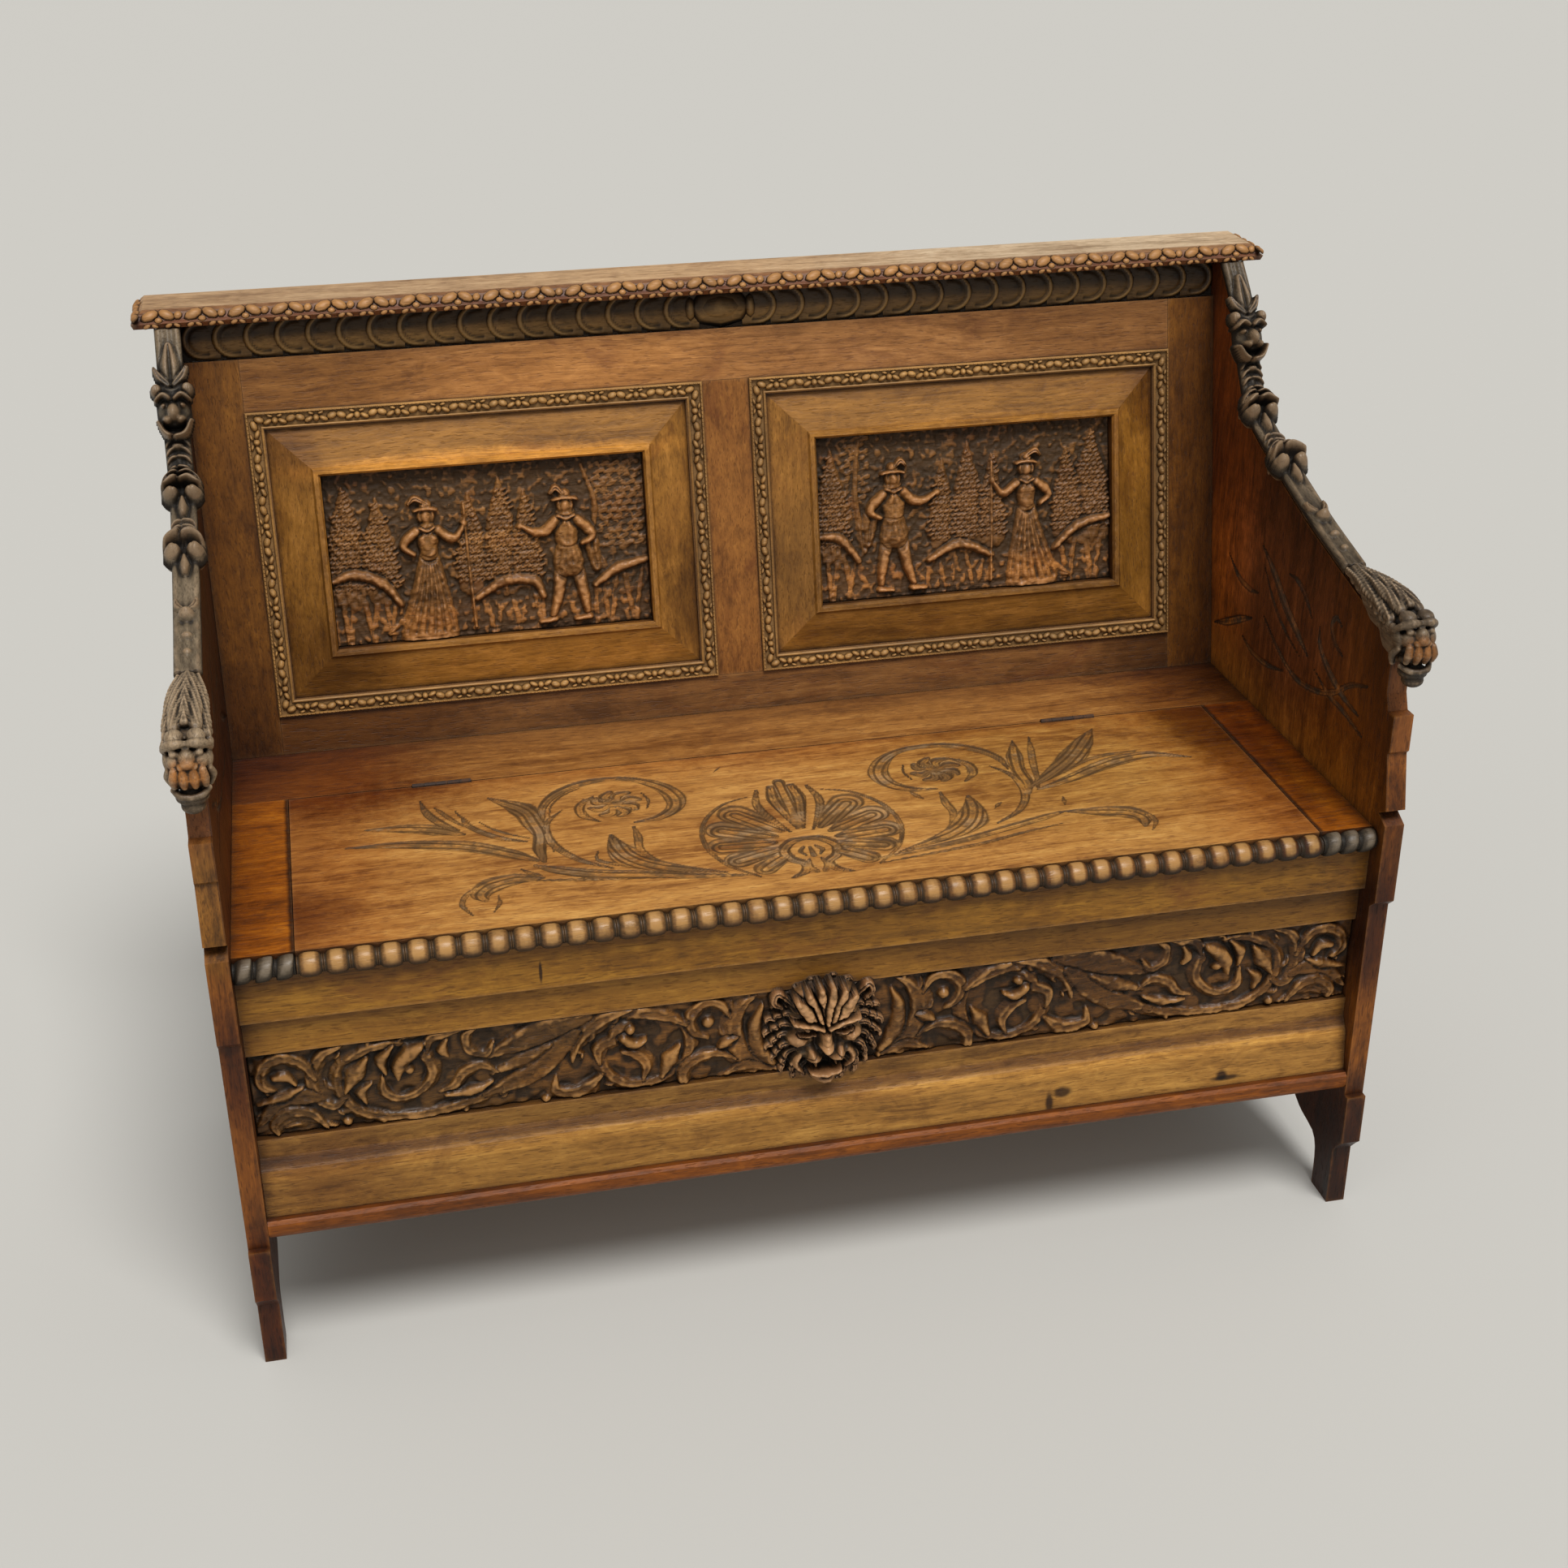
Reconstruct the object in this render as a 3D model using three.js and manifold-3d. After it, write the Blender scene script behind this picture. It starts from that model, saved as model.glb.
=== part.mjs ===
// Settle bench: a box seat with a hinged lid between two shaped end boards, a sloping
// panelled back and a moulded top board. Millimetres, +Z up, the front faces -Y.
import * as THREE from "three";
import { mergeVertices } from "three/addons/utils/BufferGeometryUtils.js";
import Module from "manifold-3d";

const wasm = await Module();
wasm.setup();

// Whole bench
const INNER_WIDTH = 1130;
const TOP_HEIGHT = 947;
const SEAT_HEIGHT = 470;
const SEAT_DEPTH = 437; // from the front line of the end boards to the foot of the backrest
const RECLINE_SHARE = 0.192; // how far the backrest leans back for its rise
const GAP = 0.3; // clearance between pieces that touch
const OVERRUN = 5; // how far a cutting shape runs past what it cuts

// End boards
const BOARD = 21;
const BACK_BEHIND = 33; // back edge behind the backrest's foot
const TOE_SET_BACK = 10;
const FOOT_LENGTH = 38;
const FOOT_BLOCK_OUT = 7;
const FOOT_LEDGE_UNDER = 6; // ledge under the box's bottom moulding
const FOOT_NECK_SHARE = 0.48; // of the ledge's height, as are the next two
const FOOT_BLOCK_SHARE = 0.607;
const ARCH_SHARE = 0.827;
const SEAT_BLOCK_OUT = 10;
const SEAT_BLOCK_HEIGHT = 88;
const SEAT_BLOCK_ABOVE = 11; // top of the block above the seat
const SEAT_BLOCK_CHAMFER = 9;
const NOTCH_HEIGHT = 16;
const NOTCH_DEPTH = 16;
const UPPER_FLARE = 8;
const UPPER_STEP = 4;
const UPPER_STEP_UNDER = 43; // step under the arm's ledge
const ARM_LEDGE = 128; // ledge above the seat
const NECK_SET_BACK = 13;
const NECK_HOLLOW = 20;
const NECK_HEIGHT = 33; // from the ledge to the carved head
const ARM_FRONT = 37; // the arm's front corner above the head's underside
const ARM_CURVE_Y = 136; // where the carved edge starts, behind the head
const ARM_CURVE = 72; // start of the carved edge above the head's underside
const STRIP = 8; // thickness of the carved strip on the sloping edge
const STRIP_WIDTH = 25;

// Top board
const TOP_OVERHANG = 24;
const TOP_THICKNESS = 17;
const TOP_FORWARD = 31.3; // nose in front of the backrest's face
const TOP_BEHIND = 9.7; // back edge behind the end boards
const TOP_CURVE_BEHIND = 6; // the arms' carved edges meet the board behind its nose
const TOP_INSET = 12; // the flat top starts this far inside the moulded edge

// Backrest
const FRAME = 22;
const STILE = 55;
const HALF_MUNTIN = 26;
const BOTTOM_RAIL = 42.5; // heights up the slope
const TOP_RAIL = 55;
const FRIEZE_BAND = 43.4;
const MOULDING = 18;
const MOULDING_PROUD = 6;
const BEVEL_SHARE = 0.131; // width of the bevel, of the panel's height
const BEVEL_LOW = 3;
const BEVEL_HIGH = 8;
const LIP = 9;
const LIP_PROUD = 3;
const SCENE_SUNK = 5;
const PANEL_BACK = 16;
const FRIEZE_SUNK = 7;
const SCALES_A_SIDE = 17;
const SCALE_PROUD = 6;
const CARTOUCHE = 60;

// Seat
const LID_THICKNESS = 24;
const LID_FRONT = 14;
const LID_BACK = 326.6;
const END_PIECE = 57;
const SIDE_GAP = 0.7;
const HINGE_GAP = 1.4;
const BEAD_RADIUS = 12;
const BEAD_BACK = 5.5;
const BEADS = 41;
const BATTEN_WIDTH = 30;
const BATTEN_THICKNESS = 15;
const BATTEN_INSET = 40;

// Front of the box
const RAIL_FACE = 13;
const FRONT_RAIL = 47.7;
const FRONT_BOARD = 22;
const BAND_FACE = 24;
const UPPER_BAND = 42.5;
const FRIEZE = 96.5;
const LOWER_BAND = 21;
const FRIEZE_DEPTH = 8;
const FRIEZE_PANEL = 4; // thickness of the carved panels behind their ground
const WAVE_DROP = 16; // from the lower band down to the crest
const WAVE_CREST = 15;
const WAVE_RUN = 44; // from the crest down to the bottom moulding
const APRON_FACE = 9;
const APRON = 22;
const CARVING_DEPTH = 10;
const STEM_WIDTH = 9;

// Box
const FLOOR_BOARD = 12;
const FLOOR_ABOVE = 16; // floor board above the bottom moulding's underside
const BACK_BOARD = 16;
const CLEAT = 18;
const BEARER = 22;
const BEARER_WIDTH = 50;

// Lion mask
const MASK_X = -6;
const MASK_HALF_WIDTH = 58;
const MASK_HALF_HEIGHT = 65;
const MASK_DEPTH = 44;

// Arm carvings
const HEAD_WIDTH = 48;
const HEAD_FRONT = -24;
const HEAD_HEIGHT = 88;
const KNOT_WIDTH = 44;
const KNOT_LENGTH = 30;
const KNOT_RISE = 24;
const DROP_WIDTH = 16;
const DROP_LENGTH = 24;
const ARM_MASK_WIDTH = 42;
const ARM_MASK_LENGTH = 54;
const ARM_MASK_RISE = 26;

// Hinges
const HINGE_INSET = 159; // hinge's middle from the lid's end
const HINGE_LENGTH = 62;
const LEAF = 1.2;
const LEAF_HEIGHT = 20;
const KNUCKLE_RADIUS = 2.6;
const PIN_RADIUS = 1.1;
const PIN_RISE = 0.4; // height of the pin's axis above the seat
const SCREW_RADIUS = 1.6;
const SCREW_HEAD = 3.2;
const SCREW_HEAD_DEPTH = 1.8;
const SCREW_LENGTH = 16;
const SCREW_SPACING = 34;

// Derived
const HALF = INNER_WIDTH / 2;
const OUTER = HALF + BOARD;
const BOARD_X = HALF + BOARD / 2;
const BACK_EDGE = SEAT_DEPTH + BACK_BEHIND;
const TOP_UNDER = TOP_HEIGHT - TOP_THICKNESS;
const LEAN = Math.atan(RECLINE_SHARE);
const LEAN_BACK = RECLINE_SHARE * (TOP_UNDER - SEAT_HEIGHT);
const SLOPE_LENGTH = (TOP_UNDER - GAP - SEAT_HEIGHT) / Math.cos(LEAN);
const TOP_FRONT_Y = SEAT_DEPTH + LEAN_BACK - TOP_FORWARD;
const TOP_BACK_Y = BACK_EDGE + LEAN_BACK + TOP_BEHIND;
const TOP_CURVE_Y = TOP_FRONT_Y + TOP_CURVE_BEHIND;
const RAIL_TOP_S = SLOPE_LENGTH - FRIEZE_BAND;
const PANEL_HEIGHT = RAIL_TOP_S - TOP_RAIL - BOTTOM_RAIL;
const PANEL_WIDTH = HALF - STILE - HALF_MUNTIN;
const PANEL_X = HALF_MUNTIN + PANEL_WIDTH / 2;
const PANEL_S = BOTTOM_RAIL + PANEL_HEIGHT / 2;
const LID_HALF = HALF - GAP - END_PIECE - SIDE_GAP;
const HINGE_X = LID_HALF - HINGE_INSET;
const LID_UNDER = SEAT_HEIGHT - LID_THICKNESS;
const RAIL_BOTTOM = LID_UNDER - GAP - FRONT_RAIL;
const FRIEZE_TOP = RAIL_BOTTOM - UPPER_BAND;
const FRIEZE_BOTTOM = FRIEZE_TOP - FRIEZE;
const FRIEZE_MIDDLE = FRIEZE_BOTTOM + FRIEZE / 2;
const WAVE_TOP = FRIEZE_BOTTOM - LOWER_BAND;
const WAVE_CREST_Z = WAVE_TOP - WAVE_DROP;
const APRON_TOP = WAVE_CREST_Z - WAVE_RUN;
const APRON_BOTTOM = APRON_TOP - APRON;
const FLOOR_Z = APRON_BOTTOM + FLOOR_ABOVE;
const FOOT_LEDGE_Z = APRON_BOTTOM - FOOT_LEDGE_UNDER;
const ARM_LEDGE_Z = SEAT_HEIGHT + ARM_LEDGE;
const HEAD_BOTTOM = ARM_LEDGE_Z + NECK_HEIGHT;
const ARM_FRONT_Z = HEAD_BOTTOM + ARM_FRONT;
const ARM_CURVE_Z = HEAD_BOTTOM + ARM_CURVE;
const STRIP_FRONT = LID_BACK + HINGE_GAP;
const PIN_Y = LID_BACK + HINGE_GAP / 2;
const PIN_Z = SEAT_HEIGHT + PIN_RISE;
const DEPTH_MIDDLE = (HEAD_FRONT + TOP_BACK_Y) / 2;

// Colours
const OAK = new THREE.MeshStandardMaterial({ color: 0x9a6a34, roughness: 0.5, metalness: 0 });
const RED_OAK = new THREE.MeshStandardMaterial({ color: 0x7c4422, roughness: 0.5, metalness: 0 });
const DARK_OAK = new THREE.MeshStandardMaterial({ color: 0x4a3420, roughness: 0.6, metalness: 0 });
const GREY_OAK = new THREE.MeshStandardMaterial({ color: 0x6a5238, roughness: 0.55, metalness: 0 });
const PLAIN_OAK = new THREE.MeshStandardMaterial({ color: 0x8a6a44, roughness: 0.8, metalness: 0 });
const IRON = new THREE.MeshStandardMaterial({ color: 0x2c2824, roughness: 0.5, metalness: 0.8 });

// Solids
function solid(geometry) {
  const bare = geometry.clone();
  bare.deleteAttribute("normal");
  bare.deleteAttribute("uv");
  const merged = mergeVertices(bare, 1e-4);
  const mesh = { numProp: 3, vertProperties: merged.attributes.position.array };
  mesh.triVerts = new Uint32Array(merged.index.array);
  return new wasm.Manifold(new wasm.Mesh(mesh));
}

function geometryOf(body) {
  const m = body.getMesh();
  const geometry = new THREE.BufferGeometry();
  geometry.setAttribute("position", new THREE.BufferAttribute(m.vertProperties, m.numProp));
  geometry.setIndex(new THREE.BufferAttribute(m.triVerts, 1));
  const flat = geometry.toNonIndexed();
  flat.computeVertexNormals();
  return flat;
}

const join = (first, ...rest) => geometryOf(rest.reduce((all, g) => all.add(solid(g)), solid(first)));
const cut = (first, ...rest) => geometryOf(rest.reduce((all, g) => all.subtract(solid(g)), solid(first)));
const common = (a, b) => geometryOf(solid(a).intersect(solid(b)));

function block(x0, x1, y0, y1, z0, z1) {
  const box = new THREE.BoxGeometry(x1 - x0, y1 - y0, z1 - z0);
  return box.translate((x0 + x1) / 2, (y0 + y1) / 2, (z0 + z1) / 2);
}

const outline = (points) => new THREE.Shape(points.map(([a, b]) => new THREE.Vector2(a, b)));
const extrude = (shape, depth) => new THREE.ExtrudeGeometry(shape, { depth, bevelEnabled: false });

// A section of points (y, z) carried along X.
function alongX(points, x0, x1) {
  const axes = new THREE.Matrix4().set(0, 0, 1, x0, 1, 0, 0, 0, 0, 1, 0, 0, 0, 0, 0, 1);
  return extrude(outline(points), x1 - x0).applyMatrix4(axes);
}

// A section of points (x, z) carried along Y.
function alongY(points, y0, y1) {
  return extrude(outline(points), y1 - y0).rotateX(Math.PI / 2).translate(0, y1, 0);
}

// A rectangular frame of rings, each ring [inset, rise towards the viewer], closed on itself.
function mitredFrame(width, height, rings) {
  const corners = [[-1, -1], [1, -1], [1, 1], [-1, 1]];
  const at = rings.map(([inset, rise]) =>
    corners.map(([a, b]) => [a * (width / 2 - inset), -rise, b * (height / 2 - inset)]));
  const index = [];
  rings.forEach((_, i) => index.push(...skin(i, (i + 1) % rings.length, corners.length)));
  return indexed(at.flat(2), index);
}

// Two triangles for each step round a pair of rings with the same number of points.
function skin(i, j, count) {
  const index = [];
  for (let k = 0; k < count; k++) {
    const l = (k + 1) % count;
    const [a, b, c, d] = [i * count + k, i * count + l, j * count + l, j * count + k];
    index.push(a, b, c, a, c, d);
  }
  return index;
}

function indexed(positions, index) {
  const geometry = new THREE.BufferGeometry().setIndex(index);
  geometry.setAttribute("position", new THREE.Float32BufferAttribute(positions, 3));
  return geometry;
}

// A closed body through rings of points, with a flat end on the first and the last.
function loft(rings) {
  const count = rings[0].length;
  const index = [];
  for (let i = 0; i + 1 < rings.length; i++) index.push(...skin(i, i + 1, count));
  const last = (rings.length - 1) * count;
  for (let k = 1; k + 1 < count; k++) index.push(0, k + 1, k, last, last + k, last + k + 1);
  return indexed(rings.flat(2), index);
}

const smooth = (points, steps) =>
  new THREE.SplineCurve(points.map(([a, b]) => new THREE.Vector2(a, b))).getPoints(steps)
    .map((p) => [p.x, p.y]);

const BALL_AROUND = 8;
const BALL_DOWN = 6;

// An ellipsoid with its half sizes along X, Y and Z.
function ball(x, y, z, rx, ry, rz, turn = 0) {
  const round = new THREE.SphereGeometry(1, BALL_AROUND, BALL_DOWN).scale(rx, ry, rz);
  return round.rotateX(turn).translate(x, y, z);
}

const root = new THREE.Group();
const bench = new THREE.Group();
bench.position.y = -DEPTH_MIDDLE;
root.add(bench);
const backrest = new THREE.Group();
backrest.position.set(0, SEAT_DEPTH, SEAT_HEIGHT);
backrest.rotation.x = -LEAN;
bench.add(backrest);

function add(name, geometry, material, group = bench) {
  const mesh = new THREE.Mesh(geometry, material);
  mesh.name = name;
  group.add(mesh);
  return mesh;
}

const SIDES = [["left", -1], ["right", 1]];

// Limits in x, low first, of a span that runs from a to b on one side.
const span = (side, a, b) => (side < 0 ? [-b, -a] : [a, b]);

// The carved edge of the arm: shares of the way back and of the rise to the top board.
const ARM_CURVE_SHARES = [
  [0, 0], [0.242, 0.099], [0.522, 0.242], [0.684, 0.341], [0.739, 0.407],
  [0.808, 0.561], [0.876, 0.79], [1, 1],
];
const ARM_STEPS = 18;

function armSpline() {
  const run = TOP_CURVE_Y - ARM_CURVE_Y;
  const rise = TOP_UNDER - GAP - ARM_CURVE_Z;
  return new THREE.SplineCurve(ARM_CURVE_SHARES.map(([a, b]) =>
    new THREE.Vector2(ARM_CURVE_Y + a * run, ARM_CURVE_Z + b * rise)));
}

// Points (y, z) at a depth under the carved edge, the last of them under the top board.
function armCurve(depth) {
  const curve = armSpline();
  const points = [];
  for (let i = 0; i <= ARM_STEPS; i++) {
    const p = curve.getPointAt(i / ARM_STEPS);
    const t = curve.getTangentAt(i / ARM_STEPS);
    points.push([p.x + t.y * depth, Math.min(p.y - t.x * depth, TOP_UNDER - GAP)]);
  }
  points[ARM_STEPS][1] = TOP_UNDER - GAP;
  return points;
}

// Half of the arch between the feet: shares of half the span and of the arch's height.
const ARCH_SHARES = [
  [1, 0.18], [0.99, 0.38], [0.935, 0.5], [0.79, 0.545], [0.69, 0.61],
  [0.47, 0.83], [0.24, 0.96], [0, 1],
];
const ARCH_STEPS = 14;

function archOutline() {
  const middle = (TOE_SET_BACK + BACK_EDGE) / 2;
  const half = middle - TOE_SET_BACK - FOOT_LENGTH;
  const curve = smooth(ARCH_SHARES.map(([a, b]) => [a * half, b * ARCH_SHARE * FOOT_LEDGE_Z]), ARCH_STEPS);
  const back = curve.map(([a, b]) => [middle + a, b]);
  const front = curve.slice(0, -1).reverse().map(([a, b]) => [middle - a, b]);
  return [[middle + half, 0], ...back, ...front, [middle - half, 0]];
}

function endBoardOutline() {
  const blockTop = SEAT_HEIGHT + SEAT_BLOCK_ABOVE;
  const blockBottom = blockTop - SEAT_BLOCK_HEIGHT;
  const stepZ = ARM_LEDGE_Z - UPPER_STEP_UNDER;
  const footBlock = FOOT_BLOCK_SHARE * FOOT_LEDGE_Z;
  const front = [
    [TOE_SET_BACK, 0], [TOE_SET_BACK, FOOT_NECK_SHARE * FOOT_LEDGE_Z],
    [0, footBlock - FOOT_BLOCK_OUT], [-FOOT_BLOCK_OUT, footBlock],
    [-FOOT_BLOCK_OUT, FOOT_LEDGE_Z], [0, FOOT_LEDGE_Z],
    [0, blockBottom - SEAT_BLOCK_CHAMFER], [-SEAT_BLOCK_OUT, blockBottom],
    [-SEAT_BLOCK_OUT, blockTop], [NOTCH_DEPTH - SEAT_BLOCK_OUT, blockTop + NOTCH_HEIGHT / 2],
    [-UPPER_FLARE, blockTop + NOTCH_HEIGHT], [UPPER_STEP, stepZ],
    [0, stepZ + UPPER_STEP], [0, ARM_LEDGE_Z], [NECK_SET_BACK, ARM_LEDGE_Z],
    [NECK_HOLLOW, (ARM_LEDGE_Z + HEAD_BOTTOM) / 2], [NECK_HOLLOW, ARM_FRONT_Z],
  ];
  const back = [[BACK_EDGE + LEAN_BACK, TOP_UNDER - GAP], [BACK_EDGE, SEAT_HEIGHT], [BACK_EDGE, 0]];
  return [...front, ...armCurve(STRIP + GAP), ...back, ...archOutline()];
}

function endBoards() {
  for (const [word, side] of SIDES)
    add(word + "_end_board", alongX(endBoardOutline(), ...span(side, HALF, OUTER)), RED_OAK);
}

// The top board's moulded edge: shares of its inset and of the board's thickness.
const TOP_EDGE_SHARES = [[0.6, 0], [0.17, 0], [0, 0.3], [0.25, 0.44], [0.7, 0.85], [1, 1]];

// Top board: the moulded section of its front crossed with that of its two ends.
function topBoard() {
  const tipX = OUTER + TOP_OVERHANG;
  const edge = (inward, tip) => TOP_EDGE_SHARES.map(([a, b]) =>
    [tip + inward * a * TOP_INSET, TOP_UNDER + b * TOP_THICKNESS]);
  const section = [...edge(1, TOP_FRONT_Y), [TOP_BACK_Y, TOP_HEIGHT], [TOP_BACK_Y, TOP_UNDER]];
  const ends = [...edge(1, -tipX), ...edge(-1, tipX).reverse()];
  const long = alongX(section, -tipX, tipX);
  add("top_board", common(long, alongY(ends, TOP_FRONT_Y - OVERRUN, TOP_BACK_Y + OVERRUN)), OAK);
}

// A member of the back frame, from s0 to s1 up the slope. At s0 = 0 its foot is cut level.
function backMember(name, x0, x1, s0, s1) {
  const level = s0 === 0 ? FRAME * RECLINE_SHARE : 0;
  const foot = s0 === 0 ? GAP : s0;
  const section = [[0, foot], [FRAME, foot + level], [FRAME, s1], [0, s1]];
  add(name, alongX(section, x0, x1), OAK, backrest);
}

function backFrame() {
  const inside = HALF - STILE - GAP;
  const highRail = BOTTOM_RAIL + PANEL_HEIGHT + GAP;
  for (const [word, side] of SIDES)
    backMember("back_" + word + "_stile", ...span(side, HALF - STILE, HALF - GAP), 0, RAIL_TOP_S);
  backMember("back_bottom_rail", -inside, inside, 0, BOTTOM_RAIL - GAP);
  backMember("back_top_rail", -inside, inside, highRail, RAIL_TOP_S);
  const edge = HALF_MUNTIN - GAP;
  backMember("back_muntin", -edge, edge, BOTTOM_RAIL, BOTTOM_RAIL + PANEL_HEIGHT);
  backFrieze(RAIL_TOP_S + GAP, SLOPE_LENGTH);
}

// The band of overlapping scales under the top board, with a plain oval in its middle.
const SCALE_SIDES = 10;

function backFrieze(s0, s1) {
  const half = HALF - GAP;
  const middle = (s0 + s1) / 2;
  const radius = (s1 - s0) / 2;
  const pitch = (half - CARTOUCHE / 2) / SCALES_A_SIDE;
  const parts = [block(-half, half, FRIEZE_SUNK, FRAME, s0, s1)];
  for (const [, side] of SIDES)
    for (let i = 0; i < SCALES_A_SIDE; i++) parts.push(scale(side, i, pitch, middle, radius));
  parts.push(ball(0, FRIEZE_SUNK, middle, CARTOUCHE / 2, SCALE_PROUD, radius));
  const band = block(-half, half, 0, FRAME, s0, s1);
  add("back_frieze", common(join(...parts), band), GREY_OAK, backrest);
}

function scale(side, i, pitch, middle, radius) {
  const disc = new THREE.CylinderGeometry(radius, radius, SCALE_PROUD, SCALE_SIDES);
  const tilt = Math.atan(SCALE_PROUD / 2 / pitch);
  const x = side * (CARTOUCHE / 2 + (i + 1) * pitch - radius);
  return disc.rotateZ(-side * tilt).translate(x, FRIEZE_SUNK, middle);
}

// Fielded panels: a leaf moulding, a mitred bevel rising to a lip, and a sunk carved scene.
function fieldedPanel(word, side) {
  const holder = new THREE.Group();
  holder.position.set(side * PANEL_X, 0, PANEL_S);
  backrest.add(holder);
  const w = PANEL_WIDTH - 2 * GAP;
  const h = PANEL_HEIGHT - 2 * GAP;
  const moulding = [
    [0, 0], [0, MOULDING_PROUD / 2], [MOULDING / 4, MOULDING_PROUD],
    [MOULDING * 3 / 4, MOULDING_PROUD], [MOULDING, MOULDING_PROUD / 2], [MOULDING, 0],
  ];
  add(word + "_leaf_moulding", mitredFrame(w, h, moulding), GREY_OAK, holder);
  const lipIn = MOULDING + BEVEL_SHARE * PANEL_HEIGHT;
  const lipTop = BEVEL_HIGH + LIP_PROUD;
  const bevel = [
    [0, -PANEL_BACK], [0, -GAP], [MOULDING + GAP, -GAP], [MOULDING + GAP, -BEVEL_LOW],
    [lipIn, BEVEL_HIGH], [lipIn + LIP / 4, lipTop], [lipIn + LIP * 3 / 4, lipTop],
    [lipIn + LIP, BEVEL_HIGH], [lipIn + LIP, -PANEL_BACK],
  ];
  add(word + "_bevel_frame", mitredFrame(w, h, bevel), OAK, holder);
  const inset = lipIn + LIP + GAP;
  add(word + "_scene_panel", scene(w / 2 - inset, h / 2 - inset), DARK_OAK, holder);
}

// Relief outlines in shares of half the panel's width and height, or of their own size.
const HILL_SHARES = [
  [-1, -1], [1, -1], [1, -0.45], [0.62, -0.3], [0.36, -0.62], [0.1, -0.66], [-0.14, -0.42],
  [-0.42, -0.66], [-0.72, -0.36], [-1, -0.5],
];
const TREE_SHARES = [[-0.5, 0], [0.5, 0], [0.2, 0.5], [0, 1], [-0.2, 0.5]];
const GOWN_SHARES = [
  [-0.5, 0], [0.62, 0], [0.3, 0.3], [0.16, 0.62], [0.3, 0.8], [0.1, 0.84], [0.12, 1],
  [-0.12, 1], [-0.1, 0.84], [-0.3, 0.8], [-0.2, 0.62], [-0.34, 0.3],
];
const COAT_SHARES = [
  [-0.6, 0], [-0.34, 0], [0, 0.42], [0.34, 0], [0.6, 0], [0.32, 0.52], [0.4, 0.8], [0.12, 0.85],
  [0.16, 1], [-0.16, 1], [-0.12, 0.85], [-0.4, 0.8], [-0.32, 0.52],
];
// A tree's place across, width and height, and a figure's outline and place across.
const TREES_SHARES = [[-0.82, 0.3, 1.2], [-0.58, 0.22, 0.9], [0.82, 0.34, 1.36]];
const FIGURES_SHARES = [[GOWN_SHARES, -0.33], [COAT_SHARES, 0.29]];
const TREE_FOOT_SHARE = -0.5;
const FIGURE_FOOT_SHARE = -0.8;
const FIGURE_WIDTH_SHARE = 0.42;
const FIGURE_HEIGHT_SHARE = 1.55;
// How far each stands out, in shares of the depth that the scene is sunk.
const HILL_RISE_SHARE = 0.33;
const TREE_RISE_SHARE = 0.5;
const FIGURE_RISE_SHARE = 0.67;

function scene(halfWidth, halfHeight) {
  const raised = (shares, x, foot, width, height, rise) => alongY(
    shares.map(([a, b]) => [x * halfWidth + a * width, foot * halfHeight + b * height]),
    SCENE_SUNK * (1 - rise), SCENE_SUNK * (1 + rise));
  const parts = [
    block(-halfWidth, halfWidth, SCENE_SUNK, PANEL_BACK, -halfHeight, halfHeight),
    raised(HILL_SHARES, 0, 0, halfWidth, halfHeight, HILL_RISE_SHARE),
  ];
  for (const [x, width, height] of TREES_SHARES)
    parts.push(raised(TREE_SHARES, x, TREE_FOOT_SHARE, width * halfHeight, height * halfHeight,
      TREE_RISE_SHARE));
  for (const [shares, x] of FIGURES_SHARES)
    parts.push(raised(shares, x, FIGURE_FOOT_SHARE, FIGURE_WIDTH_SHARE * halfHeight,
      FIGURE_HEIGHT_SHARE * halfHeight, FIGURE_RISE_SHARE));
  return join(...parts);
}

// Seat: the lid with its bead moulding and battens, and the fixed boards round it.
function seat() {
  const top = SEAT_HEIGHT;
  const lid = block(-LID_HALF, LID_HALF, LID_FRONT, LID_BACK, LID_UNDER, top);
  add("seat_lid", cut(lid, ...hingeRoom(-1)), OAK);
  add("lid_bead_moulding", beads(-LID_HALF, LID_HALF, BEADS), OAK);
  const strip = block(-HALF + GAP, HALF - GAP, STRIP_FRONT, BACK_EDGE, LID_UNDER, top);
  add("seat_back_strip", cut(strip, ...hingeRoom(1)), RED_OAK);
  const returnBeads = Math.round((HALF - LID_HALF) * BEADS / (2 * LID_HALF));
  for (const [word, side] of SIDES) {
    const [x0, x1] = span(side, LID_HALF + SIDE_GAP, HALF - GAP);
    const piece = block(x0, x1, LID_FRONT, STRIP_FRONT - GAP, LID_UNDER, top);
    add("seat_" + word + "_end_piece", piece, RED_OAK);
    add(word + "_bead_return", beads(x0, x1, returnBeads), DARK_OAK);
    const [b0, b1] = span(side, (LID_HALF - BATTEN_WIDTH) / 2, (LID_HALF + BATTEN_WIDTH) / 2);
    const batten = block(b0, b1, BAND_FACE + FRONT_BOARD + BATTEN_INSET, LID_BACK - BATTEN_INSET,
      LID_UNDER - GAP - BATTEN_THICKNESS, LID_UNDER - GAP);
    add("lid_" + word + "_batten", batten, PLAIN_OAK);
  }
}

const BEAD_SIDES = 10;
const GROOVE_SHARE = 0.74; // radius of the groove between two beads
const SHOULDER_SHARE = 0.26; // how far along a bead its full radius starts

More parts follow.
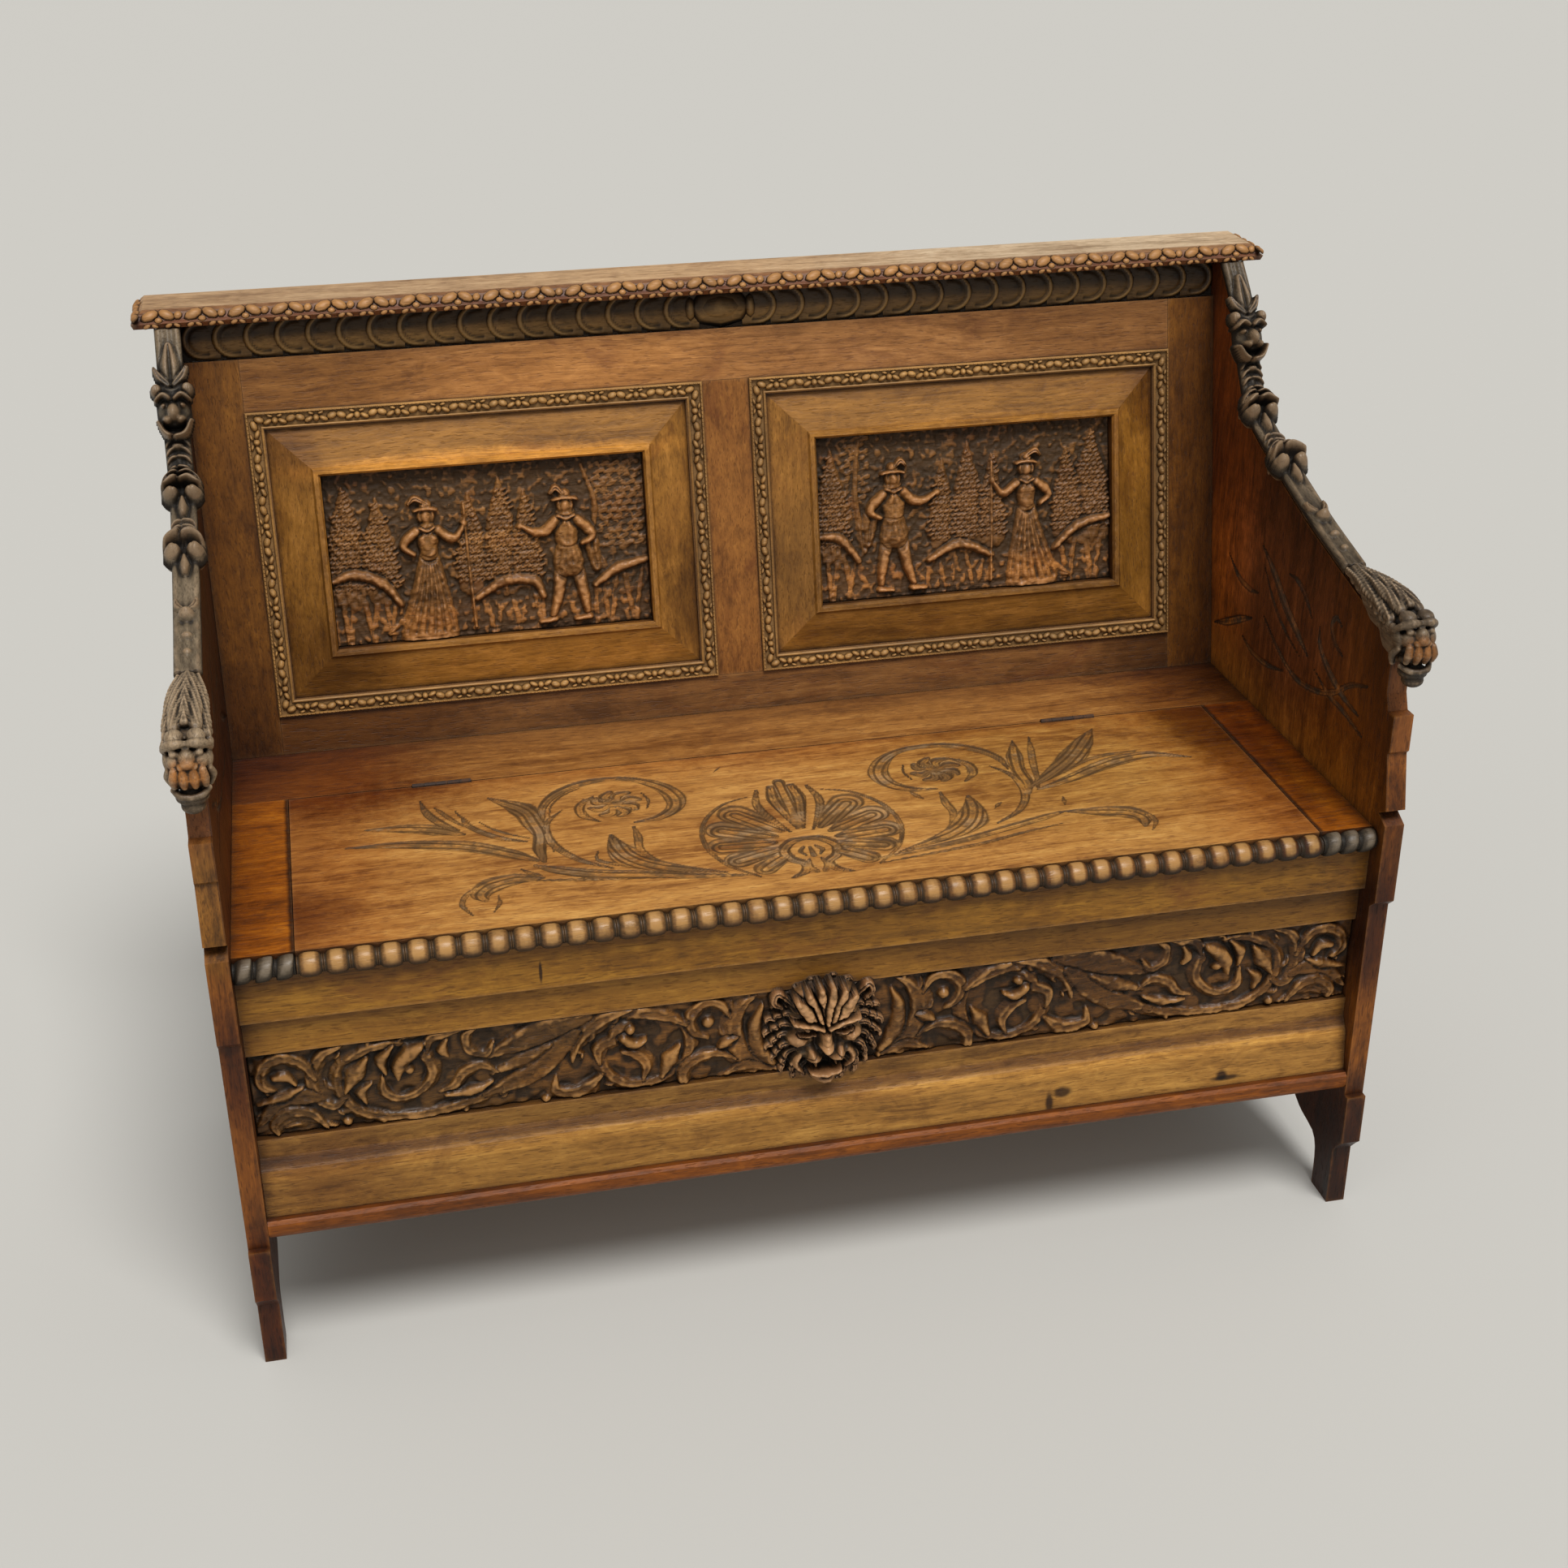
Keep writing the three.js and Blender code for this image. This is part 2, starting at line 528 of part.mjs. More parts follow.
// A row of turned beads, flat behind and above, where it lies against the lid's edge.
function beads(x0, x1, count) {
  const pitch = (x1 - x0) / count;
  const at = (radius, x) => new THREE.Vector2(radius * BEAD_RADIUS, x * pitch);
  const profile = [at(0, 0)];
  for (let i = 0; i < count; i++)
    profile.push(at(GROOVE_SHARE, i), at(1, i + SHOULDER_SHARE), at(1, i + 1 - SHOULDER_SHARE));
  profile.push(at(GROOVE_SHARE, count), at(0, count));
  const row = new THREE.LatheGeometry(profile, BEAD_SIDES).rotateZ(-Math.PI / 2);
  const y = LID_FRONT - GAP - BEAD_BACK;
  row.translate(x0, y, SEAT_HEIGHT - BEAD_RADIUS);
  const low = SEAT_HEIGHT - 2 * BEAD_RADIUS;
  const room = block(x0, x1, y - 2 * BEAD_RADIUS, y + BEAD_BACK, low, SEAT_HEIGHT);
  return common(join(row, block(x0, x1, y, y + BEAD_BACK, low, SEAT_HEIGHT)), room);
}

// Hinges: two butt hinges let into the edges of the lid and of the strip behind it.
const KNUCKLES = 5;
const HINGE_SIDES = 10;

// A cylinder along X at the pin.
function pinRound(x0, x1, radius) {
  const round = new THREE.CylinderGeometry(radius, radius, x1 - x0, HINGE_SIDES);
  return round.rotateZ(Math.PI / 2).translate((x0 + x1) / 2, PIN_Y, PIN_Z);
}

// The leaf on the lid (way -1) or on the strip (way 1): plate, knuckles and screw holes.
function hingeLeaf(x, way) {
  const face = PIN_Y + way * GAP;
  const [y0, y1] = way < 0 ? [face - LEAF, face] : [face, face + LEAF];
  const clear = PIN_Z - KNUCKLE_RADIUS - GAP;
  const start = x - HINGE_LENGTH / 2;
  const pitch = HINGE_LENGTH / KNUCKLES;
  const parts = [block(start, start + HINGE_LENGTH, y0, y1, PIN_Z - LEAF_HEIGHT, clear)];
  for (let i = way < 0 ? 1 : 0; i < KNUCKLES; i += 2) {
    const [x0, x1] = [start + i * pitch + GAP / 2, start + (i + 1) * pitch - GAP / 2];
    parts.push(block(x0, x1, y0, y1, clear - OVERRUN / 2, PIN_Z));
    parts.push(pinRound(x0, x1, KNUCKLE_RADIUS));
  }
  const bore = pinRound(start - OVERRUN, start + HINGE_LENGTH + OVERRUN, PIN_RADIUS + GAP);
  return cut(join(...parts), bore, ...screwPlaces(x).map((at) => screw(at, way, GAP)));
}

const screwPlaces = (x) => [x - SCREW_SPACING / 2, x + SCREW_SPACING / 2];

// A countersunk screw that runs away from the pin, or with room round it, the hole for one.
function screw(x, way, room) {
  const profile = [
    [0, -room], [SCREW_HEAD + room, -room], [SCREW_HEAD + room, GAP], [SCREW_RADIUS + room,
      SCREW_HEAD_DEPTH], [SCREW_RADIUS + room, SCREW_LENGTH - SCREW_HEAD],
    [0, SCREW_LENGTH + room],
  ].map(([r, a]) => new THREE.Vector2(r, a));
  const turned = new THREE.LatheGeometry(profile, HINGE_SIDES);
  const middle = PIN_Z - LEAF_HEIGHT / 2 - KNUCKLE_RADIUS / 2;
  return turned.rotateX(way < 0 ? Math.PI : 0).translate(x, PIN_Y + way * GAP, middle);
}

// What the hinges take out of the lid (way -1) or the strip (way 1).
function hingeRoom(way) {
  const rooms = [];
  for (const [, side] of SIDES) {
    const x = side * HINGE_X;
    const half = HINGE_LENGTH / 2 + GAP;
    const deep = PIN_Y + way * (LEAF + 2 * GAP);
    const [y0, y1] = way < 0 ? [deep, PIN_Y] : [PIN_Y, deep];
    rooms.push(block(x - half, x + half, y0, y1, PIN_Z - LEAF_HEIGHT - GAP, TOP_HEIGHT));
    const round = PIN_Y + way * (KNUCKLE_RADIUS + 2 * GAP);
    const [r0, r1] = way < 0 ? [round, PIN_Y] : [PIN_Y, round];
    const low = PIN_Z - KNUCKLE_RADIUS - 2 * GAP;
    rooms.push(block(x - half, x + half, r0, r1, low, TOP_HEIGHT));
    for (const at of screwPlaces(x)) rooms.push(screw(at, way, GAP));
  }
  return rooms;
}

function hinges() {
  for (const [word, side] of SIDES) {
    const x = side * HINGE_X;
    const half = HINGE_LENGTH / 2;
    add(word + "_hinge_pin", pinRound(x - half, x + half, PIN_RADIUS), IRON);
    for (const [carrier, way] of [["lid", -1], ["strip", 1]]) {
      add(word + "_hinge_" + carrier + "_leaf", hingeLeaf(x, way), IRON);
      screwPlaces(x).forEach((at, i) =>
        add([word, "hinge", carrier, "screw", i + 1].join("_"), screw(at, way, 0), IRON));
    }
  }
}

// Front: top rail, board with the sunk frieze and the wave below it, and bottom moulding.
const WAVE_STEPS = 10;

function boxFront() {
  const half = HALF - GAP;
  const back = BAND_FACE + FRONT_BOARD;
  add("front_top_rail", block(-half, half, RAIL_FACE, back, RAIL_BOTTOM, LID_UNDER - GAP), OAK);
  const recess = BAND_FACE + FRIEZE_DEPTH + FRIEZE_PANEL + GAP;
  const low = APRON_TOP + GAP;
  const wave = smooth([
    [BAND_FACE, WAVE_TOP], [(BAND_FACE + WAVE_CREST) / 2, (WAVE_TOP + WAVE_CREST_Z) / 2],
    [WAVE_CREST, WAVE_CREST_Z], [(WAVE_CREST + APRON_FACE) / 2, (WAVE_CREST_Z + low) / 2],
    [APRON_FACE, low],
  ], WAVE_STEPS);
  const section = [
    [back, RAIL_BOTTOM - GAP], [BAND_FACE, RAIL_BOTTOM - GAP], [BAND_FACE, FRIEZE_TOP],
    [recess, FRIEZE_TOP], [recess, FRIEZE_BOTTOM], [BAND_FACE, FRIEZE_BOTTOM], ...wave,
    [back, low],
  ];
  add("front_board", alongX(section, -half, half), OAK);
  add("front_bottom_moulding", alongX(apronOutline(back), -half, half), RED_OAK);
}

const APRON_STEPS = 5;

// A rounded moulding: a quarter round under a short flat face and a small chamfer.
function apronOutline(back) {
  const height = APRON_TOP - APRON_BOTTOM;
  const points = [[back, APRON_BOTTOM]];
  for (let i = 0; i <= APRON_STEPS; i++) {
    const a = (Math.PI / 2) * (i / APRON_STEPS);
    points.push([APRON_FACE * (1 - Math.sin(a)), APRON_BOTTOM + height / 2 * (1 - Math.cos(a))]);
  }
  return [...points, [0, APRON_TOP - height / 6], [APRON_FACE / 3, APRON_TOP], [back, APRON_TOP]];
}

// Carved frieze: an undulating stem with spirals and leaves on a sunk ground, in shares of
// half the bench's inner width and half the frieze's height.
const STEM_SHARES = [
  [0.13, 0.35], [0.2, -0.1], [0.3, -0.55], [0.42, -0.3], [0.5, 0.35], [0.6, 0.45], [0.7, 0],
  [0.78, -0.5], [0.88, -0.4], [0.97, 0.1],
];
const SPIRALS_SHARES = [[0.345, 0.1, 0.62, 1], [0.72, 0.1, 0.66, -1]];
const LEAVES_SHARES = [
  [0.17, 0.1, 0.62, 1.2], [0.24, 0.1, 0.5, -0.7], [0.47, -0.3, 0.7, 0.5], [0.55, 0.1, 0.6, 1.9],
  [0.86, 0.05, 0.7, -0.9], [0.93, -0.2, 0.6, 0.6],
];
const LEAF_STEPS = 5;
const LEAF_STEM_SHARE = 0.08;
const LEAF_WIDTH_SHARE = 0.4;
const STEM_STEPS = 26;
const SPIRAL_STEPS = 24;
const SPIRAL_TURNS = 1.5;
const SPIRAL_EYE_SHARE = 0.28;
// Depths in shares of the carving's depth.
const STEM_DEPTH_SHARE = 0.7;
const LEAF_DEPTH_SHARE = 0.85;

// A band of varying width along points (x, z).
function ribbon(points, width) {
  const [left, right] = [[], []];
  points.forEach(([x, z], i) => {
    const [xa, za] = points[Math.max(i - 1, 0)];
    const [xb, zb] = points[Math.min(i + 1, points.length - 1)];
    const half = width(i / (points.length - 1)) / 2 / Math.hypot(xb - xa, zb - za);
    left.push([x - (zb - za) * half, z + (xb - xa) * half]);
    right.push([x + (zb - za) * half, z - (xb - xa) * half]);
  });
  return [...left, ...right.reverse()];
}

function spiral(x, z, radius, way, side) {
  const points = [];
  for (let i = 0; i <= SPIRAL_STEPS; i++) {
    const t = i / SPIRAL_STEPS;
    const r = radius * (1 - (1 - SPIRAL_EYE_SHARE) * t);
    const a = way * (Math.PI / 2 - 2 * Math.PI * SPIRAL_TURNS * t);
    points.push([x + side * r * Math.cos(a), z + r * Math.sin(a)]);
  }
  return ribbon(points, (t) => STEM_WIDTH * (1 - t / 2));
}

function leaf(x, z, length, angle, side) {
  const points = [];
  for (let i = 0; i <= LEAF_STEPS; i++) {
    const reach = length * i / LEAF_STEPS;
    points.push([x + side * reach * Math.cos(angle), z + reach * Math.sin(angle)]);
  }
  const width = (t) => LEAF_STEM_SHARE + LEAF_WIDTH_SHARE * Math.sin(Math.PI * t);
  return ribbon(points, (t) => length * width(t));
}

function carvedFrieze(word, side) {
  const half = FRIEZE / 2;
  const place = ([a, b]) => [side * a * HALF, FRIEZE_MIDDLE + b * half];
  const ground = BAND_FACE + FRIEZE_DEPTH;
  const face = ground - CARVING_DEPTH;
  const back = ground + FRIEZE_PANEL;
  const inside = ground + FRIEZE_PANEL / 2;
  const panel = block(...span(side, GAP, HALF - GAP), ground, back, FRIEZE_BOTTOM + GAP,
    FRIEZE_TOP - GAP);
  const stem = ribbon(smooth(STEM_SHARES.map(place), STEM_STEPS), () => STEM_WIDTH);
  const parts = [alongY(stem, ground - STEM_DEPTH_SHARE * CARVING_DEPTH, inside)];
  for (const [a, b, radius, way] of SPIRALS_SHARES)
    parts.push(alongY(spiral(...place([a, b]), radius * half, way, side), face, inside));
  for (const [a, b, length, angle] of LEAVES_SHARES)
    parts.push(alongY(leaf(...place([a, b]), length * half, angle, side),
      ground - LEAF_DEPTH_SHARE * CARVING_DEPTH, inside));
  add(word + "_carved_frieze", join(panel, ...parts), GREY_OAK);
}

// Lion mask: mane lobes round a face of domed forms, each [across, up, width, depth, height].
const MANE_LOBES = 11;
const MANE_REACH_SHARE = 0.68;
const MANE_SIZE_SHARE = 0.32;
const FACE_SHARES = [
  [0, 0.1, 0.62, 0.66, 0.62], [0, -0.28, 0.36, 0.95, 0.3], [0.2, -0.34, 0.22, 0.86, 0.2],
  [-0.2, -0.34, 0.22, 0.86, 0.2], [0, -0.66, 0.24, 0.72, 0.22], [0.3, 0.32, 0.24, 0.72, 0.14],
  [-0.3, 0.32, 0.24, 0.72, 0.14], [0, 0.06, 0.13, 0.92, 0.42], [0.56, 0.56, 0.2, 0.5, 0.22],
  [-0.56, 0.56, 0.2, 0.5, 0.22],
];

function lionMask() {
  const ground = BAND_FACE + FRIEZE_DEPTH;
  const [w, h] = [MASK_HALF_WIDTH, MASK_HALF_HEIGHT];
  const form = (x, z, rx, ry, rz) =>
    ball(MASK_X + x * w, ground, FRIEZE_MIDDLE + z * h, rx * w, ry * MASK_DEPTH, rz * h);
  const parts = FACE_SHARES.map((shares) => form(...shares));
  for (let i = 0; i < MANE_LOBES; i++) {
    const a = Math.PI / 2 + 2 * Math.PI * (i + 1 / 2) / MANE_LOBES;
    parts.push(form(MANE_REACH_SHARE * Math.cos(a), MANE_REACH_SHARE * Math.sin(a),
      MANE_SIZE_SHARE, 1 / 2, MANE_SIZE_SHARE));
  }
  const [x0, x1] = [MASK_X - 2 * w, MASK_X + 2 * w];
  const [z0, z1] = [FRIEZE_MIDDLE - 2 * h, FRIEZE_MIDDLE + 2 * h];
  const far = BACK_EDGE;
  const rooms = [
    block(x0, x1, ground - GAP, far, z0, z1),
    block(x0, x1, BAND_FACE - GAP, far, FRIEZE_TOP - GAP, z1),
    block(x0, x1, BAND_FACE - GAP, far, z0, FRIEZE_BOTTOM + GAP),
  ];
  add("lion_mask", cut(join(...parts), ...rooms), GREY_OAK);
}

// Box: floor, back board, cleats under the floor and bearers under the seat's ends.
function box() {
  const half = HALF - GAP;
  const front = BAND_FACE + FRONT_BOARD + GAP;
  const back = BACK_EDGE - BACK_BOARD - GAP;
  const low = FLOOR_Z - GAP - CLEAT;
  const wood = (name, ...limits) => add(name, block(...limits), PLAIN_OAK);
  wood("box_floor", -half, half, front, back, FLOOR_Z, FLOOR_Z + FLOOR_BOARD);
  wood("box_back_board", -half, half, back + GAP, BACK_EDGE, low, LID_UNDER - GAP);
  const inner = HALF - CLEAT - 2 * GAP;
  wood("front_floor_cleat", -inner, inner, front, front + CLEAT, low, FLOOR_Z - GAP);
  wood("back_floor_cleat", -inner, inner, back - CLEAT, back, low, FLOOR_Z - GAP);
  for (const [word, side] of SIDES) {
    const cleat = span(side, HALF - CLEAT - GAP, half);
    wood(word + "_floor_cleat", ...cleat, front, back, low, FLOOR_Z - GAP);
    const bearer = span(side, HALF - BEARER_WIDTH, half);
    wood(word + "_seat_bearer", ...bearer, front, back, LID_UNDER - GAP - BEARER, LID_UNDER - GAP);
  }
}

// Carved strip on the arm's sloping edge, with two knots of fruit, a drop and a bead.
const KNOTS_AT_SHARES = [0.547, 0.378];
const DROPS_AT_SHARES = [0.315, 0.188];
const MASK_AT_SHARE = 0.81;

// A rounded form on the carved edge, at a share of its length, its middle raised by out.
function onArm(share, x, out, width, length, rise) {
  const curve = armSpline();
  const p = curve.getPointAt(share);
  const t = curve.getTangentAt(share);
  const turn = Math.atan2(t.y, t.x);
  return ball(x, p.x - t.y * out, p.y + t.x * out, width / 2, length / 2, rise, turn);
}

// Everything below a line at a depth under the carved edge.
function underArm(x, depth) {
  const curve = armCurve(depth);
  const far = TOP_BACK_Y + OVERRUN;
  const section = [...curve, [far, TOP_UNDER - GAP], [far, SEAT_HEIGHT], [curve[0][0], SEAT_HEIGHT]];
  return alongX(section, x - HEAD_WIDTH, x + HEAD_WIDTH);
}

function armStrip(word, side) {
  const x = side * BOARD_X;
  const half = STRIP_WIDTH / 2;
  const strip = alongX([...armCurve(STRIP), ...armCurve(0).reverse()], x - half, x + half);
  const parts = [];
  for (const share of KNOTS_AT_SHARES)
    for (const way of [-1, 1])
      parts.push(onArm(share, x + way * KNOT_WIDTH / 4, 0, KNOT_WIDTH / 2, KNOT_LENGTH, KNOT_RISE));
  for (const share of DROPS_AT_SHARES)
    parts.push(onArm(share, x, 0, DROP_WIDTH, DROP_LENGTH, DROP_WIDTH / 2));
  const carved = cut(join(...parts), underArm(x, STRIP / 2));
  add(word + "_arm_strip", join(strip, carved), DARK_OAK);
}

// Small animal mask above the knots: skull, snout, cheeks and ears.
const ARM_MASK_SHARES = [
  [0, 0, 0, 0.9, 1, 0.8], [0, -0.22, 0.35, 0.5, 0.42, 0.65], [0.3, 0.02, 0.1, 0.4, 0.5, 0.7],
  [-0.3, 0.02, 0.1, 0.4, 0.5, 0.7], [0.34, 0.36, 0, 0.3, 0.3, 0.62], [-0.34, 0.36, 0, 0.3, 0.3, 0.62],
];

function armMask(word, side) {
  const length = armSpline().getLength();
  const x = side * BOARD_X;
  const parts = ARM_MASK_SHARES.map(([across, up, out, w, l, rise]) =>
    onArm(MASK_AT_SHARE + up * ARM_MASK_LENGTH / length, x + across * ARM_MASK_WIDTH,
      out * ARM_MASK_RISE, w * ARM_MASK_WIDTH, l * ARM_MASK_LENGTH, rise * ARM_MASK_RISE));
  add(word + "_arm_mask", cut(join(...parts), underArm(x, -GAP)), DARK_OAK);
}

// Beast's head with its mane leaf at the front of the arm: rings of
// [share of the way back, half width share, bottom share, top share].
const HEAD_SHARES = [
  [0, 0.5, 0.25, 0.58], [0.06, 0.86, 0.03, 0.7], [0.14, 0.96, 0, 0.82], [0.26, 1, 0.06, 0.83],
  [0.4, 0.94, 0.28, 0.84], [0.6, 0.88, 0.44, 0.9], [0.8, 0.8, 0.56, 0.95], [0.93, 0.66, 0.64, 1],
  [1, 0.4, 0.74, 0.9],
];
const HEAD_POINTS = 10;

function armHead(word, side) {
  const x = side * BOARD_X;
  const length = ARM_CURVE_Y - GAP - HEAD_FRONT;
  const rings = HEAD_SHARES.map(([back, wide, low, high]) => {
    const y = HEAD_FRONT + back * length;
    const [z0, z1] = [HEAD_BOTTOM + low * HEAD_HEIGHT, HEAD_BOTTOM + high * HEAD_HEIGHT];
    return Array.from({ length: HEAD_POINTS }, (_, k) => {
      const a = -2 * Math.PI * (k + 1 / 2) / HEAD_POINTS;
      return [x + wide * HEAD_WIDTH / 2 * Math.cos(a), y, (z0 + z1) / 2 + (z1 - z0) / 2 * Math.sin(a)];
    });
  });
  const low = SEAT_HEIGHT;
  const start = armCurve(STRIP)[0];
  const neck = alongX([[NECK_HOLLOW - GAP, low], [NECK_HOLLOW - GAP, ARM_FRONT_Z + GAP], start,
    [start[0] + OVERRUN, start[1]], [start[0] + OVERRUN, low]], x - BOARD / 2 - GAP, x + BOARD / 2 + GAP);
  add(word + "_arm_head", cut(loft(rings), neck), DARK_OAK);
}

endBoards();
topBoard();
backFrame();
seat();
hinges();
boxFront();
lionMask();
box();
for (const [word, side] of SIDES) {
  fieldedPanel(word, side);
  carvedFrieze(word, side);
  armStrip(word, side);
  armMask(word, side);
  armHead(word, side);
}

export default root;
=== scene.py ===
"""Carved oak settle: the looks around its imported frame."""
import math

import bpy
import numpy as np
from mathutils import Matrix, Vector
from mathutils.geometry import tessellate_polygon


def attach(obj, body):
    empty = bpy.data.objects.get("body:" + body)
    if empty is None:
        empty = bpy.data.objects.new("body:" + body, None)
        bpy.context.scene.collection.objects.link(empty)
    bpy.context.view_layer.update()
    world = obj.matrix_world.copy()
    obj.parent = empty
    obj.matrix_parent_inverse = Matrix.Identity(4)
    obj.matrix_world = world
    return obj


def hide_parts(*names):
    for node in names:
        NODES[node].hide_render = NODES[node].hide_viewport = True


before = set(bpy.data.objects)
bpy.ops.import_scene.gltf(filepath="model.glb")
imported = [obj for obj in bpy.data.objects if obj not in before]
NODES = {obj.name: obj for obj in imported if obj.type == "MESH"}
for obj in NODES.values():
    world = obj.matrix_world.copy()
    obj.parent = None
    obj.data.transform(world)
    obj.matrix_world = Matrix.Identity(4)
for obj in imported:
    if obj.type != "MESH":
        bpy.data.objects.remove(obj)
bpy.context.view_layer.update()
SIDES = (("left", -1), ("right", 1))

# The bench's own axes, in mm: x from the middle, y back from the end boards' front edge, z up.
DEPTH_MIDDLE = 272.0
X_AXIS = np.array([1.0, 0, 0])
Y_AXIS = np.array([0, 1.0, 0])
Z_AXIS = np.array([0, 0, 1.0])


def metres(points):
    """Bench millimetres to the frame's metres."""
    return (np.asarray(points, float) - (0, DEPTH_MIDDLE, 0)) / 1000


def bench_mm(points):
    """The frame's metres to bench millimetres."""
    return points * 1000 + (0, DEPTH_MIDDLE, 0)


def read(items, key, size=3, kind=float):
    """A value of every vertex, edge or triangle, a row for each."""
    out = np.zeros(size * len(items), kind)
    items.foreach_get(key, out)
    return out.reshape(-1, size)


def box_of(node):
    """A CAD node's lowest and highest corner, in bench mm."""
    corners = bench_mm(read(NODES[node].data.vertices, "co"))
    return corners.min(0).round(1), corners.max(0).round(1)


# Sizes and places in mm, as the frame's solids have them.
(HALF, _, _), (BOARD_OUT, _, _) = box_of("right_end_board")
BOARD_X = (HALF + BOARD_OUT) / 2
_, (LID_HALF, _, SEAT) = box_of("seat_lid")
(_, TOP_FRONT_Y, TOP_UNDER), (TOP_TIP_X, _, _) = box_of("top_board")
(PANEL_IN, _, _), (PANEL_OUT, _, _) = box_of("right_bevel_frame")
PANEL_X = (PANEL_IN + PANEL_OUT) / 2
_, (_, _, ARM_TOP) = box_of("right_arm_strip")
(_, _, FRIEZE_LOW), (_, _, FRIEZE_HIGH) = box_of("right_carved_frieze")
FRIEZE_MIDDLE = (FRIEZE_LOW + FRIEZE_HIGH) / 2

# Room between two boards that meet.
JOINT = 0.3

# The backrest leans back from the seat: its foot, its lean and the directions up it and out of it.
SEAT_DEPTH = 437.0
LEAN = 0.192
SLOPE = math.hypot(1, LEAN)
UP_BACK = np.array([0, LEAN, 1]) / SLOPE
OUT_BACK = np.array([0, -1, LEAN]) / SLOPE


def placed(name, data):
    """A new object in the scene."""
    made = bpy.data.objects.new(name, data)
    bpy.context.scene.collection.objects.link(made)
    return made


def set_values(mesh, values):
    """Named values on a mesh's points."""
    for key, value in values.items():
        made = mesh.attributes.new(key, "FLOAT", "POINT")
        made.data.foreach_set("value", value.astype(np.float32))


def evaluated(piece):
    """A piece as a plain mesh, with what its modifiers do to it."""
    depsgraph = bpy.context.evaluated_depsgraph_get()
    return bpy.data.meshes.new_from_object(piece.evaluated_get(depsgraph))


def mesh_piece(name, points, quads=(), triangles=(), values=None, smooth=True):
    """An object with its place in its mesh, from points in bench mm."""
    quads = np.asarray(quads, np.int32).reshape(-1, 4)
    triangles = np.asarray(triangles, np.int32).reshape(-1, 3)
    mesh = bpy.data.meshes.new(name)
    mesh.vertices.add(len(points))
    mesh.vertices.foreach_set("co", metres(points).astype(np.float32).ravel())
    corners = np.concatenate([quads.ravel(), triangles.ravel()])
    mesh.loops.add(len(corners))
    mesh.loops.foreach_set("vertex_index", corners)
    fours = 4 * np.arange(len(quads))
    threes = 4 * len(quads) + 3 * np.arange(len(triangles))
    starts = np.concatenate([fours, threes]).astype(np.int32)
    mesh.polygons.add(len(starts))
    mesh.polygons.foreach_set("loop_start", starts)
    mesh.polygons.foreach_set("use_smooth", np.full(len(starts), smooth))
    set_values(mesh, values or {})
    mesh.update(calc_edges=True)
    mesh.validate()
    return placed(name, mesh)


# The carver's tools.
def along_curve(points, steps=7):
    """A smooth line through points."""
    p = np.asarray(points, float)
    if len(p) == 2:
        return p[0] + np.linspace(0, 1, steps + 1)[:, None] * (p[1] - p[0])
    q = np.vstack([2 * p[0] - p[1], p, 2 * p[-1] - p[-2]])
    t = np.linspace(0, 1, steps, endpoint=False)[:, None]
    parts = []
    for a, b, c, d in zip(q, q[1:], q[2:], q[3:]):
        bend = (2 * a - 5 * b + 4 * c - d) * t**2 + (3 * b - a - 3 * c + d) * t**3
        parts.append((2 * b + (c - a) * t + bend) / 2)
    return np.vstack([*parts, p[-1:]])


def round_over(q):
    """A half round."""
    return np.sqrt(np.clip(1 - q * q, 0, 1))


def turned_over(q, side):
    """Rounder and higher on one side, with a fine ripple across."""
    return round_over(q) * (0.72 + 0.32 * side * q) * (0.87 + 0.13 * np.cos(7 * side * q + 1))


# Cross-sections of a stroke: q runs from 0 on its line to 1 at its edge, on either side.
SECTIONS = {
    "round": lambda q, side: round_over(q),
    "soft": lambda q, side: 1 - q * q,
    "vein": lambda q, side: round_over(q) * (1 - 0.5 * np.exp(-((q / 0.2) ** 2))),
    "dished": lambda q, side: round_over(q) * (0.45 + 0.55 * q**1.5),
    "turned": turned_over,
    "ridged": lambda q, side: (1 - q**4) * (0.8 + 0.2 * np.cos(3.4 * np.pi * q)),
}


def blurred(heights, cells):
    """Heights evened out over about so many cells either way."""
    n = max(1, int(cells))
    for axis in (0, 1):
        size = heights.shape[axis]
        for _ in range(2):
            first = np.repeat(heights.take([0], axis), n + 1, axis)
            last = np.repeat(heights.take([-1], axis), n, axis)
            total = np.cumsum(np.concatenate([first, heights, last], axis), axis)
            ahead = total.take(range(2 * n + 1, 2 * n + 1 + size), axis)
            heights = (ahead - total.take(range(size), axis)) / (2 * n + 1)
    return heights


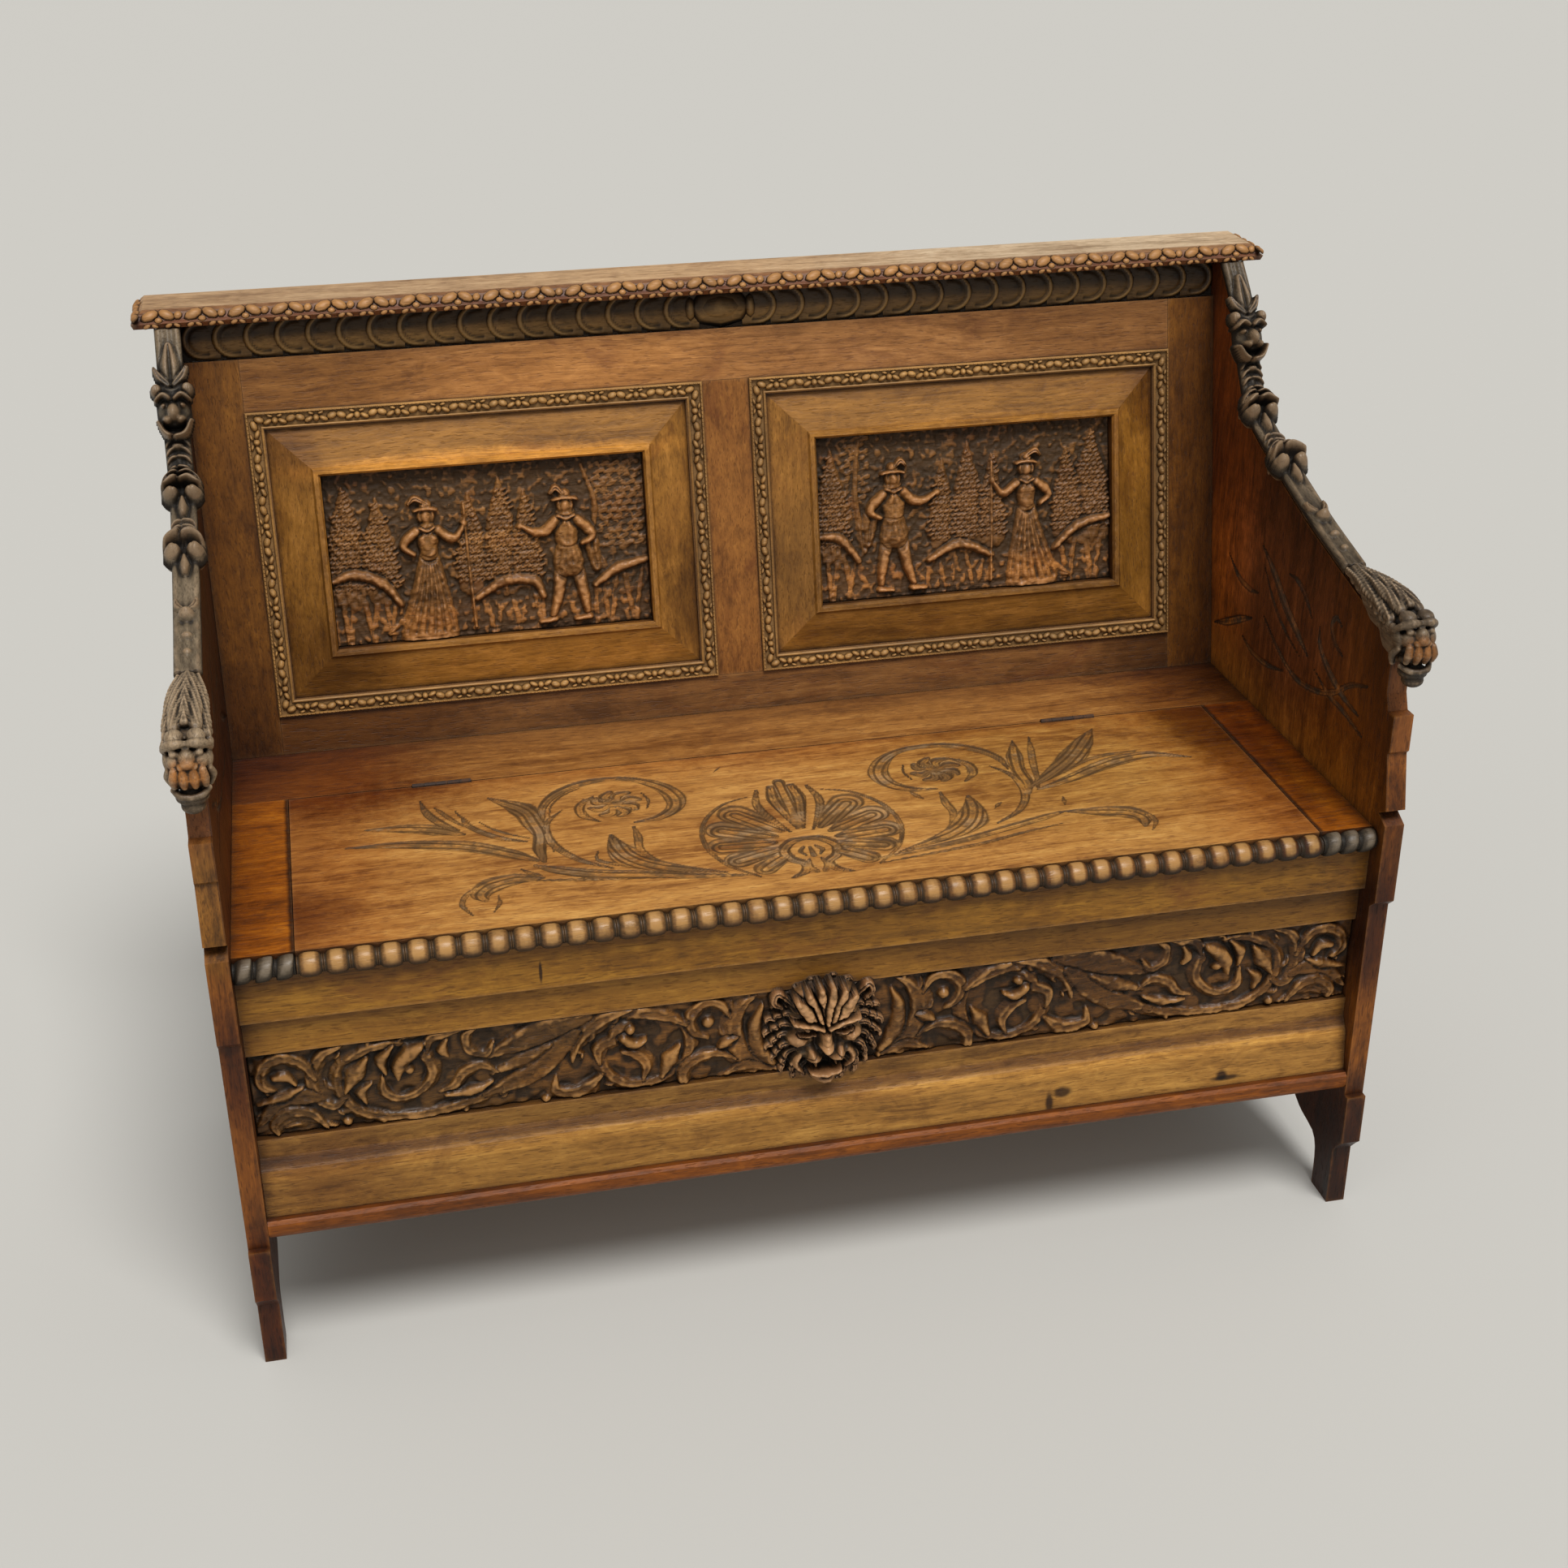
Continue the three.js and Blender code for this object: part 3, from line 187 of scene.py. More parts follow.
class Carving:
    """Heights in mm over a rectangle of a face."""

    def __init__(self, u0, u1, v0, v1, pitch):
        self.u = np.linspace(u0, u1, round((u1 - u0) / pitch) + 1)
        self.v = np.linspace(v0, v1, round((v1 - v0) / pitch) + 1)
        self.U, self.V = np.meshgrid(self.u, self.v)
        self.height = np.zeros(self.U.shape)
        self.pitch = pitch
        self.dark_ground = 0.0
        self.rubbed_from = -99.0
        self.across = np.zeros(self.U.shape)

    def window(self, low, high):
        """The part of the grid between two corners."""
        i = np.searchsorted(self.u, (low[0], high[0]))
        j = np.searchsorted(self.v, (low[1], high[1]))
        return slice(*j), slice(*i)

    def near(self, points, widths):
        """The grid near a stroke: how far each point is off its line and along it, and its side."""
        line = along_curve(points)
        share = np.linspace(0, 1, len(line))
        half = np.interp(share, np.linspace(0, 1, len(widths)), widths) / 2 + 1e-6
        room = 1.5 * half.max() + 2
        cut = self.window(line.min(0) - room, line.max(0) + room)
        U, V = self.U[cut], self.V[cut]
        best, along, side = np.full(U.shape, 9.0), np.zeros(U.shape), np.zeros(U.shape)
        for k in range(len(line) - 1):
            a, d = line[k], line[k + 1] - line[k]
            t = np.clip(((U - a[0]) * d[0] + (V - a[1]) * d[1]) / (d @ d + 1e-9), 0, 1)
            du, dv = U - a[0] - t * d[0], V - a[1] - t * d[1]
            q = np.hypot(du, dv) / (half[k] + t * (half[k + 1] - half[k]))
            closer = q < best
            best[closer] = q[closer]
            along[closer] = (share[k] + t * (share[k + 1] - share[k]))[closer]
            side[closer] = np.sign(dv * d[0] - du * d[1])[closer]
        return cut, best, along, side

    def stroke(self, section, points, widths, height, base=0.0):
        """A raised stroke, with a fine groove where it crosses another."""
        cut, q, _, side = self.near(points, widths)
        h = self.height[cut]
        moat = (q >= 1) & (q < 1.3)
        h[moat] = np.minimum(h[moat], h[moat] * (0.45 + 0.55 * (q[moat] - 1) / 0.3))
        on = q < 1
        h[on] = np.maximum(h[on] * 0.75, base + height * SECTIONS[section](q, side)[on])

    def gouge(self, section, points, widths, depth):
        """A stroke cut below the surface."""
        cut, q, s, side = self.near(points, widths)
        h = self.height[cut]
        cut_to = -depth * SECTIONS[section](q, side)
        deeper = (q < 1) & (cut_to < h)
        wide = np.interp(s, np.linspace(0, 1, len(widths)), widths)
        self.across[cut][deeper] = (q * wide / 2)[deeper]
        h[deeper] = cut_to[deeper]

    def sink(self, points, widths, depth):
        """A groove cut into whatever is there."""
        cut, q, _, _ = self.near(points, widths)
        on = q < 1
        self.height[cut][on] -= depth * (1 - q[on] ** 2)

    def scoop(self, points, widths, low, rise):
        """A hollow cut down to low on its line, rising to its edge."""
        cut, q, _, _ = self.near(points, widths)
        on = q < 1
        self.height[cut][on] = np.minimum(self.height[cut][on], low + rise * q[on])

    def dome(self, u, v, ru, rv, height, power=0.5):
        """A low round or oval boss."""
        room = max(ru, rv)
        cut = self.window((u - room, v - room), (u + room, v + room))
        q = ((self.U[cut] - u) / ru) ** 2 + ((self.V[cut] - v) / rv) ** 2
        h = self.height[cut]
        on = q < 1
        h[on] = np.maximum(h[on], height * (1 - q[on]) ** power)

    def fringe(self, points, side, count, size, height, back=False):
        """Small lobes along one side of a stroke, leaning the way it runs."""
        line = along_curve(points[::-1] if back else points, 12)
        ahead = np.gradient(line, axis=0)
        ahead /= np.linalg.norm(ahead, axis=1)[:, None] + 1e-9
        aside = np.stack([-ahead[:, 1], ahead[:, 0]], 1) * (-side if back else side)
        for i in range(count):
            k = int((len(line) - 1) * (i + 0.5) / count)
            reach = size * (0.7 + 0.3 * math.sin(math.pi * (i + 0.5) / count))
            knee = line[k] + (0.35 * ahead[k] + 0.75 * aside[k]) * reach
            tip = line[k] + (1.0 * ahead[k] + 0.95 * aside[k]) * reach
            self.stroke("round", [line[k], knee, tip], [0.6 * reach, 0.7 * reach, 0.2 * reach], height)

    def unevenness(self, seed, grain, limit):
        """Random humps about a grain wide, as shares of their usual height."""
        rough = np.random.default_rng(seed).random(self.height.shape)
        rough = blurred(rough, grain / 2 / self.pitch)
        return np.clip((rough - rough.mean()) / (rough.std() + 1e-9), -limit, limit)

    def tool_marks(self, depth, grain):
        """The uneven surface that a gouge leaves."""
        self.height += depth * 0.5 * self.unevenness(7, grain, 2) * (self.height > 0.3)

    def rough_ground(self, depth, grain):
        """Uneven punched ground between the raised forms."""
        ground = depth * (0.5 + 0.33 * self.unevenness(11, grain, 1.5))
        self.height = np.where(self.height < depth, np.maximum(self.height, ground), self.height)

    def softened(self, reach):
        """The heights blurred over a reach in mm."""
        return blurred(self.height, reach / self.pitch)

    def level_rim(self):
        """Brings the outline level with the face."""
        for edge in (self.height[0], self.height[-1], self.height[:, 0], self.height[:, -1]):
            edge[:] = 0

    def patina(self, reach=6.0, depth=3.0):
        """Dirt in the hollows and wear on the ridges, each from 0 to 1."""
        lift = self.height - self.softened(reach)
        ground = self.dark_ground * np.clip(2.2 - self.height, 0, 1)
        tall = np.clip((self.height - self.rubbed_from) / 4, 0.25, 1)
        dirty = np.maximum(np.clip(-lift / depth, 0, 1), ground)
        rubbed = np.clip(lift / depth, 0, 1) * tall
        return {"hollow": dirty.ravel(), "worn": rubbed.ravel()}

    def points(self, place):
        """The carved surface, where it lies on the bench."""
        return place(self.U.ravel(), self.V.ravel(), self.height.ravel())


def on_face(origin, right, up):
    """Places (u, v, height) on a flat face."""
    out = np.cross(right, up)
    return lambda u, v, h: origin + np.outer(u, right) + np.outer(v, up) + np.outer(h, out)


def grid_quads(rows, columns):
    """The squares of a grid of points."""
    k = np.arange(rows * columns).reshape(rows, columns)
    return np.stack([k[:-1, :-1], k[:-1, 1:], k[1:, 1:], k[1:, :-1]], -1).reshape(-1, 4)


def rim(rows, columns):
    """The grid's outline, once round, by its four sides."""
    k = np.arange(rows * columns).reshape(rows, columns)
    return [k[0, :], k[:, -1], k[-1, ::-1], k[::-1, 0]]


def fan(side, first, last):
    """Triangles from a row of points to the two corners beyond it."""
    middle = len(side) // 2
    out = [(first, side[i + 1], side[i]) for i in range(middle)]
    out.append((first, last, side[middle]))
    out += [(last, side[i + 1], side[i]) for i in range(middle, len(side) - 1)]
    return out


def slab(name, carving, place, thickness):
    """A closed panel with the carving on its face and a flat back."""
    rows, columns = carving.height.shape
    carving.level_rim()
    values = carving.patina()
    (u0, u1), (v0, v1) = carving.u[[0, -1]], carving.v[[0, -1]]
    corners = place(*np.array([(u0, u1, u1, u0), (v0, v0, v1, v1), (-thickness,) * 4]))
    points = np.vstack([carving.points(place), corners])
    n = rows * columns
    triangles = []
    for i, side in enumerate(rim(rows, columns)):
        triangles += fan(side, n + i, n + (i + 1) % 4)
    values = {key: np.append(v, np.zeros(4)) for key, v in values.items()}
    quads = np.vstack([grid_quads(rows, columns), [[n + 3, n + 2, n + 1, n]]])
    return mesh_piece(name, points, quads, triangles, values)


def cut_out(name, carving, place, under, floor=0.05):
    """A closed piece of only the raised cells, with its own back."""
    h = carving.height
    rows, columns = h.shape
    k = np.arange(rows * columns).reshape(rows, columns)
    quads = grid_quads(rows, columns)
    keep = (h.ravel()[quads] > floor).any(1)
    quads = quads[keep]
    edges = np.concatenate([quads[:, [i, (i + 1) % 4]] for i in range(4)])
    code = edges[:, 0] * k.size + edges[:, 1]
    back = edges[:, 1] * k.size + edges[:, 0]
    rims = edges[~np.isin(code, back)]
    n = k.size
    walls = np.stack([rims[:, 1], rims[:, 0], rims[:, 0] + n, rims[:, 1] + n], 1)
    front = carving.points(place)
    behind = place(carving.U.ravel(), carving.V.ravel(), under(carving).ravel())
    values = {key: np.concatenate([v, v]) for key, v in carving.patina().items()}
    faces = np.vstack([quads, quads[:, ::-1] + n, walls])
    used, faces = np.unique(faces, return_inverse=True)
    points = np.vstack([front, behind])[used]
    return mesh_piece(name, points, faces.reshape(-1, 4), (), {key: v[used] for key, v in values.items()})


def merged_copy(node):
    """A CAD node's corners and triangles in bench mm, doubles merged."""
    mesh = NODES[node].data
    mesh.calc_loop_triangles()
    faces = read(mesh.loop_triangles, "vertices", 3, np.int32)
    co = bench_mm(read(mesh.vertices, "co"))
    _, first, same = np.unique(np.round(co, 2), axis=0, return_index=True, return_inverse=True)
    return co[first], same.ravel()[faces]


def loops_of(triangles):
    """The outlines of a patch of triangles, each a list of corners in order."""
    edges = {(t[i], t[(i + 1) % 3]) for t in triangles.tolist() for i in range(3)}
    after = {a: b for a, b in edges if (b, a) not in edges}
    loops = []
    while after:
        start, at = after.popitem()
        loop = [start]
        while at != start:
            loop.append(at)
            at = after.pop(at)
        loops.append(loop)
    return loops


def carved_board(name, node, carving, origin, right, up, margin=2.0):
    """The CAD node again, with the carving let into one of its flat faces."""
    corners, triangles = merged_copy(node)
    right, up, origin = (np.asarray(a, float) for a in (right, up, origin))
    out = np.cross(right, up)
    flat = np.abs((corners - origin) @ out) < 0.05
    on = flat[triangles].all(1)
    face, rest = triangles[on], triangles[~on]
    place = on_face(origin, right, up)
    rows, columns = carving.height.shape
    carving.level_rim()
    n, m = len(corners), rows * columns
    u0, u1 = carving.u[[0, -1]] + (-margin, margin)
    v0, v1 = carving.v[[0, -1]] + (-margin, margin)
    bounds = ((u0, v0), (u1, v0), (u1, v1), (u0, v1))
    points = np.vstack([corners, carving.points(place), place(*np.transpose(bounds), np.zeros(4))])
    triangles = rest.tolist()
    for i, side in enumerate(rim(rows, columns)):
        triangles += fan(side + n, n + m + i, n + m + (i + 1) % 4)
    for loop in loops_of(face):
        flat_loop = np.stack([(corners[loop] - origin) @ right, (corners[loop] - origin) @ up], 1)
        inside = (flat_loop.min(0) < (u0, v0)).all() and (flat_loop.max(0) > (u1, v1)).all()
        names, lines = loop, [[Vector((*p, 0)) for p in flat_loop]]
        if inside:
            names = loop + [n + m + i for i in range(4)]
            lines.append([Vector((*p, 0)) for p in bounds])
        for t in tessellate_polygon(lines):
            a, b, c = (points[names[i]] for i in t)
            order = t if np.dot(np.cross(b - a, c - a), out) > 0 else t[::-1]
            triangles.append([names[i] for i in order])
    values = carving.patina(5, 1.6)
    values["cut"] = np.clip(-carving.height.ravel() / 1.2, 0, 1)
    values["across"] = carving.across.ravel()
    values = {key: np.concatenate([np.zeros(n), v, np.zeros(4)]) for key, v in values.items()}
    piece = mesh_piece(name, points, grid_quads(rows, columns) + n, triangles, values, smooth=False)
    shade = np.zeros(len(piece.data.polygons), bool)
    shade[: (rows - 1) * (columns - 1)] = True
    piece.data.polygons.foreach_set("use_smooth", shade)
    return piece


# The lid's flourish, left and right: for each cut its line in x and y, its widths and its depth.
LID_LEFT = [
    ([(-70, 60), (-120, 70), (-160, 82), (-215, 96), (-250, 112), (-272, 126)], [2, 7, 9, 12, 10, 3], 2.0),
    ([(-120, 68), (-160, 76), (-205, 83), (-230, 88), (-262, 94), (-290, 100)], [1, 3, 4, 5, 3, 1], 1.4),
    ([(-268, 136), (-292, 155), (-330, 180), (-372, 194), (-410, 202), (-455, 205)], [3, 12, 14, 12, 8, 1],
        2.0),
    ([(-335, 208), (-362, 224), (-392, 234), (-432, 240)], [3, 15, 12, 2], 1.8),
    ([(-274, 178), (-300, 192), (-318, 210), (-330, 228), (-334, 244)], [2, 7, 7, 6, 1], 2.0),
    ([(-270, 184), (-290, 198), (-306, 214), (-318, 232)], [1, 3, 3, 1], 1.2),
    ([(-340, 218), (-356, 238), (-368, 262), (-374, 294)], [3, 9, 8, 1], 2.0),
    ([(-334, 226), (-346, 246), (-354, 262), (-360, 274)], [2, 5, 5, 1], 1.6),
    ([(-326, 232), (-336, 250), (-340, 264)], [1, 3, 1], 1.2),
    ([(-262, 132), (-264, 160), (-260, 190), (-264, 220), (-272, 250), (-304, 284)], [3, 9, 9, 16, 18, 1],
        2.4),
    ([(-250, 148), (-252, 180), (-254, 215), (-262, 246)], [1, 3, 3, 1], 1.4),
    ([(-198, 104), (-226, 126), (-246, 158), (-253, 188), (-250, 214), (-232, 238)], [2, 6, 8, 8, 6, 1],
        2.2),
    ([(-252, 222), (-250, 250), (-234, 276), (-206, 294), (-172, 298), (-144, 288), (-122, 266),
        (-113, 240), (-118, 216), (-138, 199), (-162, 195)], [1, 6, 8, 8, 6, 7, 12, 15, 11, 7, 2], 2.3),
    ([(-246, 224), (-242, 248), (-228, 270), (-206, 285)], [1, 2, 3, 1], 1.2),
    ([(-196, 262), (-212, 244), (-212, 222), (-197, 204)], [2, 9, 9, 2], 2.0),
    ([(-190, 172), (-187, 145), (-178, 122), (-156, 100), (-128, 86), (-90, 70)], [3, 14, 24, 14, 8, 1],
        2.4),
    ([(-165, 186), (-164, 162), (-166, 138), (-156, 116)], [2, 8, 7, 1], 1.9),
    ([(-208, 142), (-210, 124), (-192, 110), (-160, 94)], [1, 4, 5, 1], 1.4),
    ([(-268, 100), (-295, 104), (-318, 97), (-330, 82), (-326, 68)], [3, 14, 18, 13, 3], 2.2),
    ([(-326, 102), (-343, 84), (-349, 64), (-341, 42)], [1, 5, 5, 1], 1.6),
    ([(-314, 76), (-314, 60), (-321, 44)], [1, 4, 1], 1.4),
    ([(-286, 122), (-278, 112), (-268, 106)], [2, 6, 2], 1.3),
]
LID_RIGHT = [
    ([(50, 62), (100, 70), (150, 80), (205, 96), (250, 110), (275, 118)], [2, 6, 8, 10, 9, 2], 1.9),
    ([(60, 54), (120, 62), (170, 70), (215, 82), (262, 92)], [1, 4, 5, 4, 1], 1.4),
    ([(276, 116), (310, 108), (336, 100), (346, 86), (342, 68)], [3, 13, 17, 12, 3], 2.2),
    ([(334, 108), (352, 94), (356, 76), (346, 58)], [1, 5, 5, 1], 1.6),
    ([(250, 165), (256, 190), (256, 220), (262, 252), (272, 290)], [3, 9, 10, 12, 1], 2.3),
    ([(262, 170), (270, 200), (276, 230), (284, 262), (292, 294)], [2, 5, 7, 7, 1], 1.8),
    ([(255, 178), (290, 205), (322, 236), (346, 268), (366, 297)], [3, 12, 20, 14, 1], 2.3),
    ([(262, 170), (305, 188), (340, 206), (372, 218), (408, 222), (447, 206)], [2, 10, 13, 14, 9, 1], 2.0),
    ([(300, 200), (330, 222), (360, 232), (398, 234)], [1, 5, 6, 1], 1.5),
    ([(198, 108), (226, 128), (243, 156), (248, 186), (244, 212), (228, 236)], [2, 6, 8, 8, 6, 1], 2.1),
    ([(246, 222), (244, 250), (228, 276), (200, 294), (166, 298), (138, 290), (118, 270),
        (108, 244), (114, 218), (134, 201), (158, 196)], [1, 6, 8, 8, 6, 7, 12, 15, 11, 7, 2], 2.3),
    ([(190, 264), (207, 246), (207, 224), (193, 206)], [2, 9, 9, 2], 2.0),
    ([(186, 172), (183, 146), (173, 122), (152, 101), (124, 87), (84, 72)], [3, 14, 24, 15, 8, 1], 2.4),
    ([(160, 188), (159, 164), (160, 140), (150, 118)], [2, 8, 7, 1], 1.9),
    ([(130, 196), (134, 186), (139, 176)], [2, 6, 1], 1.3),
    ([(205, 140), (210, 146), (216, 152)], [1, 5, 1], 1.2),
    ([(282, 150), (280, 140), (277, 130)], [1, 5, 1], 1.2),
]
SHELL = (0, 112)
BROAD = 11.0


def spread(widths):
    """A stroke's widths as the chisel leaves them: leaves open wider than stems."""
    return [w * (1.75 if max(widths) >= BROAD else 1.35) for w in widths]


def carve_lid():
    lid = Carving(-470, 470, 36, 306, 1.7)
    for points, widths, depth in LID_LEFT + LID_RIGHT:
        lid.gouge("ridged", points, spread(widths), depth)
    for side, (cx, cy) in ((-1, (-176, 240)), (1, (170, 241))):
        for i in range(8):
            a = 2 * math.pi * (i + 0.3) / 8
            c, s = math.cos(a), math.sin(a)
            lid.gouge("ridged", [(cx + 7 * c, cy + 8 * s), (cx + 18 * c - 4 * s, cy + 20 * s + 4 * c),
                (cx + 25 * c + 4 * s, cy + 27 * s - 2 * c)], [6, 15, 9], 2.4)
        lid.gouge("soft", [(cx - 4, cy), (cx + 4, cy)], [13, 13], 2.0)
        for way in (-1, 1):
            lid.gouge("soft", [(cx + way * 31, cy - 18), (cx + way * 35, cy), (cx + way * 31, cy + 18)],
                [2, 4, 2], 1.4)
    cx, cy = SHELL
    for way in (-1, 1):
        lid.gouge("soft", [(way * 60, 54), (way * 87, 84), (way * 101, 128), (way * 95, 174),
            (way * 70, 210), (way * 38, 224)], [3, 5, 6, 6, 5, 1], 1.9)
        for degrees, reach, wide in ((51, 94, 41), (28, 89, 39), (5, 84, 37), (-18, 78, 33), (-42, 70, 27)):
            c, s = way * math.cos(math.radians(degrees)), math.sin(math.radians(degrees))
            start, middle, tip = ((cx + r * c, cy + 4 + r * s) for r in (33, 0.66 * reach, reach))
            lid.gouge("ridged", [start, middle, tip], [8, 0.76 * wide, wide], 3.0)
        lid.gouge("ridged", [(way * 12, 138), (way * 24, 168), (way * 33, 202), (way * 27, 236)],
            [3, 8, 11, 4], 2.4)
        lid.gouge("ridged", [(way * 3, 144), (way * 8, 178), (way * 13, 212), (way * 11, 240)],
            [4, 12, 17, 10], 3.0)
        lid.gouge("ridged", [(0, 122), (way * 15, 118), (way * 27, 101), (way * 23, 82), (way * 12, 70),
            (way * 16, 54), (way * 30, 45)], [9, 13, 14, 13, 11, 11, 4], 2.6)
        lid.gouge("soft", [(way * 4, 52), (way * 10, 64), (way * 6, 78)], [7, 11, 3], 2.0)
        lid.gouge("soft", [(way * 6, 104), (way * 11, 95), (way * 7, 86)], [4, 7, 3], 1.8)
    lid.gouge("ridged", [(0, 146), (0, 190), (0, 250)], [4, 11, 15], 2.6)
    lid.gouge("soft", [(0, 102), (0, 84)], [5, 7], 2.0)
    lid.gouge("soft", [(-64, 286), (-58, 294), (-52, 300)], [1, 4, 1], 0.8)
    return carved_board("carved_lid", "seat_lid", lid, (0, 0, SEAT), X_AXIS, Y_AXIS)


# The front frieze.
# Rows for the right half, in x and z: section, line, widths, height and any lobes along its side.
FRIEZE_ROWS = [
    ("soft", [(560, 262), (530, 262), (496, 266)], [6, 12, 3], 3),
    ("turned", [(308, 286), (340, 274), (374, 265), (410, 261), (446, 265), (472, 280), (484, 304),
        (480, 328), (460, 344), (434, 350), (408, 343)], [6, 12, 13, 13, 12, 12, 13, 12, 11, 10, 4], 10,
        (-1, 9, 11)),
    ("turned", [(150, 338), (138, 312), (144, 286), (166, 268), (194, 264), (218, 274), (230, 296),
        (222, 316)], [6, 13, 12, 11, 11, 12, 12, 4], 10, (-1, 5, 9)),
    ("turned", [(58, 262), (80, 272), (96, 296), (98, 322), (86, 344), (72, 352)], [12, 22, 24, 20, 12, 3],
        11, (-1, 5, 11)),
    ("round", [(56, 270), (70, 290), (74, 316), (66, 340)], [8, 15, 13, 3], 8.5),
    ("turned", [(60, 262), (84, 268), (106, 262)], [6, 14, 3], 8),
    ("turned", [(100, 330), (108, 344), (124, 347), (137, 335), (134, 318), (122, 310)],
        [3, 10, 13, 14, 10, 4], 11),
    ("round", [(92, 306), (103, 302), (114, 294)], [3, 12, 2], 9),
    ("turned", [(94, 280), (112, 288), (130, 286), (145, 274), (145, 260), (134, 256)],
        [3, 10, 14, 14, 10, 4], 11),
    ("round", [(150, 306), (160, 290), (169, 271)], [2, 15, 5], 9.5),
    ("turned", [(206, 306), (192, 302), (182, 286), (188, 268)], [6, 14, 12, 3], 10.5),
    ("turned", [(174, 346), (194, 346), (208, 334), (214, 320), (229, 312), (230, 294)],
        [4, 15, 17, 15, 14, 4], 12.5),
    ("round", [(206, 322), (196, 314), (184, 318)], [10, 11, 3], 12),
    ("turned", [(270, 350), (232, 356), (198, 353), (166, 345), (144, 330)], [16, 18, 18, 16, 6], 12,
        (1, 4, 9)),
    ("turned", [(196, 354), (224, 344), (248, 326), (257, 302)], [6, 18, 17, 3], 12.5, (-1, 3, 10)),
    ("turned", [(228, 282), (244, 266), (262, 263), (277, 270), (275, 286)], [4, 18, 18, 13, 4], 10.5),
    ("dished", [(240, 352), (272, 345), (304, 333), (342, 320)], [10, 27, 21, 5], 11),
    ("dished", [(252, 334), (276, 312), (302, 292), (344, 276)], [8, 21, 20, 5], 10.5, (-1, 4, 9)),
    ("round", [(278, 324), (304, 311), (336, 300)], [5, 14, 5], 7),
    ("turned", [(330, 300), (346, 309), (362, 303), (372, 291), (388, 286)], [3, 12, 13, 11, 3], 9.5),
    ("round", [(336, 291), (356, 283), (382, 282)], [3, 11, 3], 8.5),
    ("turned", [(414, 346), (396, 330), (391, 308), (404, 290), (424, 283), (441, 293), (441, 313)],
        [5, 13, 12, 11, 11, 11, 3], 10.5),
    ("round", [(398, 345), (412, 337), (424, 323), (426, 308)], [4, 15, 14, 3], 12.5),
    ("round", [(428, 346), (440, 332), (437, 316)], [3, 12, 3], 10),
    ("round", [(454, 336), (466, 320), (477, 300)], [4, 17, 3], 10),
    ("round", [(451, 307), (462, 297), (458, 283)], [2, 11, 2], 7.5),
    ("turned", [(346, 356), (357, 346), (355, 332), (342, 325), (333, 336)], [3, 10, 11, 10, 3], 9.5),
    ("turned", [(362, 354), (376, 350), (390, 347), (396, 334)], [3, 13, 13, 3], 9.5),
    ("round", [(377, 345), (382, 334), (376, 325)], [4, 10, 2], 8.5),
    ("turned", [(476, 353), (495, 343), (505, 322), (503, 301), (490, 288), (477, 294)],
        [4, 12, 14, 13, 12, 3], 10.5),
    ("turned", [(488, 262), (520, 272), (552, 262)], [3, 13, 3], 8),
    ("dished", [(500, 296), (520, 300), (542, 292), (561, 274)], [6, 17, 18, 4], 10, (1, 3, 9)),
    ("turned", [(504, 318), (516, 338), (534, 345), (550, 336), (552, 320), (541, 312)],
        [4, 13, 15, 14, 12, 4], 11, (1, 4, 9)),
    ("round", [(522, 316), (532, 326), (542, 326)], [3, 12, 6], 9),
    ("turned", [(498, 262), (512, 278), (530, 282), (545, 272), (543, 261)], [4, 13, 14, 12, 4], 10),
    ("round", [(516, 312), (536, 304), (560, 298)], [3, 12, 3], 8),
]
FRIEZE_BALLS = [(121, 327, 7, 10), (199, 331, 6, 12), (415, 318, 6.5, 10), (478, 266, 5.5, 8),
    (285, 261, 5.5, 9)]
FRIEZE_SWELL = 1.3
FRIEZE_GROUND = 32.0


def carve_frieze(word, side):
    half = 48.0
    ends = sorted((side * JOINT, side * (HALF - JOINT)))
    frieze = Carving(*ends, FRIEZE_MIDDLE - half, FRIEZE_MIDDLE + half, 1.12)
    for section, points, widths, height, *lobes in FRIEZE_ROWS:
        line = [(side * x, z) for x, z in points][::side]
        widths = [FRIEZE_SWELL * w for w in widths][::side]
        for way, count, size in lobes:
            frieze.fringe(line, way, count, size, 0.8 * height, back=side < 0)
        frieze.stroke(section, line, widths, height)
    for x, z, r, height in FRIEZE_BALLS:
        frieze.dome(side * x, z, r, r, height)
    frieze.height = 0.7 * frieze.height + 0.3 * frieze.softened(1.2)
    frieze.tool_marks(0.9, 8.0)
    frieze.tool_marks(0.5, 4.0)
    frieze.rough_ground(3.4, 9.0)
    frieze.dark_ground = 0.75
    place = on_face(np.array([0, FRIEZE_GROUND, 0]), X_AXIS, Z_AXIS)
    piece = slab(word + "_leaf_frieze", frieze, place, 4)
    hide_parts(word + "_carved_frieze")
    return piece


# The two carved scenes.
SCENE_HALF_WIDTH = 172.0
SCENE_HALF_HEIGHT = 93.2
PANEL_S = 206.1
SCENE_SUNK = 5.0
FIGURE_SCALE = 1.13


def tree(scene, x, foot, top, wide, height=4.5):
    """A tall tree in courses of small dabs."""
    scene.stroke("round", [(x, foot), (x, foot + 0.5 * (top - foot)), (x, top)],
        [0.95 * wide, 0.85 * wide, 3], height)
    course, row = foot + 2, 0
    while course < top - 4:
        reach = wide * (1 - ((course - foot) / (top - foot)) ** 2) / 2
        step = 6.4
        count = int(2 * reach / step)
        for i in range(count + 1):
            at = x - reach + step * (i + 0.5 * (row % 2))
            if abs(at - x) < reach:
                scene.stroke("round", [(at - 2.6, course - 1), (at + 2.4, course + 1.2)], [3.6, 2.2], 2.2,
                    base=height - 1)
        course += 5.0
        row += 1


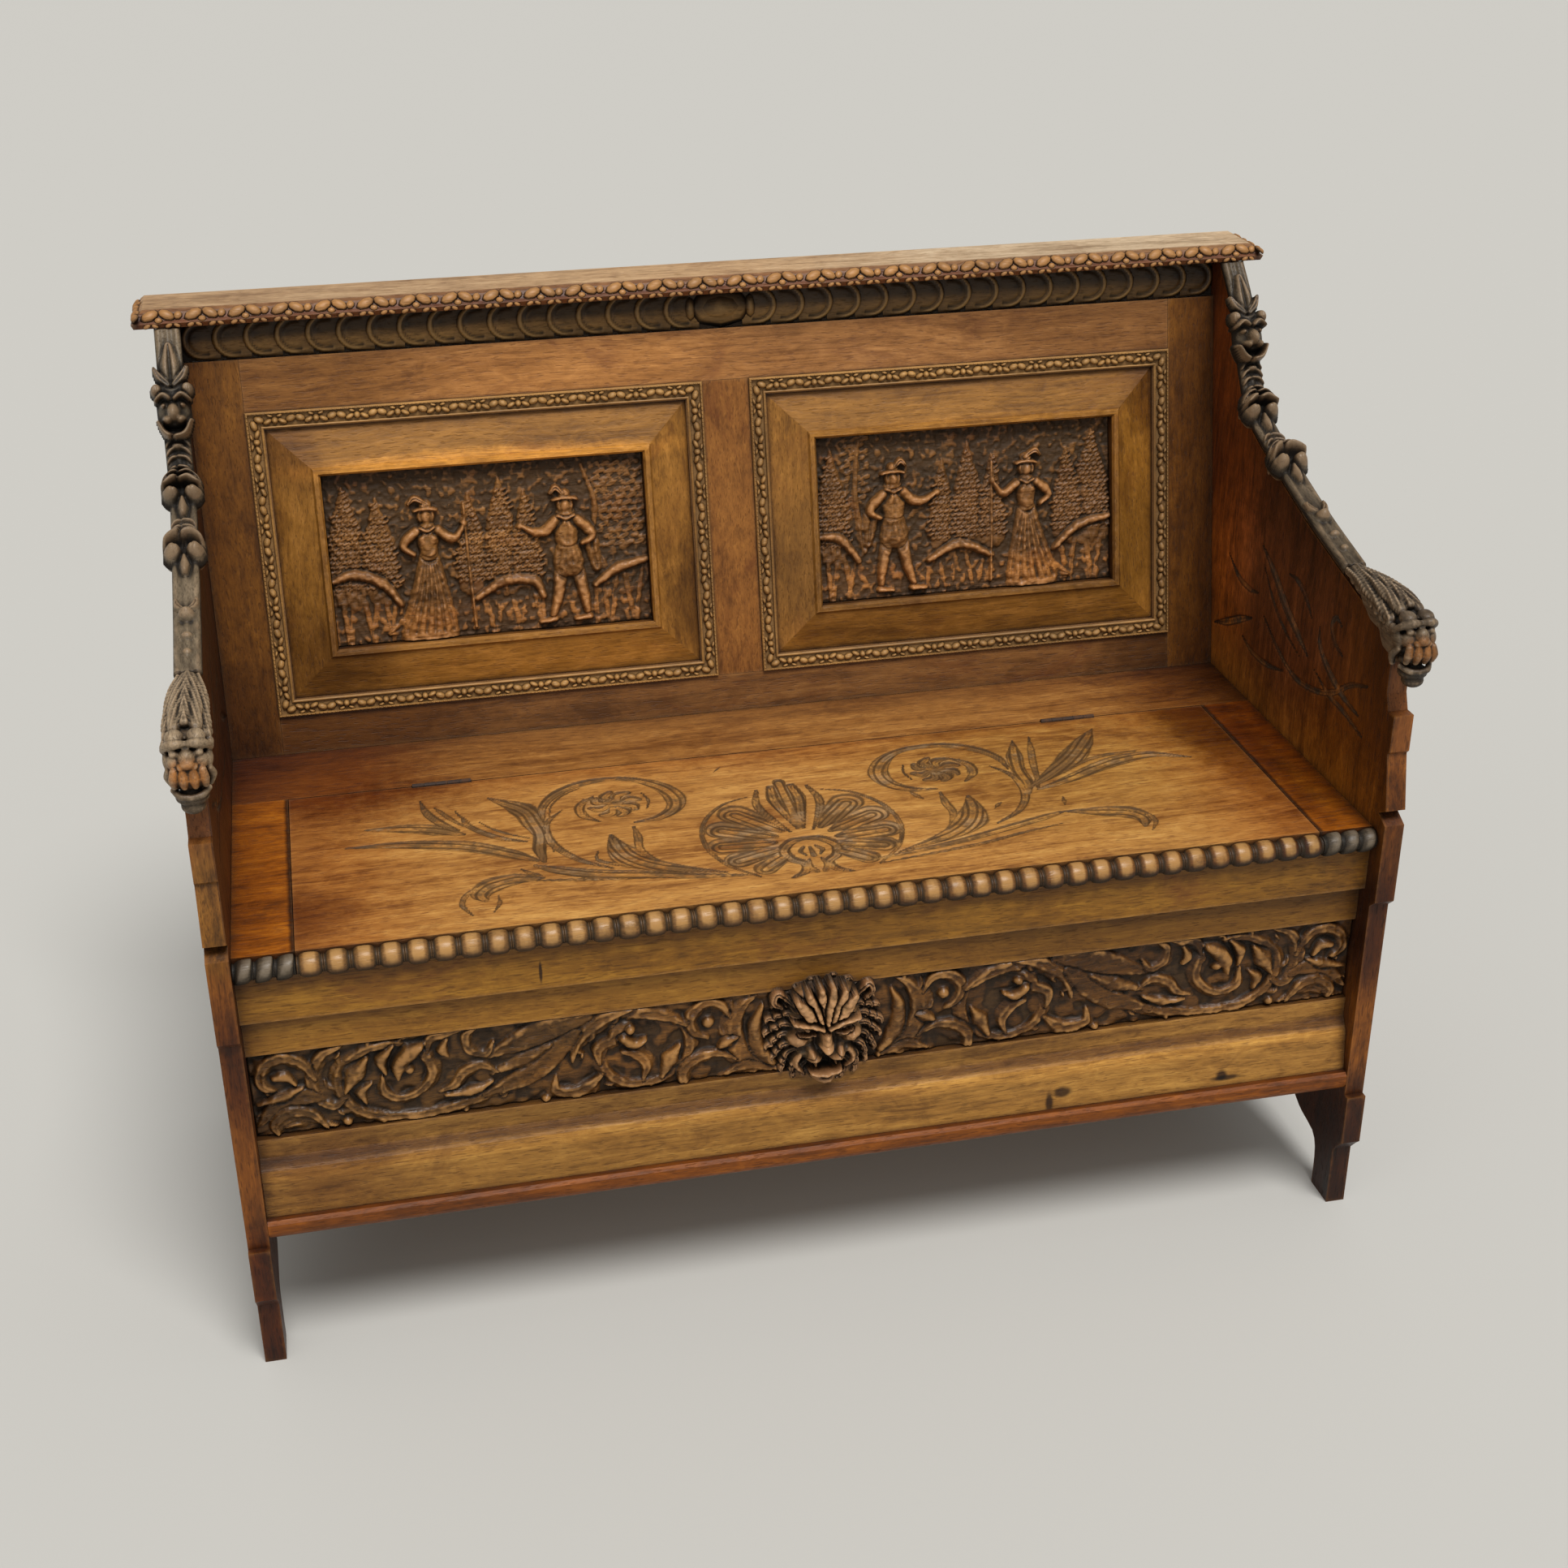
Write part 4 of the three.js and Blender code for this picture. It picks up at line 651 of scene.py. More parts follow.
def bank(scene, points, low, height):
    """A bank of grass: a rolled crest, with curling blades below it."""
    line = along_curve(points)
    for i in range(0, len(line), 3):
        x, crest = line[i]
        lean = 7 * math.sin(0.9 * i)
        scene.stroke("turned", [(x + lean, low), (x + 0.2 * lean, (low + crest) / 2),
            (x - 0.6 * lean, crest - 1)], [8, 8.5, 4], height - 2.6 + 0.6 * (i % 2))
    scene.stroke("round", points, [8] + [13] * (len(points) - 2) + [8], height + 2.4)


def foliage(scene, x0, x1, low, high, size):
    """A spread of leaf dabs."""
    row, z = 0, low
    while z < high:
        x = x0 + 0.5 * size * (row % 2)
        while x < x1:
            scene.stroke("dished", [(x - 0.4 * size, z - 1), (x + 0.4 * size, z + 0.2 * size)],
                [0.3 * size, 0.6 * size], 4.8 + 0.8 * math.sin(x + z))
            x += size
        z += 0.66 * size
        row += 1


class Figure:
    """Strokes in a figure's own sizes, from its feet up, facing one way."""

    def __init__(self, scene, x, foot, way):
        self.scene, self.x, self.foot, self.way = scene, x, foot, way

    def at(self, points):
        return [(self.x + self.way * FIGURE_SCALE * u, self.foot + FIGURE_SCALE * v) for u, v in points]

    def limb(self, points, widths, height, section="round"):
        self.scene.stroke(section, self.at(points), [FIGURE_SCALE * w for w in widths], height)

    def line(self, points, widths, depth):
        self.scene.sink(self.at(points), [FIGURE_SCALE * w for w in widths], depth)

    def lump(self, u, v, ru, rv, height):
        (x, z), = self.at([(u, v)])
        self.scene.dome(x, z, FIGURE_SCALE * ru, FIGURE_SCALE * rv, height)

    def head(self, brim, plume):
        """A plain face under a brimmed hat."""
        self.limb([(-5.4, 110), (-6.6, 116), (-4, 122), (4, 122), (6.6, 116), (5.4, 110)],
            [4, 4, 4, 4, 4, 4], 8)
        self.lump(0, 114, 5.9, 8, 12)
        self.lump(0.3, 113.6, 1.5, 2.4, 12.3)
        for way in (-1, 1):
            self.line([(way * 2.6 - 0.8, 116), (way * 2.6 + 0.8, 116)], [1.4, 1.4], 0.6)
        self.line([(-1.5, 109.8), (1.5, 109.8)], [1.2, 1.2], 0.5)
        self.lump(0, 125, 6.4, 6, 11)
        self.limb([(-brim, 120), (-0.5 * brim, 121.6), (0.5 * brim, 121.6), (brim, 120)], [3, 4, 4, 3], 12)
        self.limb([(2, 126), (plume, 132), (1.7 * plume, 127)], [4, 7, 3], 10.5, "vein")


def lady(scene, x, foot, way):
    """A figure in a long gown, holding a staff."""
    f = Figure(scene, x, foot, way)
    f.limb([(-16, 26), (-32, 9), (-44, 4)], [16, 13, 4], 5.6, "vein")
    f.limb([(0, 78), (-1, 52), (-3, 26), (-5, 3)], [19, 31, 45, 56], 11)
    for i in range(6):
        t = (i - 2.5) / 2.5
        f.line([(5 * t, 72), (13 * t - 1, 38), (22 * t - 5, 4)], [1.6, 3.4, 4.4], 2.6)
    f.lump(0, 78, 9.5, 6, 11)
    f.limb([(0, 80), (0, 92), (0, 101)], [17, 22, 20], 11)
    f.line([(-7, 78), (0, 75.4), (7, 78)], [2, 2.4, 2], 1.6)
    for side in (-1, 1):
        f.lump(side * 5, 94, 5.4, 5.6, 11.8)
    f.limb([(-10, 101), (-19, 94), (-23, 86), (-14, 79)], [10, 11, 8, 5], 10.4)
    f.limb([(10, 101), (20, 93), (27, 93), (34, 102)], [10, 11, 8, 5], 10.4)
    f.limb([(36, 124), (37, 60), (39, 4)], [3.2, 3.2, 3.2], 7.5)
    f.lump(35.6, 105, 3.6, 4.2, 10)
    f.limb([(-7, 104), (0, 100.6), (7, 104)], [3, 4.4, 3], 11.6)
    f.lump(0, 105, 3.4, 4.6, 10)
    f.head(10.5, -9)


def gentleman(scene, x, foot, way):
    """A striding figure in a short coat and cape, one arm held out."""
    f = Figure(scene, x, foot, way)
    f.limb([(-9, 103), (-21, 84), (-27, 52)], [13, 20, 10], 6.4, "vein")
    for swing, rise in ((-1, 8.8), (1, 10.4)):
        ankle = (swing * 17 + 2, 8)
        f.limb([(swing * 5, 64), (swing * 9, 46), (swing * 13, 26), ankle], [17, 14, 11.5, 6.5], rise)
        f.limb([(ankle[0] - 2, 4.4), (ankle[0] + 12, 3)], [7, 5], rise)
    f.limb([(0, 60), (0, 76), (0, 92), (0, 104)], [31, 22, 27, 22], 11)
    f.line([(-11, 77), (0, 75), (11, 77)], [2, 2.4, 2], 1.8)
    for i in range(4):
        f.line([(-10.5 + 7 * i, 58), (-7 + 4.6 * i, 72)], [2.2, 1.4], 1.8)
    f.line([(0, 80), (0, 100)], [1.8, 1.8], 1.6)
    f.limb([(10, 101), (20, 92), (31, 91), (42, 97)], [11, 12, 9, 5], 11)
    f.lump(45, 98, 3.8, 3.8, 10)
    f.limb([(-10, 100), (-20, 91), (-24, 83), (-14, 77)], [11, 12, 9, 6], 11)
    f.limb([(-8, 105), (0, 102), (8, 105)], [3.4, 5, 3.4], 11.8)
    f.head(11.5, 8)


# For each side: its trees (x, top, width) and their foot, a spread of leaves beside a trunk,
# the banks of grass, and the two figures (x and the way each one faces), in the order of carving.
SCENES = {
    "left": {
        "trees": ((-152, 78, 48), (-118, 64, 42), (-20, 62, 38), (14, 76, 44), (40, 60, 34)),
        "tree foot": -34,
        "leaves": (118, 172, -6, 88, 11),
        "trunk": ([(104, 84), (116, 40), (110, 0), (122, -30)], [4, 8, 9, 12]),
        "banks": (([(-172, -22), (-146, -16), (-118, -28), (-100, -52)], 6.5),
            ([(-18, -52), (12, -36), (44, -38), (54, -56)], 5.6),
            ([(112, -48), (138, -32), (172, -24)], 6.5)),
        "figures": ((lady, -66, 1), (gentleman, 84, -1)),
    },
    "right": {
        "trees": ((-154, 76, 44), (-26, 58, 34), (4, 76, 42), (32, 60, 34), (150, 80, 50), (120, 60, 38)),
        "tree foot": -32,
        "leaves": (-138, -112, 0, 88, 11),
        "trunk": ([(-122, 86), (-128, 30), (-120, -36)], [5, 8, 12]),
        "banks": (([(-172, -18), (-146, -22), (-126, -48)], 6.5),
            ([(-44, -54), (-8, -38), (30, -54)], 5.6),
            ([(104, -52), (134, -28), (172, -20)], 6.5)),
        "figures": ((gentleman, -84, 1), (lady, 72, -1)),
    },
}


def carve_scene(word, side):
    low, high = -SCENE_HALF_HEIGHT, SCENE_HALF_HEIGHT
    scene = Carving(-SCENE_HALF_WIDTH, SCENE_HALF_WIDTH, low, high, 0.95)
    clouds = 0.5 * np.sin(scene.V * 0.62 + 1.6 * np.sin(scene.U * 0.045))
    clouds += 0.3 * np.sin(scene.U * 0.5 + scene.V * 0.2)
    scene.height += 1.2 + 0.35 * clouds
    has = SCENES[word]
    for x, top, wide in has["trees"]:
        tree(scene, x, has["tree foot"], top, wide)
    foliage(scene, *has["leaves"])
    scene.stroke("turned", *has["trunk"], 6)
    for points, height in has["banks"]:
        bank(scene, points, low, height)
    for figure, x, way in has["figures"]:
        figure(scene, x, low + 5, way)
    for i in range(5):
        scene.sink([(-90 + 30 * i, low + 4 + i), (-40 + 30 * i, low + 3 + i)], [1, 3, 1], 0.9)
    scene.height = 0.55 * scene.height + 0.45 * scene.softened(1.5)
    scene.tool_marks(0.9, 5.0)
    scene.tool_marks(0.4, 2.4)
    scene.dark_ground = 0.85
    scene.rubbed_from = 3.8
    middle = np.array([side * PANEL_X, SEAT_DEPTH, SEAT]) + PANEL_S * UP_BACK
    place = on_face(middle - SCENE_SUNK * OUT_BACK, X_AXIS, UP_BACK)
    piece = slab(word + "_carved_scene", scene, place, 10.7)
    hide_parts(word + "_scene_panel")
    return piece


# The lion mask.
LION_X = -6.0


def carve_lion():
    lion = Carving(-64, 64, -66, 66, 0.9)
    lion.dome(0, 2, 52, 56, 15, power=0.6)
    for ring, (wide, tall, height) in enumerate(((52, 54, 15), (45, 47, 19), (38, 42, 22))):
        for i in range(21):
            a = math.radians(-70 + 320 * (i + 0.5 * (ring % 2)) / 21)
            c, s = math.cos(a), math.sin(a)
            at, way = np.array([wide * c, tall * s - 2]), 1 if c > 0 else -1
            lock = [at - (5 * c, 5 * s), at + (3 * c, 3 * s),
                at + (8 * c + 3 * way * s, 8 * s - 3 * way * c),
                at + (8 * c + 7 * way * s, 8 * s - 7 * way * c)]
            lion.stroke("turned", lock, [9, 9.5, 7, 2.5], height + 2 * (i % 2))
    face = Carving(-64, 64, -66, 66, 0.9)
    face.dome(0, 6, 40, 42, 24, power=0.55)
    for way in (-1, 1):
        face.dome(way * 27, -3, 15, 14, 29, power=0.6)
        face.dome(way * 12, -21, 16, 13, 36, power=0.6)
        face.dome(way * 13, 36, 24, 22, 33.5, power=0.4)
        face.stroke("round", [(way * 4, 12), (way * 18, 20), (way * 36, 22)], [12, 13, 5], 32)
        face.stroke("round", [(way * 24, -20), (way * 30, -34), (way * 22, -46)], [11, 11, 6], 23)
    face.stroke("round", [(0, 26), (0, 8), (0, -12)], [13, 15, 20], 37)
    face.dome(0, -52, 17, 11, 25, power=0.6)
    face.height = face.softened(1.9)
    lion.height = np.maximum(lion.height, face.height)
    for way in (-1, 1):
        lion.stroke("turned", [(way * 30, 32), (way * 38, 40), (way * 46, 47), (way * 49, 39),
            (way * 42, 32)][::way], [5, 10, 10, 9, 4], 25)
        for k, (root, tip, top) in enumerate(((2, 6, 57), (7, 18, 53), (12, 29, 45))):
            lion.stroke("round", [(way * root, 19 - k), (way * (root + tip) / 1.9, 36), (way * tip, top)],
                [8, 13, 7], 5.5 - 0.6 * k, base=31)
        lion.stroke("round", [(way * 3, 11), (way * 16, 17), (way * 34, 21)], [9, 11, 4], 36)
        lion.scoop([(way * 10, 7), (way * 18, 9), (way * 27, 8)], [7, 11, 6], 21, 4)
        lion.dome(way * 18.5, 8, 5.6, 4.2, 26.5)
        lion.sink([(way * 17.6, 8), (way * 19.4, 8)], [2.6, 2.6], 2)
        lion.stroke("round", [(way * 10, 3), (way * 19, 1.5), (way * 28, 4)], [4, 5, 3], 28)
        for k in range(3):
            lion.sink([(way * (7 + 4 * k), -17 - 3 * k), (way * (17 + 4 * k), -24 - 3 * k)], [2, 1.6], 1.8)
    lion.dome(0, -11, 10.5, 7, 43, power=0.6)
    for way in (-1, 1):
        lion.sink([(way * 4, -15), (way * 7, -12)], [3.4, 4], 6)
    lion.sink([(0, -17), (0, -27)], [2, 2.4], 4)
    mouth = [(-24, -30), (-12, -35), (0, -33), (12, -35), (24, -30)]
    lion.scoop(mouth, [5, 11, 11, 11, 5], 12, 10)
    for way in (-1, 1):
        lion.stroke("round", [(way * 10, -31), (way * 10.5, -36)], [4, 2], 27)
    lion.stroke("round", [(-15, -42), (0, -45), (15, -42)], [6, 9, 6], 31)
    lion.dome(0, -54, 14, 8, 27, power=0.6)
    lion.height = np.clip(lion.height, 0, 43.4)
    lion.tool_marks(0.9, 5.0)
    lion.tool_marks(0.6, 2.7)
    place = on_face(np.array([LION_X, FRIEZE_GROUND - 0.4, FRIEZE_MIDDLE]), X_AXIS, Z_AXIS)
    off_ground = np.abs(lion.V) > 48
    lion.height = np.where(off_ground & (lion.height < 9), 0, lion.height)
    piece = cut_out("lion_head", lion, place, lambda c: np.where(np.abs(c.V) > 48, 7.8, 0.0), floor=0.6)
    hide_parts("lion_mask")
    return piece


# Leaf scrolls on the end boards: for each cut its line in y and z, its widths and its depth.
END_ROWS = [
    ([(60, 604), (96, 590), (132, 566), (172, 551), (220, 545), (262, 556), (310, 580)],
        [3, 7, 8, 8, 8, 7, 2], 2.0),
    ([(72, 566), (110, 572), (148, 586), (172, 604), (176, 622)], [3, 10, 13, 10, 2], 2.0),
    ([(60, 548), (100, 556), (140, 560), (178, 572)], [3, 8, 8, 1], 1.7),
    ([(196, 580), (228, 596), (262, 614), (296, 638), (330, 657)], [3, 14, 18, 14, 2], 2.3),
    ([(216, 572), (256, 586), (290, 606), (318, 634)], [1, 6, 7, 1], 1.6),
    ([(340, 566), (372, 552), (404, 536), (438, 522)], [3, 12, 12, 2], 1.9),
    ([(250, 540), (290, 530), (330, 528), (360, 536)], [2, 8, 8, 2], 1.7),
    ([(120, 612), (140, 620), (150, 634), (142, 646), (128, 642)], [3, 8, 9, 7, 2], 1.9),
    ([(196, 624), (214, 640), (236, 650), (258, 650)], [2, 9, 9, 1], 1.8),
    ([(330, 600), (356, 596), (386, 600), (414, 616)], [2, 9, 9, 1], 1.8),
]


def carve_end_board(word, side):
    end = Carving(*sorted((-side * 48, -side * 446)), 512, 662, 2.0)
    for points, widths, depth in END_ROWS:
        end.gouge("soft", [(-side * y, z) for y, z in points], widths, depth)
    piece = carved_board(word + "_carved_end_board", word + "_end_board", end, (side * HALF, 0, 0),
        -side * Y_AXIS, Z_AXIS)
    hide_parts(word + "_end_board")
    return piece


# The carved arms.
ARM_START = np.array([136.0, 703.0])
ARM_REACH = np.array([363.8, 226.7])
ARM_SHARES = np.array([(0, 0), (0.242, 0.099), (0.522, 0.242), (0.684, 0.341), (0.739, 0.407),
    (0.808, 0.561), (0.876, 0.79), (1, 1)])


def arm_line():
    line = along_curve(ARM_START + ARM_SHARES * ARM_REACH, 40)
    length = np.concatenate([[0], np.cumsum(np.linalg.norm(np.diff(line, axis=0), axis=1))])
    return line, length


def on_arm(x):
    """Places (across, along, out) on the arm's carved edge."""
    line, length = arm_line()
    ahead = np.gradient(line, axis=0)
    ahead /= np.linalg.norm(ahead, axis=1)[:, None]
    even = np.ones(25) / 25
    ahead = np.stack([np.convolve(np.pad(ahead[:, i], 12, "edge"), even, "valid") for i in (0, 1)], 1)

    def place(u, v, h):
        y, z = (np.interp(v, length, line[:, i]) for i in (0, 1))
        ty, tz = (np.interp(v, length, ahead[:, i]) for i in (0, 1))
        norm = np.hypot(ty, tz)
        return np.stack([x + u, y - tz / norm * h, z + ty / norm * h], 1)

    return place, length[-1]


def fruit_knot(arm, v):
    """Two fruits under a curled double leaf, with a drop below."""
    for way in (-1, 1):
        arm.dome(way * 15.5, v - 1, 5.2, 7, 15)
        arm.dome(way * 10, v - 3, 9.4, 10, 22)
        arm.sink([(way * 7, v - 9), (way * 9, v - 3), (way * 7, v + 3)], [2, 3, 2], 1.6)
        arm.stroke("round", [(0, v + 33), (way * 6, v + 31), (way * 12, v + 24)], [6, 7, 4], 13)
        arm.stroke("round", [(0, v + 24), (way * 7, v + 25), (way * 14, v + 19), (way * 18, v + 12)],
            [6, 8, 8, 5], 20)
        arm.stroke("round", [(0, v + 15), (way * 7, v + 17), (way * 13, v + 12), (way * 17, v + 6)],
            [8, 11, 10, 7], 25)
    arm.stroke("round", [(0, v - 9), (0, v - 20), (0, v - 31)], [7, 12, 7], 14)


def small_mask(arm, v):
    """An animal's mask with a round nose and a broad lip, under a leaf crest."""
    arm.stroke("vein", [(0, v + 70), (0, v + 50), (0, v + 26)], [9, 20, 24], 12)
    arm.dome(0, v, 17, 27, 17, power=0.6)
    for way in (-1, 1):
        arm.stroke("vein", [(way * 3, v + 28), (way * 11, v + 36), (way * 16, v + 46)], [7, 9, 4], 13)
        arm.dome(way * 15, v + 22, 6.5, 8, 19)
        arm.stroke("round", [(way * 2, v + 13), (way * 9, v + 17), (way * 17, v + 12)], [6, 7, 4], 23)
        arm.dome(way * 9, v + 7, 4, 3.6, 21)
        arm.dome(way * 6.5, v - 7, 6.5, 6.5, 27, power=0.6)
        arm.stroke("round", [(0, v - 24), (way * 9, v - 21), (way * 16, v - 8)], [8, 9, 5], 24)
        arm.sink([(way * 15, v + 20), (way * 15, v + 24)], [5, 5], 4)
    arm.dome(0, v, 8.5, 12, 30, power=0.6)
    arm.dome(0, v - 33, 7, 5, 13)
    arm.sink([(-9, v - 14), (0, v - 16), (9, v - 14)], [4, 5, 4], 9)


def carve_arm(word, side):
    place, length = on_arm(side * BOARD_X)
    arm = Carving(-25, 25, 0, length, 1.0)
    arm.height = np.where(np.abs(arm.U) < 12.4, 4.2 + 0.9 * np.cos(0.72 * arm.U), 0)
    fruit_knot(arm, 0.595 * length)
    fruit_knot(arm, 0.395 * length)
    for share, count in ((0.69, 3), (0.485, 2)):
        for i in range(count):
            v = share * length + 9 * i
            for way in (-1, 1):
                arm.stroke("round", [(0, v + 2), (way * 7, v), (way * 11.5, v - 6)], [5, 5.4, 2.6], 10)
    v = 0.185 * length
    arm.dome(0, v, 8.5, 9.5, 16)
    for way in (-1, 1):
        arm.stroke("vein", [(way * 2, v + 6), (way * 8, v + 14), (way * 10, v + 25)], [6, 8, 3], 12)
    arm.dome(0, 0.115 * length, 7, 6, 10)
    arm.dome(0, 0.06 * length, 6, 6, 9)
    small_mask(arm, 0.79 * length)
    outline = arm.height > 1.5
    arm.height = np.where(outline, np.maximum(0.45 * arm.height + 0.55 * arm.softened(1.4), 2.0), 0)
    near_top = np.clip((length - arm.V) / 14, 0.25, 1)
    arm.height = np.where(arm.height > 5, 5 + (arm.height - 5) * near_top, arm.height)
    arm.height = np.where(arm.height < 1.5, 0, arm.height)
    under = lambda c: np.where(np.abs(c.U) < 10.9, -8.0, -np.clip(0.45 * c.height, 0.5, 10) - 2)
    piece = cut_out(word + "_arm_carving", arm, place, under)
    co = read(piece.data.vertices, "co")
    co[:, 2] = np.minimum(co[:, 2], ARM_TOP / 1000)
    piece.data.vertices.foreach_set("co", co.ravel())
    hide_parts(word + "_arm_strip", word + "_arm_mask")
    return piece


def ring_faces(rings, first, last):
    """Quads between rings of points, and triangles to the point before and the point after them."""
    after = np.roll(rings, -1, axis=1)
    quads = np.stack([rings[:-1], rings[1:], after[1:], after[:-1]], -1).reshape(-1, 4)
    caps = [(first, a, b) for a, b in zip(rings[0], after[0])]
    caps += [(last, b, a) for a, b in zip(rings[-1], after[-1])]
    return quads, np.array(caps)


def ellipsoid(centre, radii, tilt=0.0, yaw=0.0, rings=10, segments=16):
    """Corners and faces of a stretched ball; tilt turns it in the y-z plane, yaw about z."""
    a = np.linspace(0, math.pi, rings + 1)[1:-1]
    b = np.linspace(0, 2 * math.pi, segments, endpoint=False)
    body = np.stack([np.outer(np.sin(a), np.cos(b)), np.outer(np.sin(a), np.sin(b)),
        np.outer(np.cos(a), np.ones(segments))], -1).reshape(-1, 3)
    points = np.vstack([[0, 0, 1], body, [0, 0, -1]]) * radii
    turn = np.array(Matrix.Rotation(yaw, 3, "Z") @ Matrix.Rotation(tilt, 3, "X"))
    points = points @ turn.T + centre
    n = len(body)
    return points, *ring_faces(1 + np.arange(n).reshape(-1, segments), 0, n + 1)


def rope(points, radii, flat=1.0):
    """Balls in a row along a path, close enough to merge."""
    line = along_curve(points, 6)
    size = np.interp(np.linspace(0, 1, len(line)), np.linspace(0, 1, len(radii)), radii)
    out, last = [], None
    for p, r in zip(line, size):
        if last is None or np.linalg.norm(p - last) > 0.35 * r:
            out.append(ellipsoid(p, (r, r, r * flat), rings=8, segments=10))
            last = p
    return out


def sculpt(name, forms, voxel, engrave):
    """Many overlapping forms made one skin and engraved, with its dirt and wear."""
    points, quads, triangles, n = [], [], [], 0
    for p, q, t in forms:
        points.append(p)
        quads.append(q + n)
        triangles.append(t + n)
        n += len(p)
    piece = mesh_piece(name + "_forms", np.vstack(points), np.vstack(quads), np.vstack(triangles))
    remesh = piece.modifiers.new("one skin", "REMESH")
    remesh.mode = "VOXEL"
    remesh.voxel_size = voxel / 1000
    mesh = evaluated(piece)
    bpy.data.objects.remove(piece)
    co = read(mesh.vertices, "co")
    edges = read(mesh.edges, "vertices", 2, np.int32)
    degree = np.bincount(edges.ravel(), minlength=len(co))[:, None]

    def softened(p, times):
        for _ in range(times):
            total = np.zeros_like(p)
            np.add.at(total, edges[:, 0], p[edges[:, 1]])
            np.add.at(total, edges[:, 1], p[edges[:, 0]])
            p = 0.5 * p + 0.5 * total / degree
        return p

    co = softened(co, 1)
    for depth in (engrave(bench_mm(co)), 0):
        mesh.vertices.foreach_set("co", co.ravel())
        mesh.update()
        normals = read(mesh.vertices, "normal")
        co = co + normals * np.reshape(depth, (-1, 1)) / 1000
    lift = ((co - softened(co, 12)) * normals).sum(1) * 1000
    set_values(mesh, {"hollow": np.clip(-lift / 0.55, 0, 1), "worn": np.clip(lift / 0.7, 0, 1)})
    mesh.polygons.foreach_set("use_smooth", np.ones(len(mesh.polygons), bool))
    mesh.name = name
    return placed(name, mesh)


# Where the arm's front edge turns into its top, under the head.
CORNER_Y = 19.7
CORNER_Z = 668.3


def carve_arm_head(word, side):
    """A grimacing beast under a mane leaf, at the front of the arm."""
    x = side * BOARD_X
    forms = []

    def form(across, y, z, rx, ry, rz, tilt=0.0, both=True, yaw=0.0):
        for way in (-1, 1) if both and across else (1,):
            forms.append(ellipsoid((x + way * across, y, z), (rx, ry, rz), tilt, way * yaw))

    def cord(points, radii, both=True, flat=1.0):
        for way in (-1, 1) if both else (1,):
            forms.extend(rope([(x + way * a, y, z) for a, y, z in points], radii, flat))

    form(0, 24, 676, 17, 34, 29, 0.1, False)
    form(0, 66, 686, 15, 48, 19, 0.32, False)
    form(0, 104, 695, 11.5, 34, 11, 0.3, False)
    cord([(0, 134, 704), (0, 90, 709), (0, 50, 711), (0, 16, 709)], [3.5, 5, 5.5, 4.5], False)
    cord([(8, 132, 701), (12, 96, 703), (15, 56, 700), (16, 20, 694)], [4, 5.5, 6.2, 6])
    cord([(4, 118, 705), (7, 80, 708), (9, 44, 708), (9, 16, 704)], [4, 5.5, 6.5, 6])
    for i in range(7):
        form(20 - 1.4 * i, 16 + 16 * i, 689 + 1.8 * i, 3.2, 6.4, 4.6, 0.4)
    form(19, 8, 690, 4.2, 6, 5)
    form(9, 1, 702, 8.5, 10, 7)
    cord([(2, -9, 700), (9, -11, 701), (16, -5, 697), (20, 4, 690)], [3.4, 4.4, 4.2, 3.2])
    form(10.5, -10, 692, 4.2, 4, 3.8)
    form(10, -7, 683, 8, 8, 8)
    form(17, 2, 681, 4.6, 10, 9)
    form(0, -12, 687, 7.5, 9, 10, 0.35, False)
    form(0, -19, 685, 6, 4.4, 4.6, 0, False)
    form(5.6, -17, 682, 3.4, 4, 3.4)
    for a in (4.2, 12):
        cord([(a, -18.5 + 0.3 * a, 677), (1.1 * a, -20.4 + 0.35 * a, 670), (1.1 * a, -17 + 0.3 * a, 663)],
            [4, 4.5, 3.4])
    cord([(17, -4, 674), (19, 4, 664), (16, 8, 654)], [3.4, 4, 3])
    form(0, -1, 661, 15, 11, 8, 0, False)
    form(0, -4, 648, 15, 14, 7.5, 0, False)
    cord([(0, -17, 652), (9, -15, 653), (15, -7, 656)], [3, 3.4, 3])
    form(0, -6, 640, 11, 11, 7.5, 0, False)

    def locks(p):
        across, y = np.abs(p[:, 0] - x), p[:, 1]
        return 0.5 * np.clip((y - 10) / 8, 0, 1) * np.cos(2 * math.pi * (across + 0.17 * y) / 4.6)

    piece = sculpt(word + "_beast_head", forms, 1.0, locks)
    co = bench_mm(read(piece.data.vertices, "co"))
    inward = np.abs(co[:, 0] - x) < 10.8
    behind = (co[:, 1] > CORNER_Y) & inward & (co[:, 2] < CORNER_Z)
    co[behind, 1] = CORNER_Y
    line, length = arm_line()
    edge_start = line[0] + (4.5, -6.8)
    t = np.clip((co[:, 1] - CORNER_Y) / (edge_start[0] - CORNER_Y), 0, 1)
    top_of_board = CORNER_Z + t * (edge_start[1] - CORNER_Z)
    over = inward & (co[:, 1] > CORNER_Y) & (co[:, 2] < top_of_board) & ~behind
    co[over, 2] = top_of_board[over]
    co[:, 2] = np.clip(co[:, 2], 631.2, 719)
    co[:, 1] = np.clip(co[:, 1], -23.8, 135.7)
    co[:, 0] = x + np.clip(co[:, 0] - x, -24, 24)
    piece.data.vertices.foreach_set("co", metres(co).ravel())
    piece.data.update()
    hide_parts(word + "_arm_head")
    return piece


